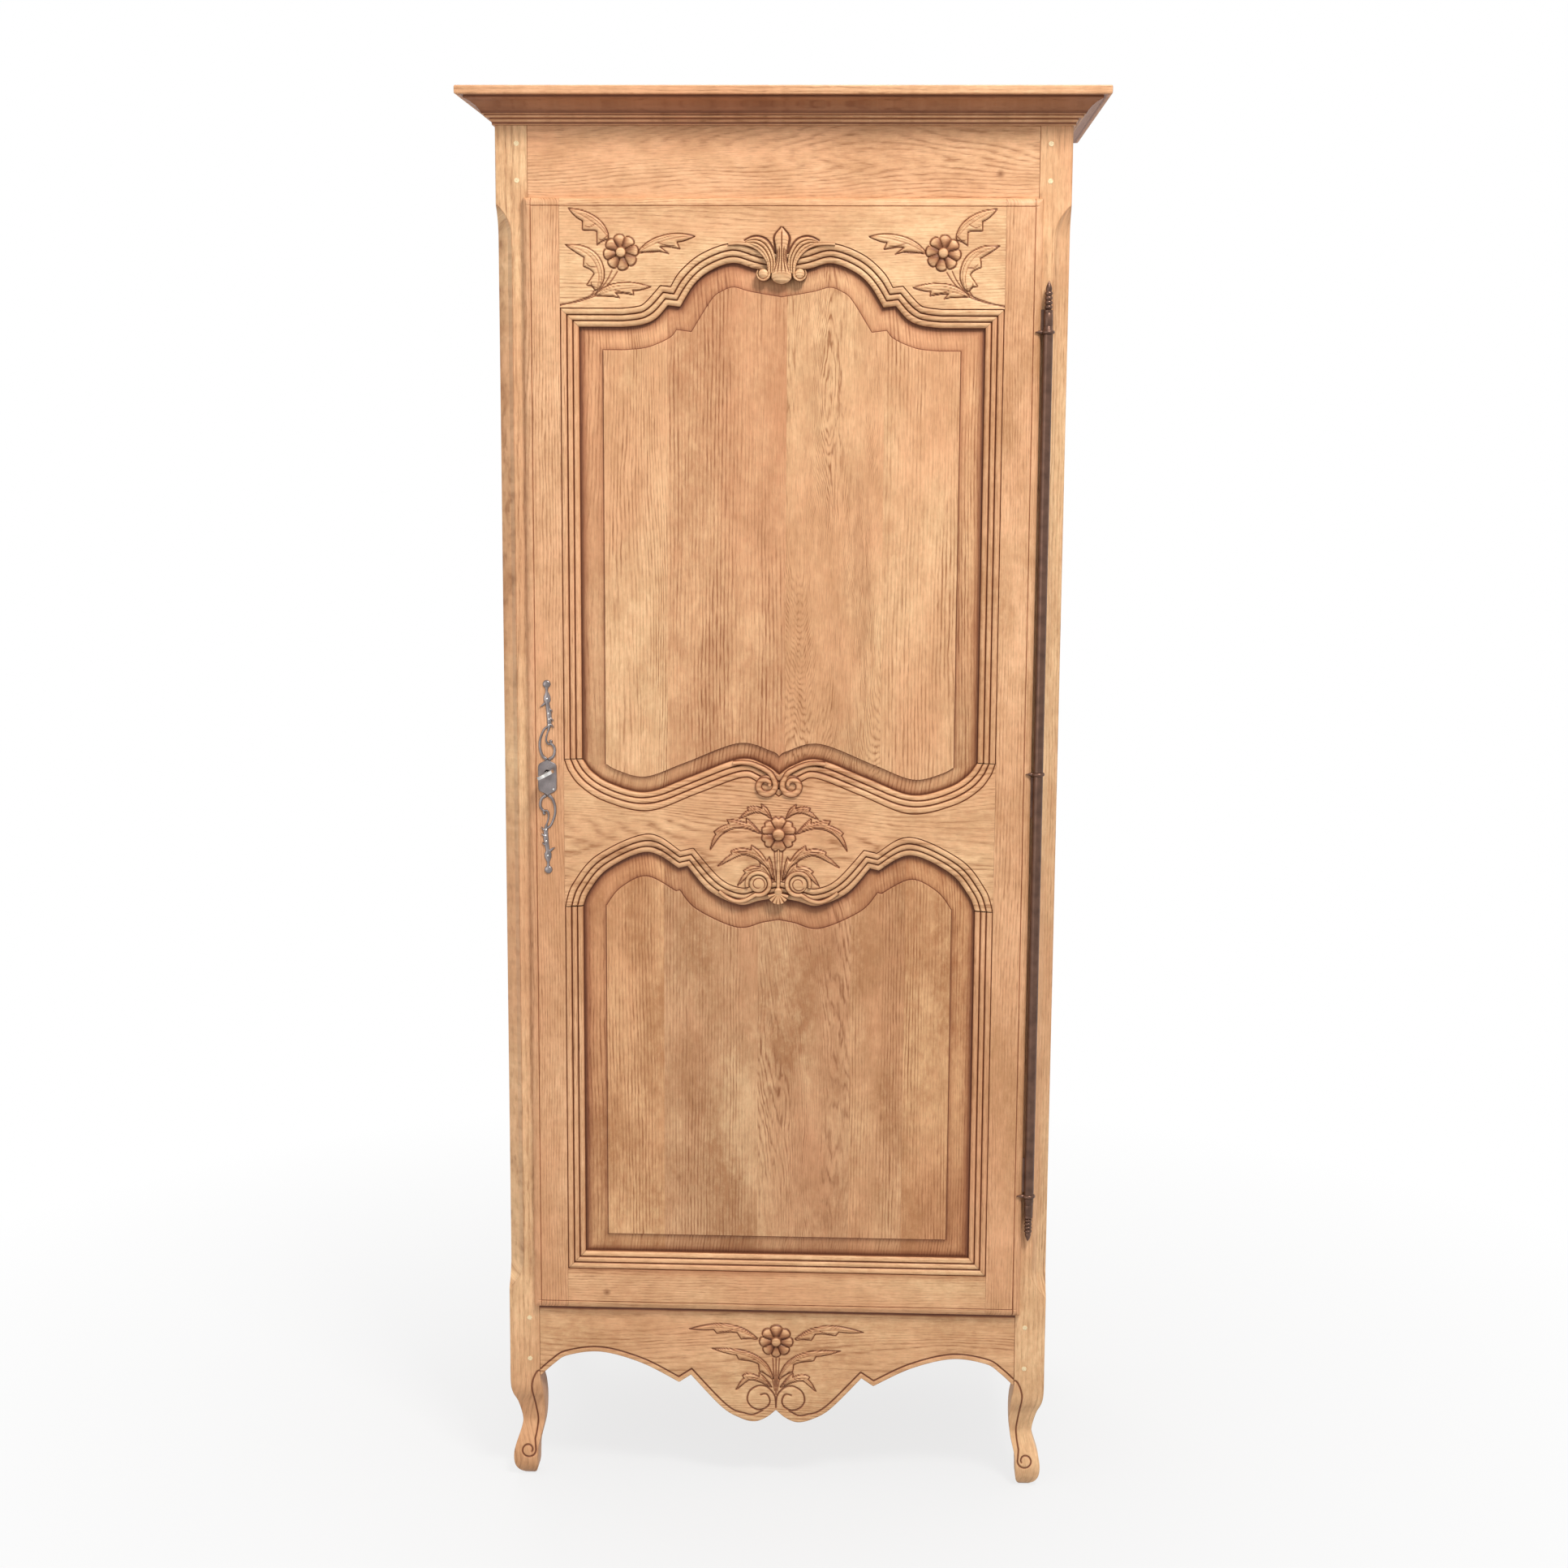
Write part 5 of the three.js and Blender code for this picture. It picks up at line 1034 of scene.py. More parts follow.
def stile(name, side):
    """An upright of the door. The rounded edge with its quirk runs round its outside and both ends."""
    curve = lip_curve()
    reach_in, falls, waxes = (np.array(part) for part in zip(*curve))
    edge = [(LIP_HALF - inward, FACE + fall, wax) for inward, fall, wax in curve[::-1]]
    behind_lip, in_opening = FRONT - LIP_GAP, OPENING_HALF - DOOR_GAP
    section = [(SHOULDER, FACE, 0), *edge, (LIP_HALF, behind_lip, 0), (in_opening, behind_lip, 0),
               (in_opening, DOOR_BACK, 0), (SHOULDER, DOOR_BACK, 0)]
    clear = reach_in[-1] + QUIRK_CLEAR
    run_up = np.linspace(LIP_FOOT + clear, LIP_TOP - clear, 40)
    zs = np.concatenate([LIP_FOOT + reach_in, run_up, (LIP_TOP - reach_in)[::-1]])
    from_end = np.minimum(zs - LIP_FOOT, LIP_TOP - zs)
    end_fall, end_wax = np.interp(from_end, reach_in, falls), np.interp(from_end, reach_in, waxes)
    rows, wax_and_shade = [], []
    for x, y, wax in section:
        in_front = y < FRONT - 2 * LIP_GAP
        depth = np.maximum(y, FACE + end_fall * in_front)
        rows.append(np.stack([np.full(len(zs), side * x), depth, zs], axis=1))
        meets = in_front and x <= LIP_HALF - reach_in[-3]
        wax_and_shade.append(np.maximum(wax, end_wax * meets))
    body = skin(name, np.array(rows), np.array(wax_and_shade))
    mitre = MOULDING - MITRE_GAP
    upper = stile_moulding(name + "_upper", side, (UPPER_BUTT + BUTT_GAP, 0), (TOP_SIGHT + mitre, -1))
    lower = stile_moulding(name + "_lower", side, (FOOT_SIGHT - mitre, 1), (LOWER_BUTT - BUTT_GAP, 0))
    return joined(name, [body, upper, lower])


# Panels: the tongue in its groove, the bevel round the field, and the field with its small step

TONGUE_REACH = 11
TONGUE_THICK = 8
TONGUE_DEEP, FIELD_DEEP = 12, 5
TONGUE_FRONT, FIELD_FRONT = FACE + TONGUE_DEEP, FACE + FIELD_DEEP
FIELD_SIDE = 34
BEVEL_RISE = 4.5
STEP_FOOT = 2.6
STEP_HEAD = 0.7
# Width of the bevel at the top and at the foot
UPPER_BEVEL = (32, 22)
LOWER_BEVEL = (32, 28)
# Side panels: inset as a share of the bevel, share of the thickness behind the face, and patina
SIDE_BEVEL = 45
SIDE_STEP_SHARES = [
    (0, 1, 0), (0, 0.45, 0), (0.2, 0.45, 1), (0.267, 0.45, 0.6), (0.356, 0.42, 0.2), (0.667, 0.3, 0.06),
    (0.933, 0.2, 0.2), (0.956, 0.19, 0.9), (0.969, 0.04, 0.4), (1, 0, 0),
]
# Back boards: inset and fall as shares of the eased edge, and patina
EASED_EDGE = 3
EASED_SHARES = [(0, 1, 1), (0.6, 0.267, 0.7), (1, 0, 0.2), (2.667, 0, 0)]
NAIL_INSET = 22
NAIL_RADIUS = 4.2
NAIL_PROUD = 1.8
NAIL_SUNK = 0.8


def ring(upper, lower, y):
    return row_at(np.concatenate([lower, upper[::-1]]), y)[0]


def panel(name, top, foot, bevel):
    """A fielded panel of the door. bevel is the width of its bevel at the top and at the foot."""
    top_margin, foot_margin = bevel
    def loop(inset_share, y):
        half = SIGHT_HALF - inset_share * FIELD_SIDE
        upper = edge_line(top, -inset_share * top_margin, half)
        lower = edge_line(foot, inset_share * foot_margin, half)
        return ring(upper, lower, y)
    def tongue(y):
        half = SIGHT_HALF + TONGUE_REACH
        return ring(edge_line(top, TONGUE_REACH, half), edge_line(foot, -TONGUE_REACH, half), y)
    loops = [(tongue(TONGUE_FRONT + TONGUE_THICK), 0), (tongue(TONGUE_FRONT), 0)]
    loops.append((loop(0, TONGUE_FRONT), 1))
    for share in (0.06, 0.15, 0.35, 0.6, 0.85, 0.95):
        # the bevel is painted darker next to the moulding's sight line, painted shade under the moulding,
        # and a little darker all over
        dark = 0.75 * (1 - share) ** 6 + 0.3 * share ** 8 + 0.12
        loops.append((loop(share, TONGUE_FRONT - BEVEL_RISE * share), dark))
    # a dark line at the foot of the field's step: painted shadow of the step
    for share, deep, dark in ((1, STEP_FOOT, 0.85), (1, STEP_HEAD, 0.25), (1.02, 0, 0)):
        loops.append((loop(share, FIELD_FRONT + deep), dark))
    points = np.array([points for points, _ in loops]).transpose(1, 0, 2)
    wax_and_shade = np.array([np.full(points.shape[0], dark) for _, dark in loops]).T
    return skin(name, points, wax_and_shade, angle=30)


def box_loop(corners):
    """Points round four corners, each corner kept."""
    sides = [np.linspace(corners[k], corners[(k + 1) % 4], 20, endpoint=False) for k in range(4)]
    return np.concatenate(sides)


def stepped_board(name, node_name, across, steps):
    """A board with steps round its edge. steps are inset, place through the board, and patina."""
    columns = []
    for inset, through, _ in steps:
        (a0, a1), (z0, z1) = [(low(node_name, k) + inset, high(node_name, k) - inset) for k in (across, 2)]
        corners = np.full((4, 3), float(through))
        corners[:, across] = a0, a1, a1, a0
        corners[:, 2] = z0, z0, z1, z1
        columns.append(box_loop(corners))
    points = np.array(columns).transpose(1, 0, 2)
    wax_and_shade = np.tile(np.array([dark for _, _, dark in steps]), (len(points), 1))
    return skin(name, points, wax_and_shade, angle=30)


def side_panel(node_name, side):
    """A fielded panel of a side, in its rails' grooves: bevelled round the edge, flat in the middle."""
    inner, outer = (low, high) if side > 0 else (high, low)
    back, face = inner(node_name, 0), outer(node_name, 0)
    steps = [
        (inset * SIDE_BEVEL, face + (back - face) * share, dark) for inset, share, dark in SIDE_STEP_SHARES
    ]
    return stepped_board("fielded_" + node_name, node_name, 1, steps)


def back_board(node_name):
    """A plain board of the back with eased edges, so that the joints show."""
    outer = high(node_name, 1)
    eased = [(inset * EASED_EDGE, outer - fall * EASED_EDGE, dark) for inset, fall, dark in EASED_SHARES]
    return stepped_board("eased_" + node_name, node_name, 0, [(0, low(node_name, 1), 0), *eased])


def nail_heads():
    """Forged nails at both ends of the back boards."""
    pieces = []
    for board in (1, 2, 3):
        key = "back_board_%d" % board
        left, right, outer = low(key, 0), high(key, 0), high(key, 1) - RAIL_GAP
        for share in (0.2, 0.8):
            for z in (low(key, 2) + NAIL_INSET, high(key, 2) - NAIL_INSET):
                spot = (left + share * (right - left), z)
                nail = dome("nail", spot, NAIL_RADIUS, -NAIL_PROUD, outer, back=-NAIL_SUNK, steps=10)
                pieces.append(nail)
    return joined("back_board_nails", pieces)


# Apron

# The softened lower edge: share back from the face, share up from the edge, and patina
SOFT_EDGE = 1.2
SOFT_EDGE_SHARES = [(0, 1, 0.05), (0.333, 0.25, 0.3), (1.083, 0, 0.5)]


def apron(relief):
    line = edge_line(APRON, 0, OPENING_HALF)
    xs = columns_between(-OPENING_HALF + BUTT_GAP, OPENING_HALF - BUTT_GAP)
    foot = np.interp(xs, line[:, 0], line[:, 1])
    top = np.array([row(xs, RAIL_BACK, OPENING_FOOT), row(xs, FRONT, OPENING_FOOT)])
    face = flat_rows(xs, np.full(len(xs), OPENING_FOOT), foot + SOFT_EDGE, 118)
    face[..., 1] = FRONT
    edge = [row(xs, FRONT + back * SOFT_EDGE, foot + up * SOFT_EDGE) for back, up, _ in SOFT_EDGE_SHARES]
    rows = np.concatenate([top, face, edge, [row(xs, RAIL_BACK, foot)]])
    wax_and_shade = np.zeros(rows.shape[:2])
    wax_and_shade[-4:-1] = [[dark] for _, _, dark in SOFT_EDGE_SHARES]
    rows, wax_and_shade = carve(rows, wax_and_shade, relief, slice(2, 2 + len(face)))
    return skin("carved_apron", rows, wax_and_shade)


# Posts with scroll feet

FOOT_OUTER_SHARES = [
    (1, 0.95), (1, 0.755), (0.94, 0.665), (0.78, 0.575), (0.655, 0.45), (0.68, 0.375), (0.87, 0.24),
    (0.93, 0.165), (0.9, 0.09), (0.78, 0.035), (0.6, 0),
]
FOOT_INNER_SHARES = [
    (0, 0.95), (0, 0.79), (-0.08, 0.68), (-0.11, 0.56), (-0.07, 0.4), (0.09, 0.24), (0.115, 0.16),
    (0.13, 0.07), (0.19, 0.02), (0.25, 0),
]
FOOT_RISE = 200
# Cut lines on the feet: the apron's groove runs on down the foot to a small volute
FOOT_GROOVE_SHARES = [
    (0.0025, 0.85), (0.0275, 0.835), (0.055, 0.775), (0.065, 0.71), (0.0525, 0.615), (0.04, 0.525),
    (0.03, 0.435), (0.0375, 0.35), (0.05, 0.285),
]
FOOT_VOLUTE_SHARES = [(0.0975, 0.205)]
FOOT_VOLUTE_RADIUS = 11
# The mortise of the lock's bolt: how deep it goes and the room round the bolt
BOLT_POCKET = 12
BOLT_ROOM = 0.8
# The stopped chamfer: where it starts and ends, and the height over which it runs out
CHAMFER_CLEAR, CHAMFER_PAST = 15, 4
CHAMFER_FOOT = OPENING_FOOT + CHAMFER_CLEAR
CHAMFER_TOP = OPENING_TOP + CHAMFER_PAST
CHAMFER_STOP = 46
CHAMFER_EDGE = 1
ARRIS = 0.6
# Heights of the post's points: close on the foot, and counted from the chamfer's two ends
FOOT_STEP = 1.3
FOOT_END = 212
ABOVE_FOOT = [240, 270]
START_RUN, MIDDLE_RUN, END_RUN = (-5, 55), (75, -64), (-54, 4)
ABOVE_DOOR = 1930


def foot_carving(x, z):
    ground = Ground(x, z)
    corner = (OPENING_HALF, 0)
    centre = spots(FOOT_VOLUTE_SHARES, corner, FOOT_RISE)[0]
    volute = spiral(centre, FOOT_VOLUTE_RADIUS, 0.5, 165, 400, 60, 1.5)
    groove = smooth(spots(FOOT_GROOVE_SHARES, corner, FOOT_RISE), 8)
    incise(ground, np.vstack([groove, volute]), *GROOVE_CUT)
    return ground.result()


def foot_edge(shares, zs):
    line = smooth([(across, up * FOOT_RISE) for across, up in shares], 10)
    order = np.argsort(line[:, 1])
    return np.interp(zs, line[order, 1], line[order, 0]) * POST_SIDE


def cut_pocket(piece, near_corner, far_corner):
    """Cuts a box-shaped pocket into a piece."""
    near, far = Vector(near_corner) * MM, Vector(far_corner) * MM
    ready()
    bpy.ops.mesh.primitive_cube_add(size=1, location=(near + far) / 2)
    cutter = bpy.context.active_object
    cutter.scale = far - near
    bpy.context.view_layer.update()
    modifier = piece.modifiers.new("pocket", "BOOLEAN")
    modifier.operation = "DIFFERENCE"
    modifier.solver = "EXACT"
    modifier.object = cutter
    ready()
    piece.select_set(True)
    bpy.context.view_layer.objects.active = piece
    bpy.ops.object.modifier_apply(modifier=modifier.name)
    bpy.data.meshes.remove(cutter.data)


def bolt_mortise(piece):
    """The pocket that takes the end of the lock's bolt."""
    near = [low("lock_bolt", k) - BOLT_ROOM for k in (1, 2)]
    far = [high("lock_bolt", k) + BOLT_ROOM for k in (1, 2)]
    cut_pocket(piece, (-OPENING_HALF - BOLT_POCKET, *near), (-OPENING_HALF + DOOR_GAP / 2, *far))


def ramp(zs):
    """Width of the stopped chamfer at each height: it runs out on a curve at both ends."""
    run = np.minimum(zs - CHAMFER_FOOT, CHAMFER_TOP - zs) / CHAMFER_STOP
    return sizes().chamfer_width / MM * (1 - (1 - np.clip(run, 0, 1)) ** 2.2)


def post_levels():
    """Heights of the post's points: close on the foot and where the chamfer runs out."""
    foot = np.arange(0, FOOT_END, FOOT_STEP)
    start = np.linspace(*around(CHAMFER_FOOT, START_RUN), 40)
    middle = np.linspace(CHAMFER_FOOT + MIDDLE_RUN[0], CHAMFER_TOP + MIDDLE_RUN[1], 30)
    end = np.linspace(*around(CHAMFER_TOP, END_RUN), 40)
    return np.concatenate([foot, ABOVE_FOOT, start, middle, end, [ABOVE_DOOR, CASE_TOP]])


def post(name, side, relief):
    """A front post: square, with its scroll foot, the stopped chamfer and the lines cut on the foot."""
    zs = post_levels()
    outer, inner, cut = foot_edge(FOOT_OUTER_SHARES, zs), foot_edge(FOOT_INNER_SHARES, zs), ramp(zs)
    rows, carved = [], []
    def put(xs, ys, on_face=False):
        rows.append(np.stack([side * (OPENING_HALF + xs), ys, zs], axis=1))
        carved.append(on_face)
    y_face, y_rear = FRONT + POST_SIDE - outer, FRONT + POST_SIDE - inner
    put(inner + ARRIS, y_face)
    for share in np.linspace(0, 1, 36):
        put(inner + ARRIS + (outer - cut - inner - ARRIS - CHAMFER_EDGE) * share, y_face, True)
    for turn in np.radians(np.linspace(0, 90, 12)):
        hollow = 0.32 * cut * math.sin(2 * turn)
        across, deep = cut * (1 - math.cos(turn)) + hollow, cut * (1 - math.sin(turn)) + hollow
        put(outer - across, y_face + CHAMFER_EDGE * (cut < CHAMFER_EDGE) + deep)
    below_cut = y_face + cut + CHAMFER_EDGE
    for share in np.linspace(0.05, 0.98, 6):
        put(outer, below_cut + (y_rear - below_cut) * share)
    for share in np.linspace(0.02, 0.98, 4):
        put(outer + (inner - outer) * share, y_rear)
    for share in np.linspace(0.02, 0.98, 4):
        put(inner, y_rear + (y_face + ARRIS - y_rear) * share)
    rows = np.array(rows)
    wax_and_shade = np.zeros(rows.shape[:2])
    front_rows = np.nonzero(carved)[0]
    proud, dark = relief(np.abs(rows[front_rows][..., 0]), rows[front_rows][..., 2])
    rows[front_rows, :, 1] -= proud
    wax_and_shade[front_rows] = dark
    return skin(name, rows, wax_and_shade, angle=50)


# Cornice: shares of its rise, out from the case and up from its foot

CORNICE_RISE = 48
CORNICE_BACK = 38
CORNICE_STEP_SHARES = [
    (0, 0), (0.071, 0), (0.071, 0.0625), (0.094, 0.104), (0.131, 0.135), (0.131, 0.179), (0.25, 0.2),
    (0.267, 0.229), (0.267, 0.271), (0.325, 0.292),
]
CORNICE_COVE_SHARES = [
    (0.333, 0.304), (0.385, 0.396), (0.479, 0.5), (0.604, 0.594), (0.729, 0.658), (0.779, 0.679),
]
CORNICE_CROWN_SHARES = [
    (0.779, 0.746), (0.971, 0.75), (0.996, 0.771), (1, 0.833), (1, 0.958), (0.983, 0.992), (0.9375, 1),
]


def cornice_section():
    shares = CORNICE_STEP_SHARES + CORNICE_COVE_SHARES + CORNICE_CROWN_SHARES
    return np.array(shares) * CORNICE_RISE


def cornice(name, place):
    """place turns a projection, a height and an end, 0 or 1, into a point."""
    base = CASE_TOP + BUTT_GAP
    section = np.vstack([[-CORNICE_BACK, 0], cornice_section(), [-CORNICE_BACK, CORNICE_RISE]])
    shares = np.linspace(0, 1, 40)
    rows = []
    for out, up in section:
        start, end = np.array(place(out, base + up, 0)), np.array(place(out, base + up, 1))
        rows.append(start + (end - start) * shares[:, None])
    # dark lines in the inner corners of the steps, partly old wax and partly painted shadow; painted shade
    # lies thinly over the cove, where it faces down, and thick under the crown's overhang
    dark = np.zeros((len(rows), 40))
    for k in (3, 6, 9, 11):
        dark[k] = 0.7
    dark[12:18] = 0.42
    dark[17] = 0.8
    return skin(name, np.array(rows), dark, angle=25)


# Ironwork

# Rings of the hinge, and the forged tips that reach over the door's lip
COLLAR_RISE = 5.8
TIP_START, TIP_LENGTH = 4, 14
TIP_HALF_WIDTHS = [2.4, 2.2, 2.6, 1.2, 0.3]
TIP_PROUD, TIP_SUNK = 2.4, 0.6
# Straps: half their thickness, how far they lie behind the pin, and how far they go in
STRAP_HALF = 1.2
STRAP_BEHIND = 4
STRAP_IN = 10
# Both ends of each strap, counted from the joint of the two lengths beside it
TOP_STRAP = (2, 34)
MIDDLE_STRAP = (6, 60)
HANGING_STRAP = (-66, -8)
FOOT_STRAP = (8, 60)
LAST_STRAP = (-40, -8)
TOP_TIP = 3
LOWER_TUBE_ENDS = (5.5, -5.9)
MIDDLE_COLLAR = -6


def turned(name, profile):
    """A piece turned about the hinge's pin. profile is radius and height."""
    turns = np.linspace(0, 2 * math.pi, 40, endpoint=False)
    rows = np.array([
        [(HINGE_X + r * math.cos(t), HINGE_Y + r * math.sin(t), z) for r, z in profile] for t in turns
    ])
    return skin(name, rows, angle=50)


def bar(name, width_range, depth_range, height_range):
    """A flat strap of iron."""
    (x0, x1), (y0, y1), (z0, z1) = width_range, depth_range, height_range
    corners = [(x0, y0), (x1, y0), (x1, y1), (x0, y1)]
    rows = np.array([[(x, y, z) for z in np.linspace(z0, z1, 8)] for x, y in corners])
    return skin(name, rows)


# A finial from its collar to its point: shares of the barrel's radius and of the finial's length
COLLAR_SHARES = [(1.0, 0), (1.24, 0.012), (1.34, 0.03), (1.34, 0.05), (1.24, 0.068), (1.02, 0.08)]
SLEEVE_SHARES = [
    (0.9, 0.1), (0.9, 0.14), (0.82, 0.15), (0.9, 0.165), (0.88, 0.39), (0.8, 0.4), (0.88, 0.415),
    (0.88, 0.45), (0.6, 0.46),
]
BEAD_SHARES = [(0.54, 0), (0.7, 0.01), (0.79, 0.03), (0.79, 0.046), (0.7, 0.066), (0.54, 0.078)]
BEADS = 4
POINT_SHARES = [(0.6, 0.83), (0.64, 0.85), (0.5, 0.9), (0.26, 0.96), (0.03, 1.0)]


def finial(name, root, reach_up, with_collar):
    beads = [(r, 0.47 + 0.085 * k + up) for k in range(BEADS) for r, up in BEAD_SHARES]
    start = COLLAR_SHARES if with_collar else [(1.0, 0), (1.0, 0.08)]
    shares = start + SLEEVE_SHARES + beads + POINT_SHARES
    radius = sizes().hinge_radius / MM
    return turned(name, [(r * radius, root + up * reach_up) for r, up in shares])


def collar(name, height):
    """A ring of the hinge with the pointed end of its strap laid over the door's lip."""
    radius = sizes().hinge_radius / MM
    rounds = [(r * radius, height + up / COLLAR_SHARES[-1][1] * COLLAR_RISE) for r, up in COLLAR_SHARES]
    tip = strap_tip(name + "_tip", height + COLLAR_RISE / 2)
    return [turned(name, rounds), tip]


def strap_tip(name, height):
    """A small forged point that reaches over the door's lip."""
    start = HINGE_X - TIP_START
    line = np.array([(start - TIP_LENGTH * share, height) for share in np.linspace(0, 1, 12)])
    return strand(name, line, TIP_HALF_WIDTHS, TIP_PROUD, FACE - RAIL_GAP, TIP_SUNK)


def barrel(name, low_end, high_end):
    radius = sizes().hinge_radius / MM
    heights = np.linspace(low_end, high_end, 12)
    return turned(name, [(radius, z) for z in heights])


def hinge_pieces():
    """The four turned lengths of the long hinge, each with the straps that hold it."""
    top, foot = low("hinge_top_knuckle", 2), high("hinge_bottom_knuckle", 2)
    middle = low("hinge_upper_barrel", 2)
    door_x, post_x = (LIP_HALF - STRAP_IN, HINGE_X), around(HINGE_X, (-STRAP_HALF, STRAP_HALF))
    door_y, post_y = around(HINGE_Y + STRAP_BEHIND, (-STRAP_HALF, STRAP_HALF)), (HINGE_Y, FRONT + STRAP_IN)
    knuckle = [finial("hinge_top_finial", top, high("hinge_top_knuckle", 2) - top, True),
               strap_tip("top_tip", top + TOP_TIP), bar("strap", door_x, door_y, around(top, TOP_STRAP))]
    upper = [barrel("hinge_upper_tube", middle, top - BUTT_GAP),
             bar("strap", post_x, post_y, around(middle, MIDDLE_STRAP)),
             bar("strap", post_x, post_y, around(top, HANGING_STRAP))]
    lower = [barrel("hinge_lower_tube", foot + LOWER_TUBE_ENDS[0], middle + LOWER_TUBE_ENDS[1]),
             *collar("collar", middle + MIDDLE_COLLAR), *collar("collar", foot + BUTT_GAP),
             bar("strap", door_x, door_y, around(middle, HANGING_STRAP)),
             bar("strap", door_x, door_y, around(foot, FOOT_STRAP))]
    end = low("hinge_bottom_knuckle", 2)
    lowest = [finial("hinge_bottom_finial", foot - RAIL_GAP, end - foot, False),
              bar("strap", post_x, post_y, around(foot, LAST_STRAP))]
    return {"hinge_top_knuckle": (knuckle, "door"), "hinge_upper_barrel": (upper, "case"),
            "hinge_lower_barrel": (lower, "door"), "hinge_bottom_knuckle": (lowest, "case")}


# The upper end of the escutcheon. Each strap's points lie at shares of a unit across and shares of the
# half height up, with shares of the unit for its half widths. The lower end is the same turned half round
PLATE_UNIT = 10
ESCUTCHEON_SHARES = [
    ([(0.24, 0.49), (0.33, 0.56), (0.3, 0.65), (0.14, 0.73), (0.05, 0.775)],
     [0.16, 0.32, 0.38, 0.32, 0.22]),
    ([(0.06, 0.75), (0.05, 0.79), (0.04, 0.83), (0.01, 0.88)], [0.2, 0.52, 0.5, 0.18]),
    ([(0.01, 0.87), (0.0, 0.9), (0.0, 0.935)], [0.18, 0.2, 0.28]),
    ([(0.2, 0.53), (-0.45, 0.49), (-1.0, 0.39), (-1.04, 0.3), (-0.7, 0.225), (-0.15, 0.185)],
     [0.15, 0.17, 0.18, 0.19, 0.21, 0.26]),
    ([(0.42, 0.53), (0.02, 0.45), (-0.14, 0.39), (0.12, 0.345), (0.6, 0.345), (1.06, 0.3),
      (0.92, 0.225), (0.25, 0.185)],
     [0.14, 0.13, 0.13, 0.14, 0.18, 0.2, 0.21, 0.26]),
    ([(0.6, 0.345), (0.56, 0.375), (0.32, 0.372)], [0.17, 0.19, 0.12]),
    ([(-0.2, 0.765), (-0.6, 0.742), (-1.0, 0.724)], [0.24, 0.15, 0.03]),
    ([(0.4, 0.612), (0.7, 0.6), (0.96, 0.58)], [0.2, 0.13, 0.03]),
    ([(0.4, 0.548), (0.7, 0.536), (0.96, 0.512)], [0.2, 0.13, 0.03]),
    ([(0.4, 0.7), (0.64, 0.692), (0.84, 0.672)], [0.18, 0.11, 0.03]),
]
RIVET_SHARES = [(0.04, 0.81), (0.24, 0.66), (0.32, 0.6), (0.28, 0.54)]
LONE_RIVET_SHARES = (0.86, -1.7)
RIVET_RADIUS, RIVET_PROUD = 1.5, 0.9
LONE_RIVET_PROUD = 0.8
RIVET_SUNK = 0.6
KNOB_SHARES = (0, 0.958)
KNOB_RADIUS, KNOB_PROUD = 5.8, 2.6
STRAP_PROUD, STRAP_SUNK = 2.0, 0.5
# The plate: its outline from the top round to the right, its bevels, and the keyhole
PLATE_SHARES = [(0, 2.74), (0.16, 2.56), (0.5, 2.34), (1.05, 2.06), (1.3, 1.76), (1.35, 1.45)]
PLATE_PROUD, PLATE_SUNK = 2.2, 0.2
PLATE_BEVEL = 0.9
HOLE_RADIUS = 4.1
HOLE_BEVEL, HOLE_FALL = 0.8, 0.6
HOLE_SKIN = 0.1


def plate_with_hole(name, hole):
    """The middle plate of the escutcheon: shouldered at both ends, bevelled, with a round keyhole."""
    corner = smooth(PLATE_SHARES, 6) * PLATE_UNIT
    right = np.vstack([corner, (corner * (1, -1))[::-1]])
    outline = even(np.vstack([right, (right * (-1, 1))[::-1][1:]]), 96)[:-1]
    turns = np.arctan2(outline[:, 1] - hole, outline[:, 0])
    ring_of = np.stack([np.cos(turns), np.sin(turns)], axis=1)
    front, sunk = FACE - PLATE_PROUD, FACE + PLATE_SUNK
    columns = []
    for inset, y in ((0, sunk), (0, front + PLATE_BEVEL), (PLATE_BEVEL, front), (PLATE_BEVEL, front)):
        columns.append((outline * (1 - inset / np.linalg.norm(outline, axis=1))[:, None], y))
    for wider, y in ((HOLE_BEVEL, front), (0, front + HOLE_FALL), (0, sunk)):
        columns.append((ring_of * (HOLE_RADIUS + wider) + (0, hole), y))
    columns.append(columns[0])
    points = np.array([row_at(flat + (KEY_X, PLATE_Z), y)[0] for flat, y in columns])
    return skin(name, points.transpose(1, 0, 2), None, angle=35)


def escutcheon():
    reach_up = (high("escutcheon", 2) - low("escutcheon", 2)) / 2
    pieces = [plate_with_hole("plate", KEY_Z - PLATE_Z)]
    for turn in (1, -1):
        def put(x, up):
            return KEY_X + turn * x, PLATE_Z + turn * up * reach_up
        for line, widths in ESCUTCHEON_SHARES:
            path = smooth([put(x * PLATE_UNIT, up) for x, up in line], 8)
            widths = np.array(widths) * PLATE_UNIT
            pieces.append(strand("strap_end", path, widths, STRAP_PROUD, FACE - BUTT_GAP, STRAP_SUNK))
        knob = put(*KNOB_SHARES)
        pieces.append(dome("knob", knob, KNOB_RADIUS, KNOB_PROUD, FACE - BUTT_GAP, back=STRAP_SUNK))
    return joined("pierced_escutcheon", pieces)


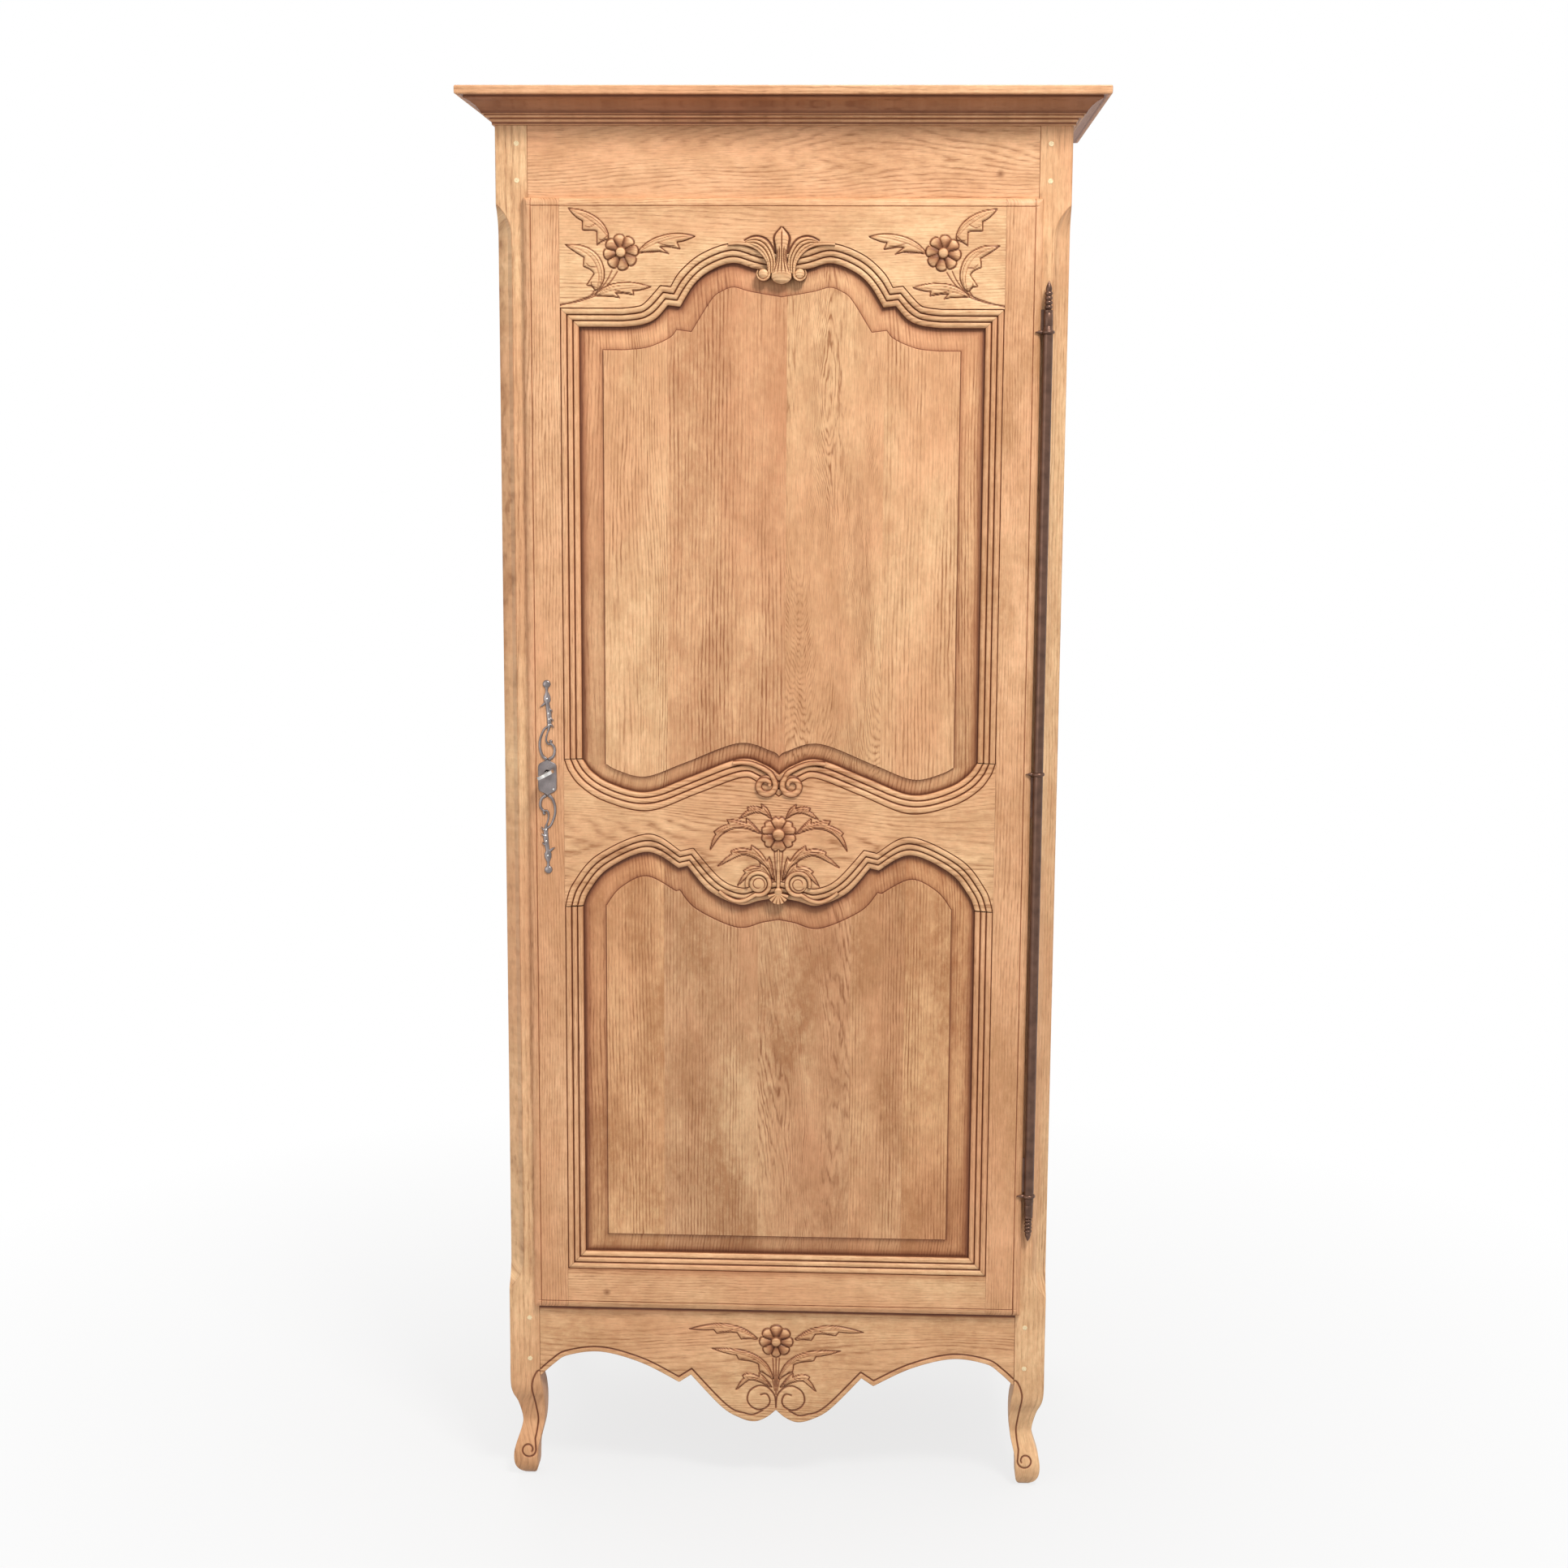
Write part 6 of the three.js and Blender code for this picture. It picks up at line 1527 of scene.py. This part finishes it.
def rivets():
    """Small bright rivets on the escutcheon's stems."""
    reach_up = (high("escutcheon", 2) - low("escutcheon", 2)) / 2
    pieces, base = [], FACE - STRAP_PROUD
    for turn in (1, -1):
        for x, up in RIVET_SHARES:
            spot = (KEY_X + turn * x * PLATE_UNIT, PLATE_Z + turn * up * reach_up)
            pieces.append(dome("rivet", spot, RIVET_RADIUS, RIVET_PROUD, base, back=RIVET_SUNK))
    lone = spots([LONE_RIVET_SHARES], (KEY_X, PLATE_Z), PLATE_UNIT)[0]
    pieces.append(dome("rivet", lone, RIVET_RADIUS, LONE_RIVET_PROUD, base, back=RIVET_SUNK))
    return joined("escutcheon_rivets", pieces)


# Materials

def node(tree, kind, settings=None, inputs=None):
    """Adds a node, sets its settings, and fills or links its inputs."""
    made = tree.nodes.new(kind)
    for key, value in (settings or {}).items():
        setattr(made, key, value)
    for key, value in (inputs or {}).items():
        if isinstance(value, bpy.types.NodeSocket):
            tree.links.new(value, made.inputs[key])
        else:
            made.inputs[key].default_value = value
    return made


def ramp_of(tree, factor, stops, kind="LINEAR"):
    made = node(tree, "ShaderNodeValToRGB", None, {0: factor})
    made.color_ramp.interpolation = kind
    elements = made.color_ramp.elements
    while len(elements) < len(stops):
        elements.new(0.5)
    for element, (place, shade) in zip(elements, stops):
        element.position = place
        element.color = (shade, shade, shade, 1) if isinstance(shade, (int, float)) else shade
    return made.outputs[0]


def maths(tree, operation, a, b=0.0):
    return node(tree, "ShaderNodeMath", {"operation": operation}, {0: a, 1: b}).outputs[0]


def mix(tree, factor, a, b, blend="MIX"):
    made = node(tree, "ShaderNodeMix", {"data_type": "RGBA", "blend_type": blend}, {0: factor, 6: a, 7: b})
    return made.outputs[2]


def new_material(name):
    material = bpy.data.materials.new(name)
    material.use_nodes = True
    tree = material.node_tree
    tree.nodes.clear()
    shader = node(tree, "ShaderNodeBsdfPrincipled")
    node(tree, "ShaderNodeOutputMaterial", None, {0: shader.outputs[0]})
    return material, tree, shader


def waxed_oak(name, along, seed, tint, spacing, wander, cloud, figure, staves=None):
    """Sawn, planed and waxed oak: fine broken rings, short pores, clouds of old stain, wax in corners and
    painted shade.

    along is the axis of the grain, 0, 1 or 2. spacing is the distance of the rings in millimetres
    and wander is how many rings their lines drift sideways. cloud and figure are how strongly the
    stains and the rings show. staves are the glued boards of a panel, each with its share of the
    width, its tone and the drift of its rings.
    """
    material, tree, shader = new_material(name)
    c = colours()
    place = node(tree, "ShaderNodeTexCoord").outputs["Object"]
    axes = node(tree, "ShaderNodeSeparateXYZ", None, {0: place}).outputs
    other, deep = [(2, 1), (2, 0), (0, 1)][along]
    across = maths(tree, "ADD", axes[other], maths(tree, "MULTIPLY", axes[deep], 0.8))
    run = maths(tree, "ADD", axes[along], seed * 1.7)
    drift, ripple = wander, 1.8
    if staves:
        share = maths(tree, "ADD", maths(tree, "MULTIPLY", axes[0], 2.0), 0.5)
        tone = ramp_of(tree, share, [(edge, shade) for edge, shade, _ in staves], "CONSTANT")
        sway = ramp_of(tree, share, [(edge, sway) for edge, _, sway in staves], "CONSTANT")
        run = maths(tree, "ADD", run, maths(tree, "MULTIPLY", sway, 9.0))
        drift = maths(tree, "MULTIPLY", sway, wander)
        ripple = maths(tree, "ADD", sway, 1.2)

    def noise(across_scale, along_scale, offset, detail=2.0, rough=0.5):
        spot = node(tree, "ShaderNodeCombineXYZ", None, {
            0: maths(tree, "MULTIPLY", across, across_scale),
            1: maths(tree, "MULTIPLY", run, along_scale),
            2: seed + offset,
        }).outputs[0]
        return node(tree, "ShaderNodeTexNoise", None, {
            "Vector": spot, "Scale": 1.0, "Detail": detail, "Roughness": rough}).outputs[0]

    # growth rings: lines across the board, carried sideways by slow fields, faint in places and broken
    slow, small = noise(7.0, 1.1, 0, 2.0, 0.4), noise(60.0, 9.0, 5, 3.0, 0.6)
    lines = maths(tree, "MULTIPLY", across, 1000 / spacing)
    lines = maths(tree, "ADD", lines, maths(tree, "MULTIPLY", slow, drift))
    lines = maths(tree, "FRACT", maths(tree, "ADD", lines, maths(tree, "MULTIPLY", small, ripple)))
    early = ramp_of(tree, lines, [(0, 1.0), (0.13, 0.85), (0.32, 0.2), (0.6, 0.0), (0.86, 0.3), (1, 1.0)])
    strength = ramp_of(tree, noise(24.0, 2.6, 9, 3.0, 0.6), [(0.38, 0.12), (0.62, 1)])
    broken = ramp_of(tree, noise(240.0, 26.0, 11, 3.0, 0.65), [(0.38, 0.25), (0.6, 1)])
    strength = maths(tree, "MULTIPLY", strength, broken)
    early = maths(tree, "MULTIPLY", early, strength)
    # fibres about 1 mm wide and pores about 10 mm long, drawn wider than real so that they show
    fibre = ramp_of(tree, noise(620.0, 16.0, 13, 3.0, 0.7), [(0.32, 0), (0.68, 1)])
    pores = ramp_of(tree, noise(700.0, 60.0, 17, 1.0, 0.5), [(0.52, 0), (0.66, 1)])
    # stains of old wax: broad clouds, blotches of a few centimetres, and a mottle of about 10 mm
    stain = ramp_of(tree, noise(9.0, 4.0, 21, 5.0, 0.68), [(0.43, 0), (0.62, 1)])
    mottle = ramp_of(tree, noise(95.0, 60.0, 23, 4.0, 0.72), [(0.36, 0), (0.64, 1)])
    blotch = ramp_of(tree, noise(30.0, 17.0, 27, 4.0, 0.68), [(0.42, 0), (0.62, 1)])
    warm = ramp_of(tree, noise(6.0, 2.0, 25, 3.0, 0.55), [(0.4, 0), (0.6, 1)])
    base = mix(tree, maths(tree, "MULTIPLY", warm, 0.6), getattr(c, tint), c.oak_red)
    patchy = maths(tree, "ADD", maths(tree, "MULTIPLY", mottle, 0.6), 0.5)
    cloudy = maths(tree, "MULTIPLY", stain, patchy)
    base = mix(tree, maths(tree, "MULTIPLY", cloudy, cloud), base, c.oak_stain)
    base = mix(tree, maths(tree, "MULTIPLY", mottle, 0.32), base, c.oak_red)
    base = mix(tree, maths(tree, "MULTIPLY", blotch, 0.34), base, c.oak_stain)
    base = mix(tree, maths(tree, "MULTIPLY", early, figure * 1.6), base, c.oak_dark)
    base = mix(tree, maths(tree, "MULTIPLY", fibre, 0.26), base, c.oak_dark)
    speck = maths(tree, "MULTIPLY", pores, maths(tree, "ADD", maths(tree, "MULTIPLY", early, 0.4), 0.17))
    base = mix(tree, speck, base, c.oak_pore)
    if staves:
        base = mix(tree, 1.0, base, tone, "MULTIPLY")
    if name in KNOTS:
        x, z = KNOTS[name]
        flat = node(tree, "ShaderNodeCombineXYZ", None, {0: axes[0], 2: axes[2]}).outputs[0]
        knot = {0: flat, 1: (x, 0, z)}
        away = node(tree, "ShaderNodeVectorMath", {"operation": "DISTANCE"}, knot).outputs["Value"]
        away = maths(tree, "ADD", maths(tree, "MULTIPLY", away, 110.0), maths(tree, "MULTIPLY", small, 0.5))
        base = mix(tree, ramp_of(tree, away, [(0.3, 0.95), (0.62, 0.5), (1, 0)]), base, c.oak_pore)
    # old wax in cut lines, a thin warm film beside them and dark in their ground; the same channel paints
    # shade in the cornice's cove and under its crown, under the door's lip, in the flowers, on the panels'
    # bevels and down the sides of raised ribs
    wax = node(tree, "ShaderNodeAttribute", {"attribute_name": "wax_and_shade"}).outputs["Fac"]
    glaze_and_shade = ramp_of(tree, wax, [(0.04, 0), (0.5, 0.6)])
    base = mix(tree, glaze_and_shade, base, c.glaze_and_shade, "MULTIPLY")
    wax = ramp_of(tree, wax, [(0.12, 0), (0.55, 0.74), (1, 1)])
    base = mix(tree, maths(tree, "MULTIPLY", wax, 0.94), base, c.wax_and_shade)
    height = maths(tree, "SUBTRACT", maths(tree, "MULTIPLY", fibre, 0.3), maths(tree, "ADD", speck, early))
    bump = node(tree, "ShaderNodeBump", None, {"Strength": 0.4, "Distance": 0.0005, "Height": height})
    rough = maths(tree, "ADD", maths(tree, "MULTIPLY", speck, 0.3), 0.5)
    shader.inputs["Specular IOR Level"].default_value = 0.35
    shader.inputs["IOR"].default_value = 1.5
    for key, value in (("Base Color", base), ("Roughness", rough), ("Normal", bump.outputs[0])):
        tree.links.new(value, shader.inputs[key])
    return material


def forged_iron(name, shade, roughness, metallic):
    """Forged and oiled iron: a faintly uneven hammered skin that catches soft lights along its edges."""
    material, tree, shader = new_material(name)
    place = node(tree, "ShaderNodeTexCoord").outputs["Object"]
    patches = node(tree, "ShaderNodeTexNoise", None, {
        "Vector": place, "Scale": 60.0, "Detail": 4.0}).outputs[0]
    pits = node(tree, "ShaderNodeTexNoise", None, {
        "Vector": place, "Scale": 600.0, "Detail": 2.0}).outputs[0]
    dark = tuple(v * 0.62 for v in shade[:3]) + (1,)
    base = mix(tree, ramp_of(tree, patches, [(0.38, 0), (0.68, 1)]), shade, dark)
    rough = maths(tree, "ADD", maths(tree, "MULTIPLY", patches, 0.2), roughness - 0.1)
    height = maths(tree, "ADD", patches, maths(tree, "MULTIPLY", pits, 0.4))
    bump = node(tree, "ShaderNodeBump", None, {
        "Strength": 0.3, "Distance": HAMMERED * MM, "Height": height})
    shader.inputs["Metallic"].default_value = metallic
    for key, value in (("Base Color", base), ("Roughness", rough), ("Normal", bump.outputs[0])):
        tree.links.new(value, shader.inputs[key])
    return material


# Depth of the hammer marks in millimetres
HAMMERED = 0.3
IRONS = {}


def iron(key):
    """The iron of one group of pieces."""
    c = colours()
    kinds = {
        "hinge": ("oiled wrought iron, hinge", tuple(c.hinge_iron), 0.34, 0.7),
        "plate": ("wrought iron, escutcheon", tuple(c.plate_iron), 0.3, 0.85),
        "steel": ("worn steel, key", tuple(c.steel), 0.24, 1.0),
    }
    if key not in IRONS:
        IRONS[key] = forged_iron(*kinds[key])
    return IRONS[key]


OAKS = {}
# Small dark knots: their places in metres
KNOTS = {"waxed oak, frieze": (0.301, 1.922), "waxed oak, bottom rail": (-0.252, 0.299)}
# Each stave of a panel: the share of the width where it starts, its tone, and the drift of its rings
UPPER_STAVES = [(0, (1.0, 1.0, 1.0, 1), 0.7), (0.178, (0.87, 0.77, 0.74, 1), 0.15),
                (0.512, (0.97, 0.96, 0.95, 1), 3.6), (0.788, (1.0, 0.99, 0.99, 1), 0.25)]
LOWER_STAVES = [(0, (0.92, 0.86, 0.81, 1), 0.3), (0.166, (0.83, 0.8, 0.79, 1), 0.15),
                (0.438, (0.81, 0.75, 0.73, 1), 2.6), (0.71, (0.86, 0.81, 0.78, 1), 0.3),
                (0.865, (0.87, 0.79, 0.73, 1), 0.2)]
# Each board: its grain's axis, seed, tint, ring spacing, drift, strength of the stain and of the rings
BOARDS = {
    "lock stile": (2, 1.0, "oak_mid", 4.0, 12.0, 0.6, 0.55),
    "hinge stile": (2, 5.0, "oak_mid", 4.2, 12.0, 0.95, 0.55),
    "left post": (2, 9.0, "oak_light", 9.0, 4.0, 0.35, 0.5),
    "right post": (2, 13.0, "oak_light", 8.0, 4.0, 0.35, 0.5),
    "top rail": (0, 2.0, "oak_light", 4.6, 16.0, 0.6, 0.45),
    "middle rail": (0, 6.0, "oak_light", 16.0, 40.0, 0.3, 0.7),
    "bottom rail": (0, 10.0, "oak_light", 4.2, 12.0, 0.4, 0.45),
    "frieze": (0, 14.0, "oak_mid", 7.0, 44.0, 0.6, 0.55),
    "apron": (0, 18.0, "oak_light", 7.0, 30.0, 0.7, 0.65),
    "upper panel": (2, 23.4, "oak_light", 5.2, 34.0, 0.55, 0.8, UPPER_STAVES),
    "lower panel": (2, 26.0, "oak_light", 4.6, 20.0, 1.15, 0.7, LOWER_STAVES),
    "cornice": (0, 30.0, "oak_mid", 5.0, 5.0, 0.4, 0.4),
    "cornice return": (1, 34.0, "oak_mid", 5.0, 5.0, 0.4, 0.4),
    "back board 1": (2, 60.0, "oak_mid", 5.5, 12.0, 0.6, 0.45),
    "back board 2": (2, 67.0, "oak_light", 6.5, 18.0, 0.8, 0.4),
    "back board 3": (2, 74.0, "oak_mid", 4.5, 9.0, 0.5, 0.5),
    "side rail": (1, 38.0, "oak_mid", 3.6, 8.0, 0.5, 0.45),
    "upper side panel": (2, 42.0, "oak_light", 4.0, 20.0, 0.5, 0.5),
    "lower side panel": (2, 80.0, "oak_mid", 4.4, 26.0, 0.5, 0.5),
    "inside upright": (2, 46.0, "oak_mid", 5.0, 16.0, 0.7, 0.45),
    "inside level": (0, 50.0, "oak_mid", 5.0, 14.0, 0.7, 0.45),
    "cleat": (1, 54.0, "oak_mid", 5.0, 6.0, 0.6, 0.4),
}


def oak(key):
    """The oak of one board or group of boards. Each has its own figure."""
    if key not in OAKS:
        OAKS[key] = waxed_oak("waxed oak, " + key, *BOARDS[key])
    return OAKS[key]


def peg_wood():
    """Riven oak peg, cut flush: pale end grain."""
    material, tree, shader = new_material("riven oak peg")
    place = node(tree, "ShaderNodeTexCoord").outputs["Object"]
    grain = node(tree, "ShaderNodeTexNoise", None, {
        "Vector": place, "Scale": 900.0, "Detail": 2.0}).outputs[0]
    c = colours()
    base = mix(tree, ramp_of(tree, grain, [(0.45, 0), (0.7, 0.5)]), c.peg, c.oak_dark)
    tree.links.new(base, shader.inputs["Base Color"])
    shader.inputs["Roughness"].default_value = 0.6
    return material


def painted_keyhole_shade():
    """Painted shade for the keyhole: near-black iron on a disc that stands for the unlit inside of the
    lock, seen through the keyhole.
    """
    material, tree, shader = new_material("black shadowed iron, lock")
    place = node(tree, "ShaderNodeTexCoord").outputs["Object"]
    shade_mottle = node(tree, "ShaderNodeTexNoise", None, {
        "Vector": place, "Scale": 500.0, "Detail": 2.0}).outputs[0]
    base = mix(tree, shade_mottle, colours().keyhole_shade_black, colours().keyhole_shade_brown)
    tree.links.new(base, shader.inputs["Base Color"])
    shader.inputs["Roughness"].default_value = 0.8
    shader.inputs["Specular IOR Level"].default_value = 0.1
    return material


CAD_FINISH = {
    "side_top_rail": "side rail", "side_middle_rail": "side rail", "side_bottom_rail": "side rail",
    "rear_stile": "left post",
    "back_top_rail": "inside level", "back_bottom_rail": "inside level",
    "floor_board": "inside level", "ceiling_board": "inside level", "shelf_cleat": "cleat",
    "shelf": "inside level", "cornice_rear": "inside level", "frieze_rail": "frieze",
}


class Builder(bpy.types.Operator):
    """Shared base of the cupboard's operators"""

    bl_options = {"REGISTER", "UNDO"}


class CUPBOARD_OT_stage(Builder):
    """Floor, soft light and the camera"""

    bl_idname = "cupboard.stage"
    bl_label = "Stage and camera"

    def execute(self, context):
        build_floor()
        build_lights()
        build_camera()
        return {"FINISHED"}


class CUPBOARD_OT_case(Builder):
    """Front posts, apron, cornice, side panels and back boards with their nails"""

    bl_idname = "cupboard.case"
    bl_label = "Case"

    def execute(self, context):
        for name, side in (("left", -1), ("right", 1)):
            made = post("scroll_foot_post_" + name, side, foot_carving)
            if side < 0:
                bolt_mortise(made)
            settle(made, "case", "case_oak", oak(name + " post"), "front_stile_" + name)
        settle(apron(apron_carving), "case", "case_oak", oak("apron"), "apron_rail")
        build_cornice()
        for name, side in (("left", -1), ("right", 1)):
            for level in ("upper", "lower"):
                key = "side_%s_panel_%s" % (level, name)
                settle(side_panel(key, side), "case", "panel_oak", oak(level + " side panel"), key)
        for board in (1, 2, 3):
            key = "back_board_%d" % board
            settle(back_board(key), "case", "inside_oak", oak("back board %d" % board), key)
        settle(nail_heads(), "case", "hinge_iron", iron("hinge"))
        return {"FINISHED"}


class CUPBOARD_OT_door(Builder):
    """Door stiles, rails and panels"""

    bl_idname = "cupboard.door"
    bl_label = "Door"

    def execute(self, context):
        settle(stile("door_lock_board", -1), "door", "door_oak", oak("lock stile"), "door_lock_stile")
        settle(stile("door_hinge_board", 1), "door", "door_oak", oak("hinge stile"), "door_hinge_stile")
        crest = joined("carved_top_rail", [top_rail(top_carving), *palmette()])
        settle(crest, "door", "door_oak", oak("top rail"), "door_top_rail")
        belt = joined("carved_middle_rail", [middle_rail(middle_carving), *middle_scrolls()])
        settle(belt, "door", "door_oak", oak("middle rail"), "door_middle_rail")
        settle(bottom_rail(), "door", "door_oak", oak("bottom rail"), "door_bottom_rail")
        upper = panel("upper_field_panel", ARCH, WAVE, UPPER_BEVEL)
        settle(upper, "door", "panel_oak", oak("upper panel"), "door_upper_panel")
        lower = panel("lower_field_panel", HUMP, FOOT_LINE, LOWER_BEVEL)
        settle(lower, "door", "panel_oak", oak("lower panel"), "door_lower_panel")
        return {"FINISHED"}


class CUPBOARD_OT_ironwork(Builder):
    """Long hinge and escutcheon"""

    bl_idname = "cupboard.ironwork"
    bl_label = "Ironwork"

    def execute(self, context):
        for stands_for, (pieces, body) in hinge_pieces().items():
            whole = joined("turned_" + stands_for, pieces)
            settle(whole, body, "hinge_iron", iron("hinge"), stands_for)
        settle(escutcheon(), "door", "escutcheon_iron", iron("plate"), "escutcheon")
        settle(rivets(), "door", "key_steel", iron("steel"))
        # a near-black disc behind the keyhole: painted shade for the hole's dark inside
        wide = HOLE_RADIUS + HOLE_BEVEL
        recess = dome("keyhole_shade_disc", (KEY_X, KEY_Z), wide, HOLE_SKIN, FACE - HOLE_SKIN, back=BUTT_GAP)
        settle(recess, "door", "lock_iron", painted_keyhole_shade())
        return {"FINISHED"}


class CUPBOARD_OT_finish(Builder):
    """Oak and iron on the pieces that keep the shape of the solids"""

    bl_idname = "cupboard.finish"
    bl_label = "Finishes"

    def execute(self, context):
        peg = peg_wood()
        for name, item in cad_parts.items():
            wood = next((v for k, v in CAD_FINISH.items() if name.startswith(k)), None)
            if wood:
                finish = oak(wood)
            elif name.startswith("peg"):
                finish = peg
            elif name.startswith("hinge") or name == "lock_case":
                finish = iron("hinge")
            elif name in ("key", "lock_bolt"):
                finish = iron("steel")
            else:
                continue
            item.data.materials.clear()
            item.data.materials.append(finish)
        return {"FINISHED"}


def build_cornice():
    """The front length and the two returns, mitred at the corners."""
    def across(out, z, end):
        return ((1 if end else -1) * (HALF + out - BUTT_GAP), FRONT - out, z)
    settle(cornice("moulded_cornice_front", across), "case", "cornice_oak", oak("cornice"), "cornice_front")
    for name, side in (("left", -1), ("right", 1)):
        def back(out, z, end, side=side):
            rear, mitre = high("cornice_" + name, 1), FRONT - out + BUTT_GAP
            return (side * (HALF + out), rear if end else mitre, z)
        piece = cornice("moulded_cornice_" + name, back)
        settle(piece, "case", "cornice_oak", oak("cornice return"), "cornice_" + name)


# Stage and camera: metres for the floor and the lights, millimetres for the lens, degrees for the turns
FLOOR_SIZE = 60
FADE_REACH = 5.0
AIM_HEIGHT = 1.0
# Each light: its place, its size and its power in watts
LIGHTS = [
    ("key light", (1.3, -2.5, 4.6), 1.0, 160),
    ("fill light", (-2.6, -3.6, 1.3), 2.6, 33),
    ("back light", (-0.8, 3.2, 3.2), 2.2, 60),
]
LAMP_TINT = (1.0, 0.98, 0.955)
SENSOR_WIDTH = 36
LENS = 53.9
PITCH, YAW, ROLL = 8.77, -2.3, -0.326


def build_floor():
    ready()
    bpy.ops.mesh.primitive_plane_add(size=FLOOR_SIZE)
    floor = bpy.context.active_object
    floor.name = "pale_floor"
    material, tree, shader = new_material("matt pale floor")
    shader.inputs["Base Color"].default_value = colours().floor
    shader.inputs["Roughness"].default_value = 0.9
    shader.inputs["Specular IOR Level"].default_value = 0.0
    place = node(tree, "ShaderNodeTexCoord").outputs["Object"]
    away = node(tree, "ShaderNodeVectorMath", {"operation": "LENGTH"}, {0: place}).outputs["Value"]
    far = ramp_of(tree, maths(tree, "DIVIDE", away, FADE_REACH), [(0.08, 0.78), (0.36, 1.0)])
    white = node(tree, "ShaderNodeEmission", None, {"Color": (1, 1, 1, 1), "Strength": 1.0})
    straight = maths(tree, "MULTIPLY", seen_directly(tree), far)
    shaders = {0: straight, 1: shader.outputs[0], 2: white.outputs[0]}
    blend = node(tree, "ShaderNodeMixShader", None, shaders)
    out = next(n for n in tree.nodes if n.type == "OUTPUT_MATERIAL")
    tree.links.new(blend.outputs[0], out.inputs[0])
    floor.data.materials.append(material)


def seen_directly(tree):
    """1 for rays that carry the background itself: straight, mirrored or through glass."""
    rays = node(tree, "ShaderNodeLightPath").outputs
    first = maths(tree, "MAXIMUM", rays["Is Camera Ray"], rays["Is Glossy Ray"])
    return maths(tree, "MAXIMUM", first, rays["Is Transmission Ray"])


def build_lights():
    scene = bpy.context.scene
    world = bpy.data.worlds.new("soft room")
    scene.world = world
    world.use_nodes = True
    tree = world.node_tree
    tree.nodes.clear()
    facing = node(tree, "ShaderNodeTexCoord").outputs["Generated"]
    up = node(tree, "ShaderNodeSeparateXYZ", None, {0: facing}).outputs[2]
    room = ramp_of(tree, up, [(0.0, 0.14), (0.15, 0.27), (0.9, 1.1)])
    direct = seen_directly(tree)
    shade = maths(tree, "MULTIPLY", room, maths(tree, "SUBTRACT", 1.0, direct))
    back = node(tree, "ShaderNodeBackground", None, {
        "Color": (1, 1, 1, 1), "Strength": maths(tree, "ADD", shade, direct)})
    node(tree, "ShaderNodeOutputWorld", None, {0: back.outputs[0]})
    for name, place, size, power in LIGHTS:
        ready()
        bpy.ops.object.light_add(type="AREA", location=place)
        lamp = bpy.context.active_object
        lamp.name = name
        lamp.data.size = size
        lamp.data.energy = power
        lamp.data.color = LAMP_TINT
        aim = Vector((0, 0, AIM_HEIGHT)) - Vector(place)
        lamp.rotation_euler = aim.to_track_quat("-Z", "Y").to_euler()


def build_camera():
    scene = bpy.context.scene
    s = sizes()
    data = bpy.data.cameras.new("camera")
    data.sensor_width = SENSOR_WIDTH
    data.lens = LENS
    camera = bpy.data.objects.new("camera", data)
    scene.collection.objects.link(camera)
    pitch, yaw, roll = (math.radians(turn) for turn in (PITCH, YAW, ROLL))
    ahead = Vector((math.sin(yaw) * math.cos(pitch), math.cos(yaw) * math.cos(pitch), -math.sin(pitch)))
    right = Vector((math.cos(yaw), -math.sin(yaw), 0))
    down = ahead.cross(right)
    across = math.cos(roll) * right + math.sin(roll) * down
    below = -math.sin(roll) * right + math.cos(roll) * down
    turn = Matrix((across, -below, -ahead)).transposed().to_4x4()
    place = Vector((s.camera_side, -s.camera_distance, s.camera_height))
    camera.matrix_world = Matrix.Translation(place) @ turn
    scene.camera = camera
    scene.view_settings.view_transform = "Standard"


class CUPBOARD_PT_panel(bpy.types.Panel):
    """Sizes, colours and pieces of the cupboard"""

    bl_label = "Bonnetiere cupboard"
    bl_idname = "CUPBOARD_PT_panel"
    bl_space_type = "VIEW_3D"
    bl_region_type = "UI"
    bl_category = "Cupboard"

    def draw(self, context):
        for group in (context.scene.cupboard_sizes, context.scene.cupboard_colours):
            column = self.layout.column()
            for key in group.__annotations__:
                column.prop(group, key)
        for operator in OPERATORS:
            self.layout.operator(operator.bl_idname)


OPERATORS = [
    CUPBOARD_OT_stage, CUPBOARD_OT_case, CUPBOARD_OT_door, CUPBOARD_OT_ironwork, CUPBOARD_OT_finish,
]
CLASSES = [CupboardSizes, CupboardColours, *OPERATORS, CUPBOARD_PT_panel]


def register():
    for item in CLASSES:
        bpy.utils.register_class(item)
    bpy.types.Scene.cupboard_sizes = bpy.props.PointerProperty(type=CupboardSizes)
    bpy.types.Scene.cupboard_colours = bpy.props.PointerProperty(type=CupboardColours)


def unregister():
    del bpy.types.Scene.cupboard_sizes
    del bpy.types.Scene.cupboard_colours
    for item in reversed(CLASSES):
        bpy.utils.unregister_class(item)


def main():
    register()
    for operator in OPERATORS:
        group, name = operator.bl_idname.split(".")
        getattr(getattr(bpy.ops, group), name)()


if __name__ == "__main__":
    main()
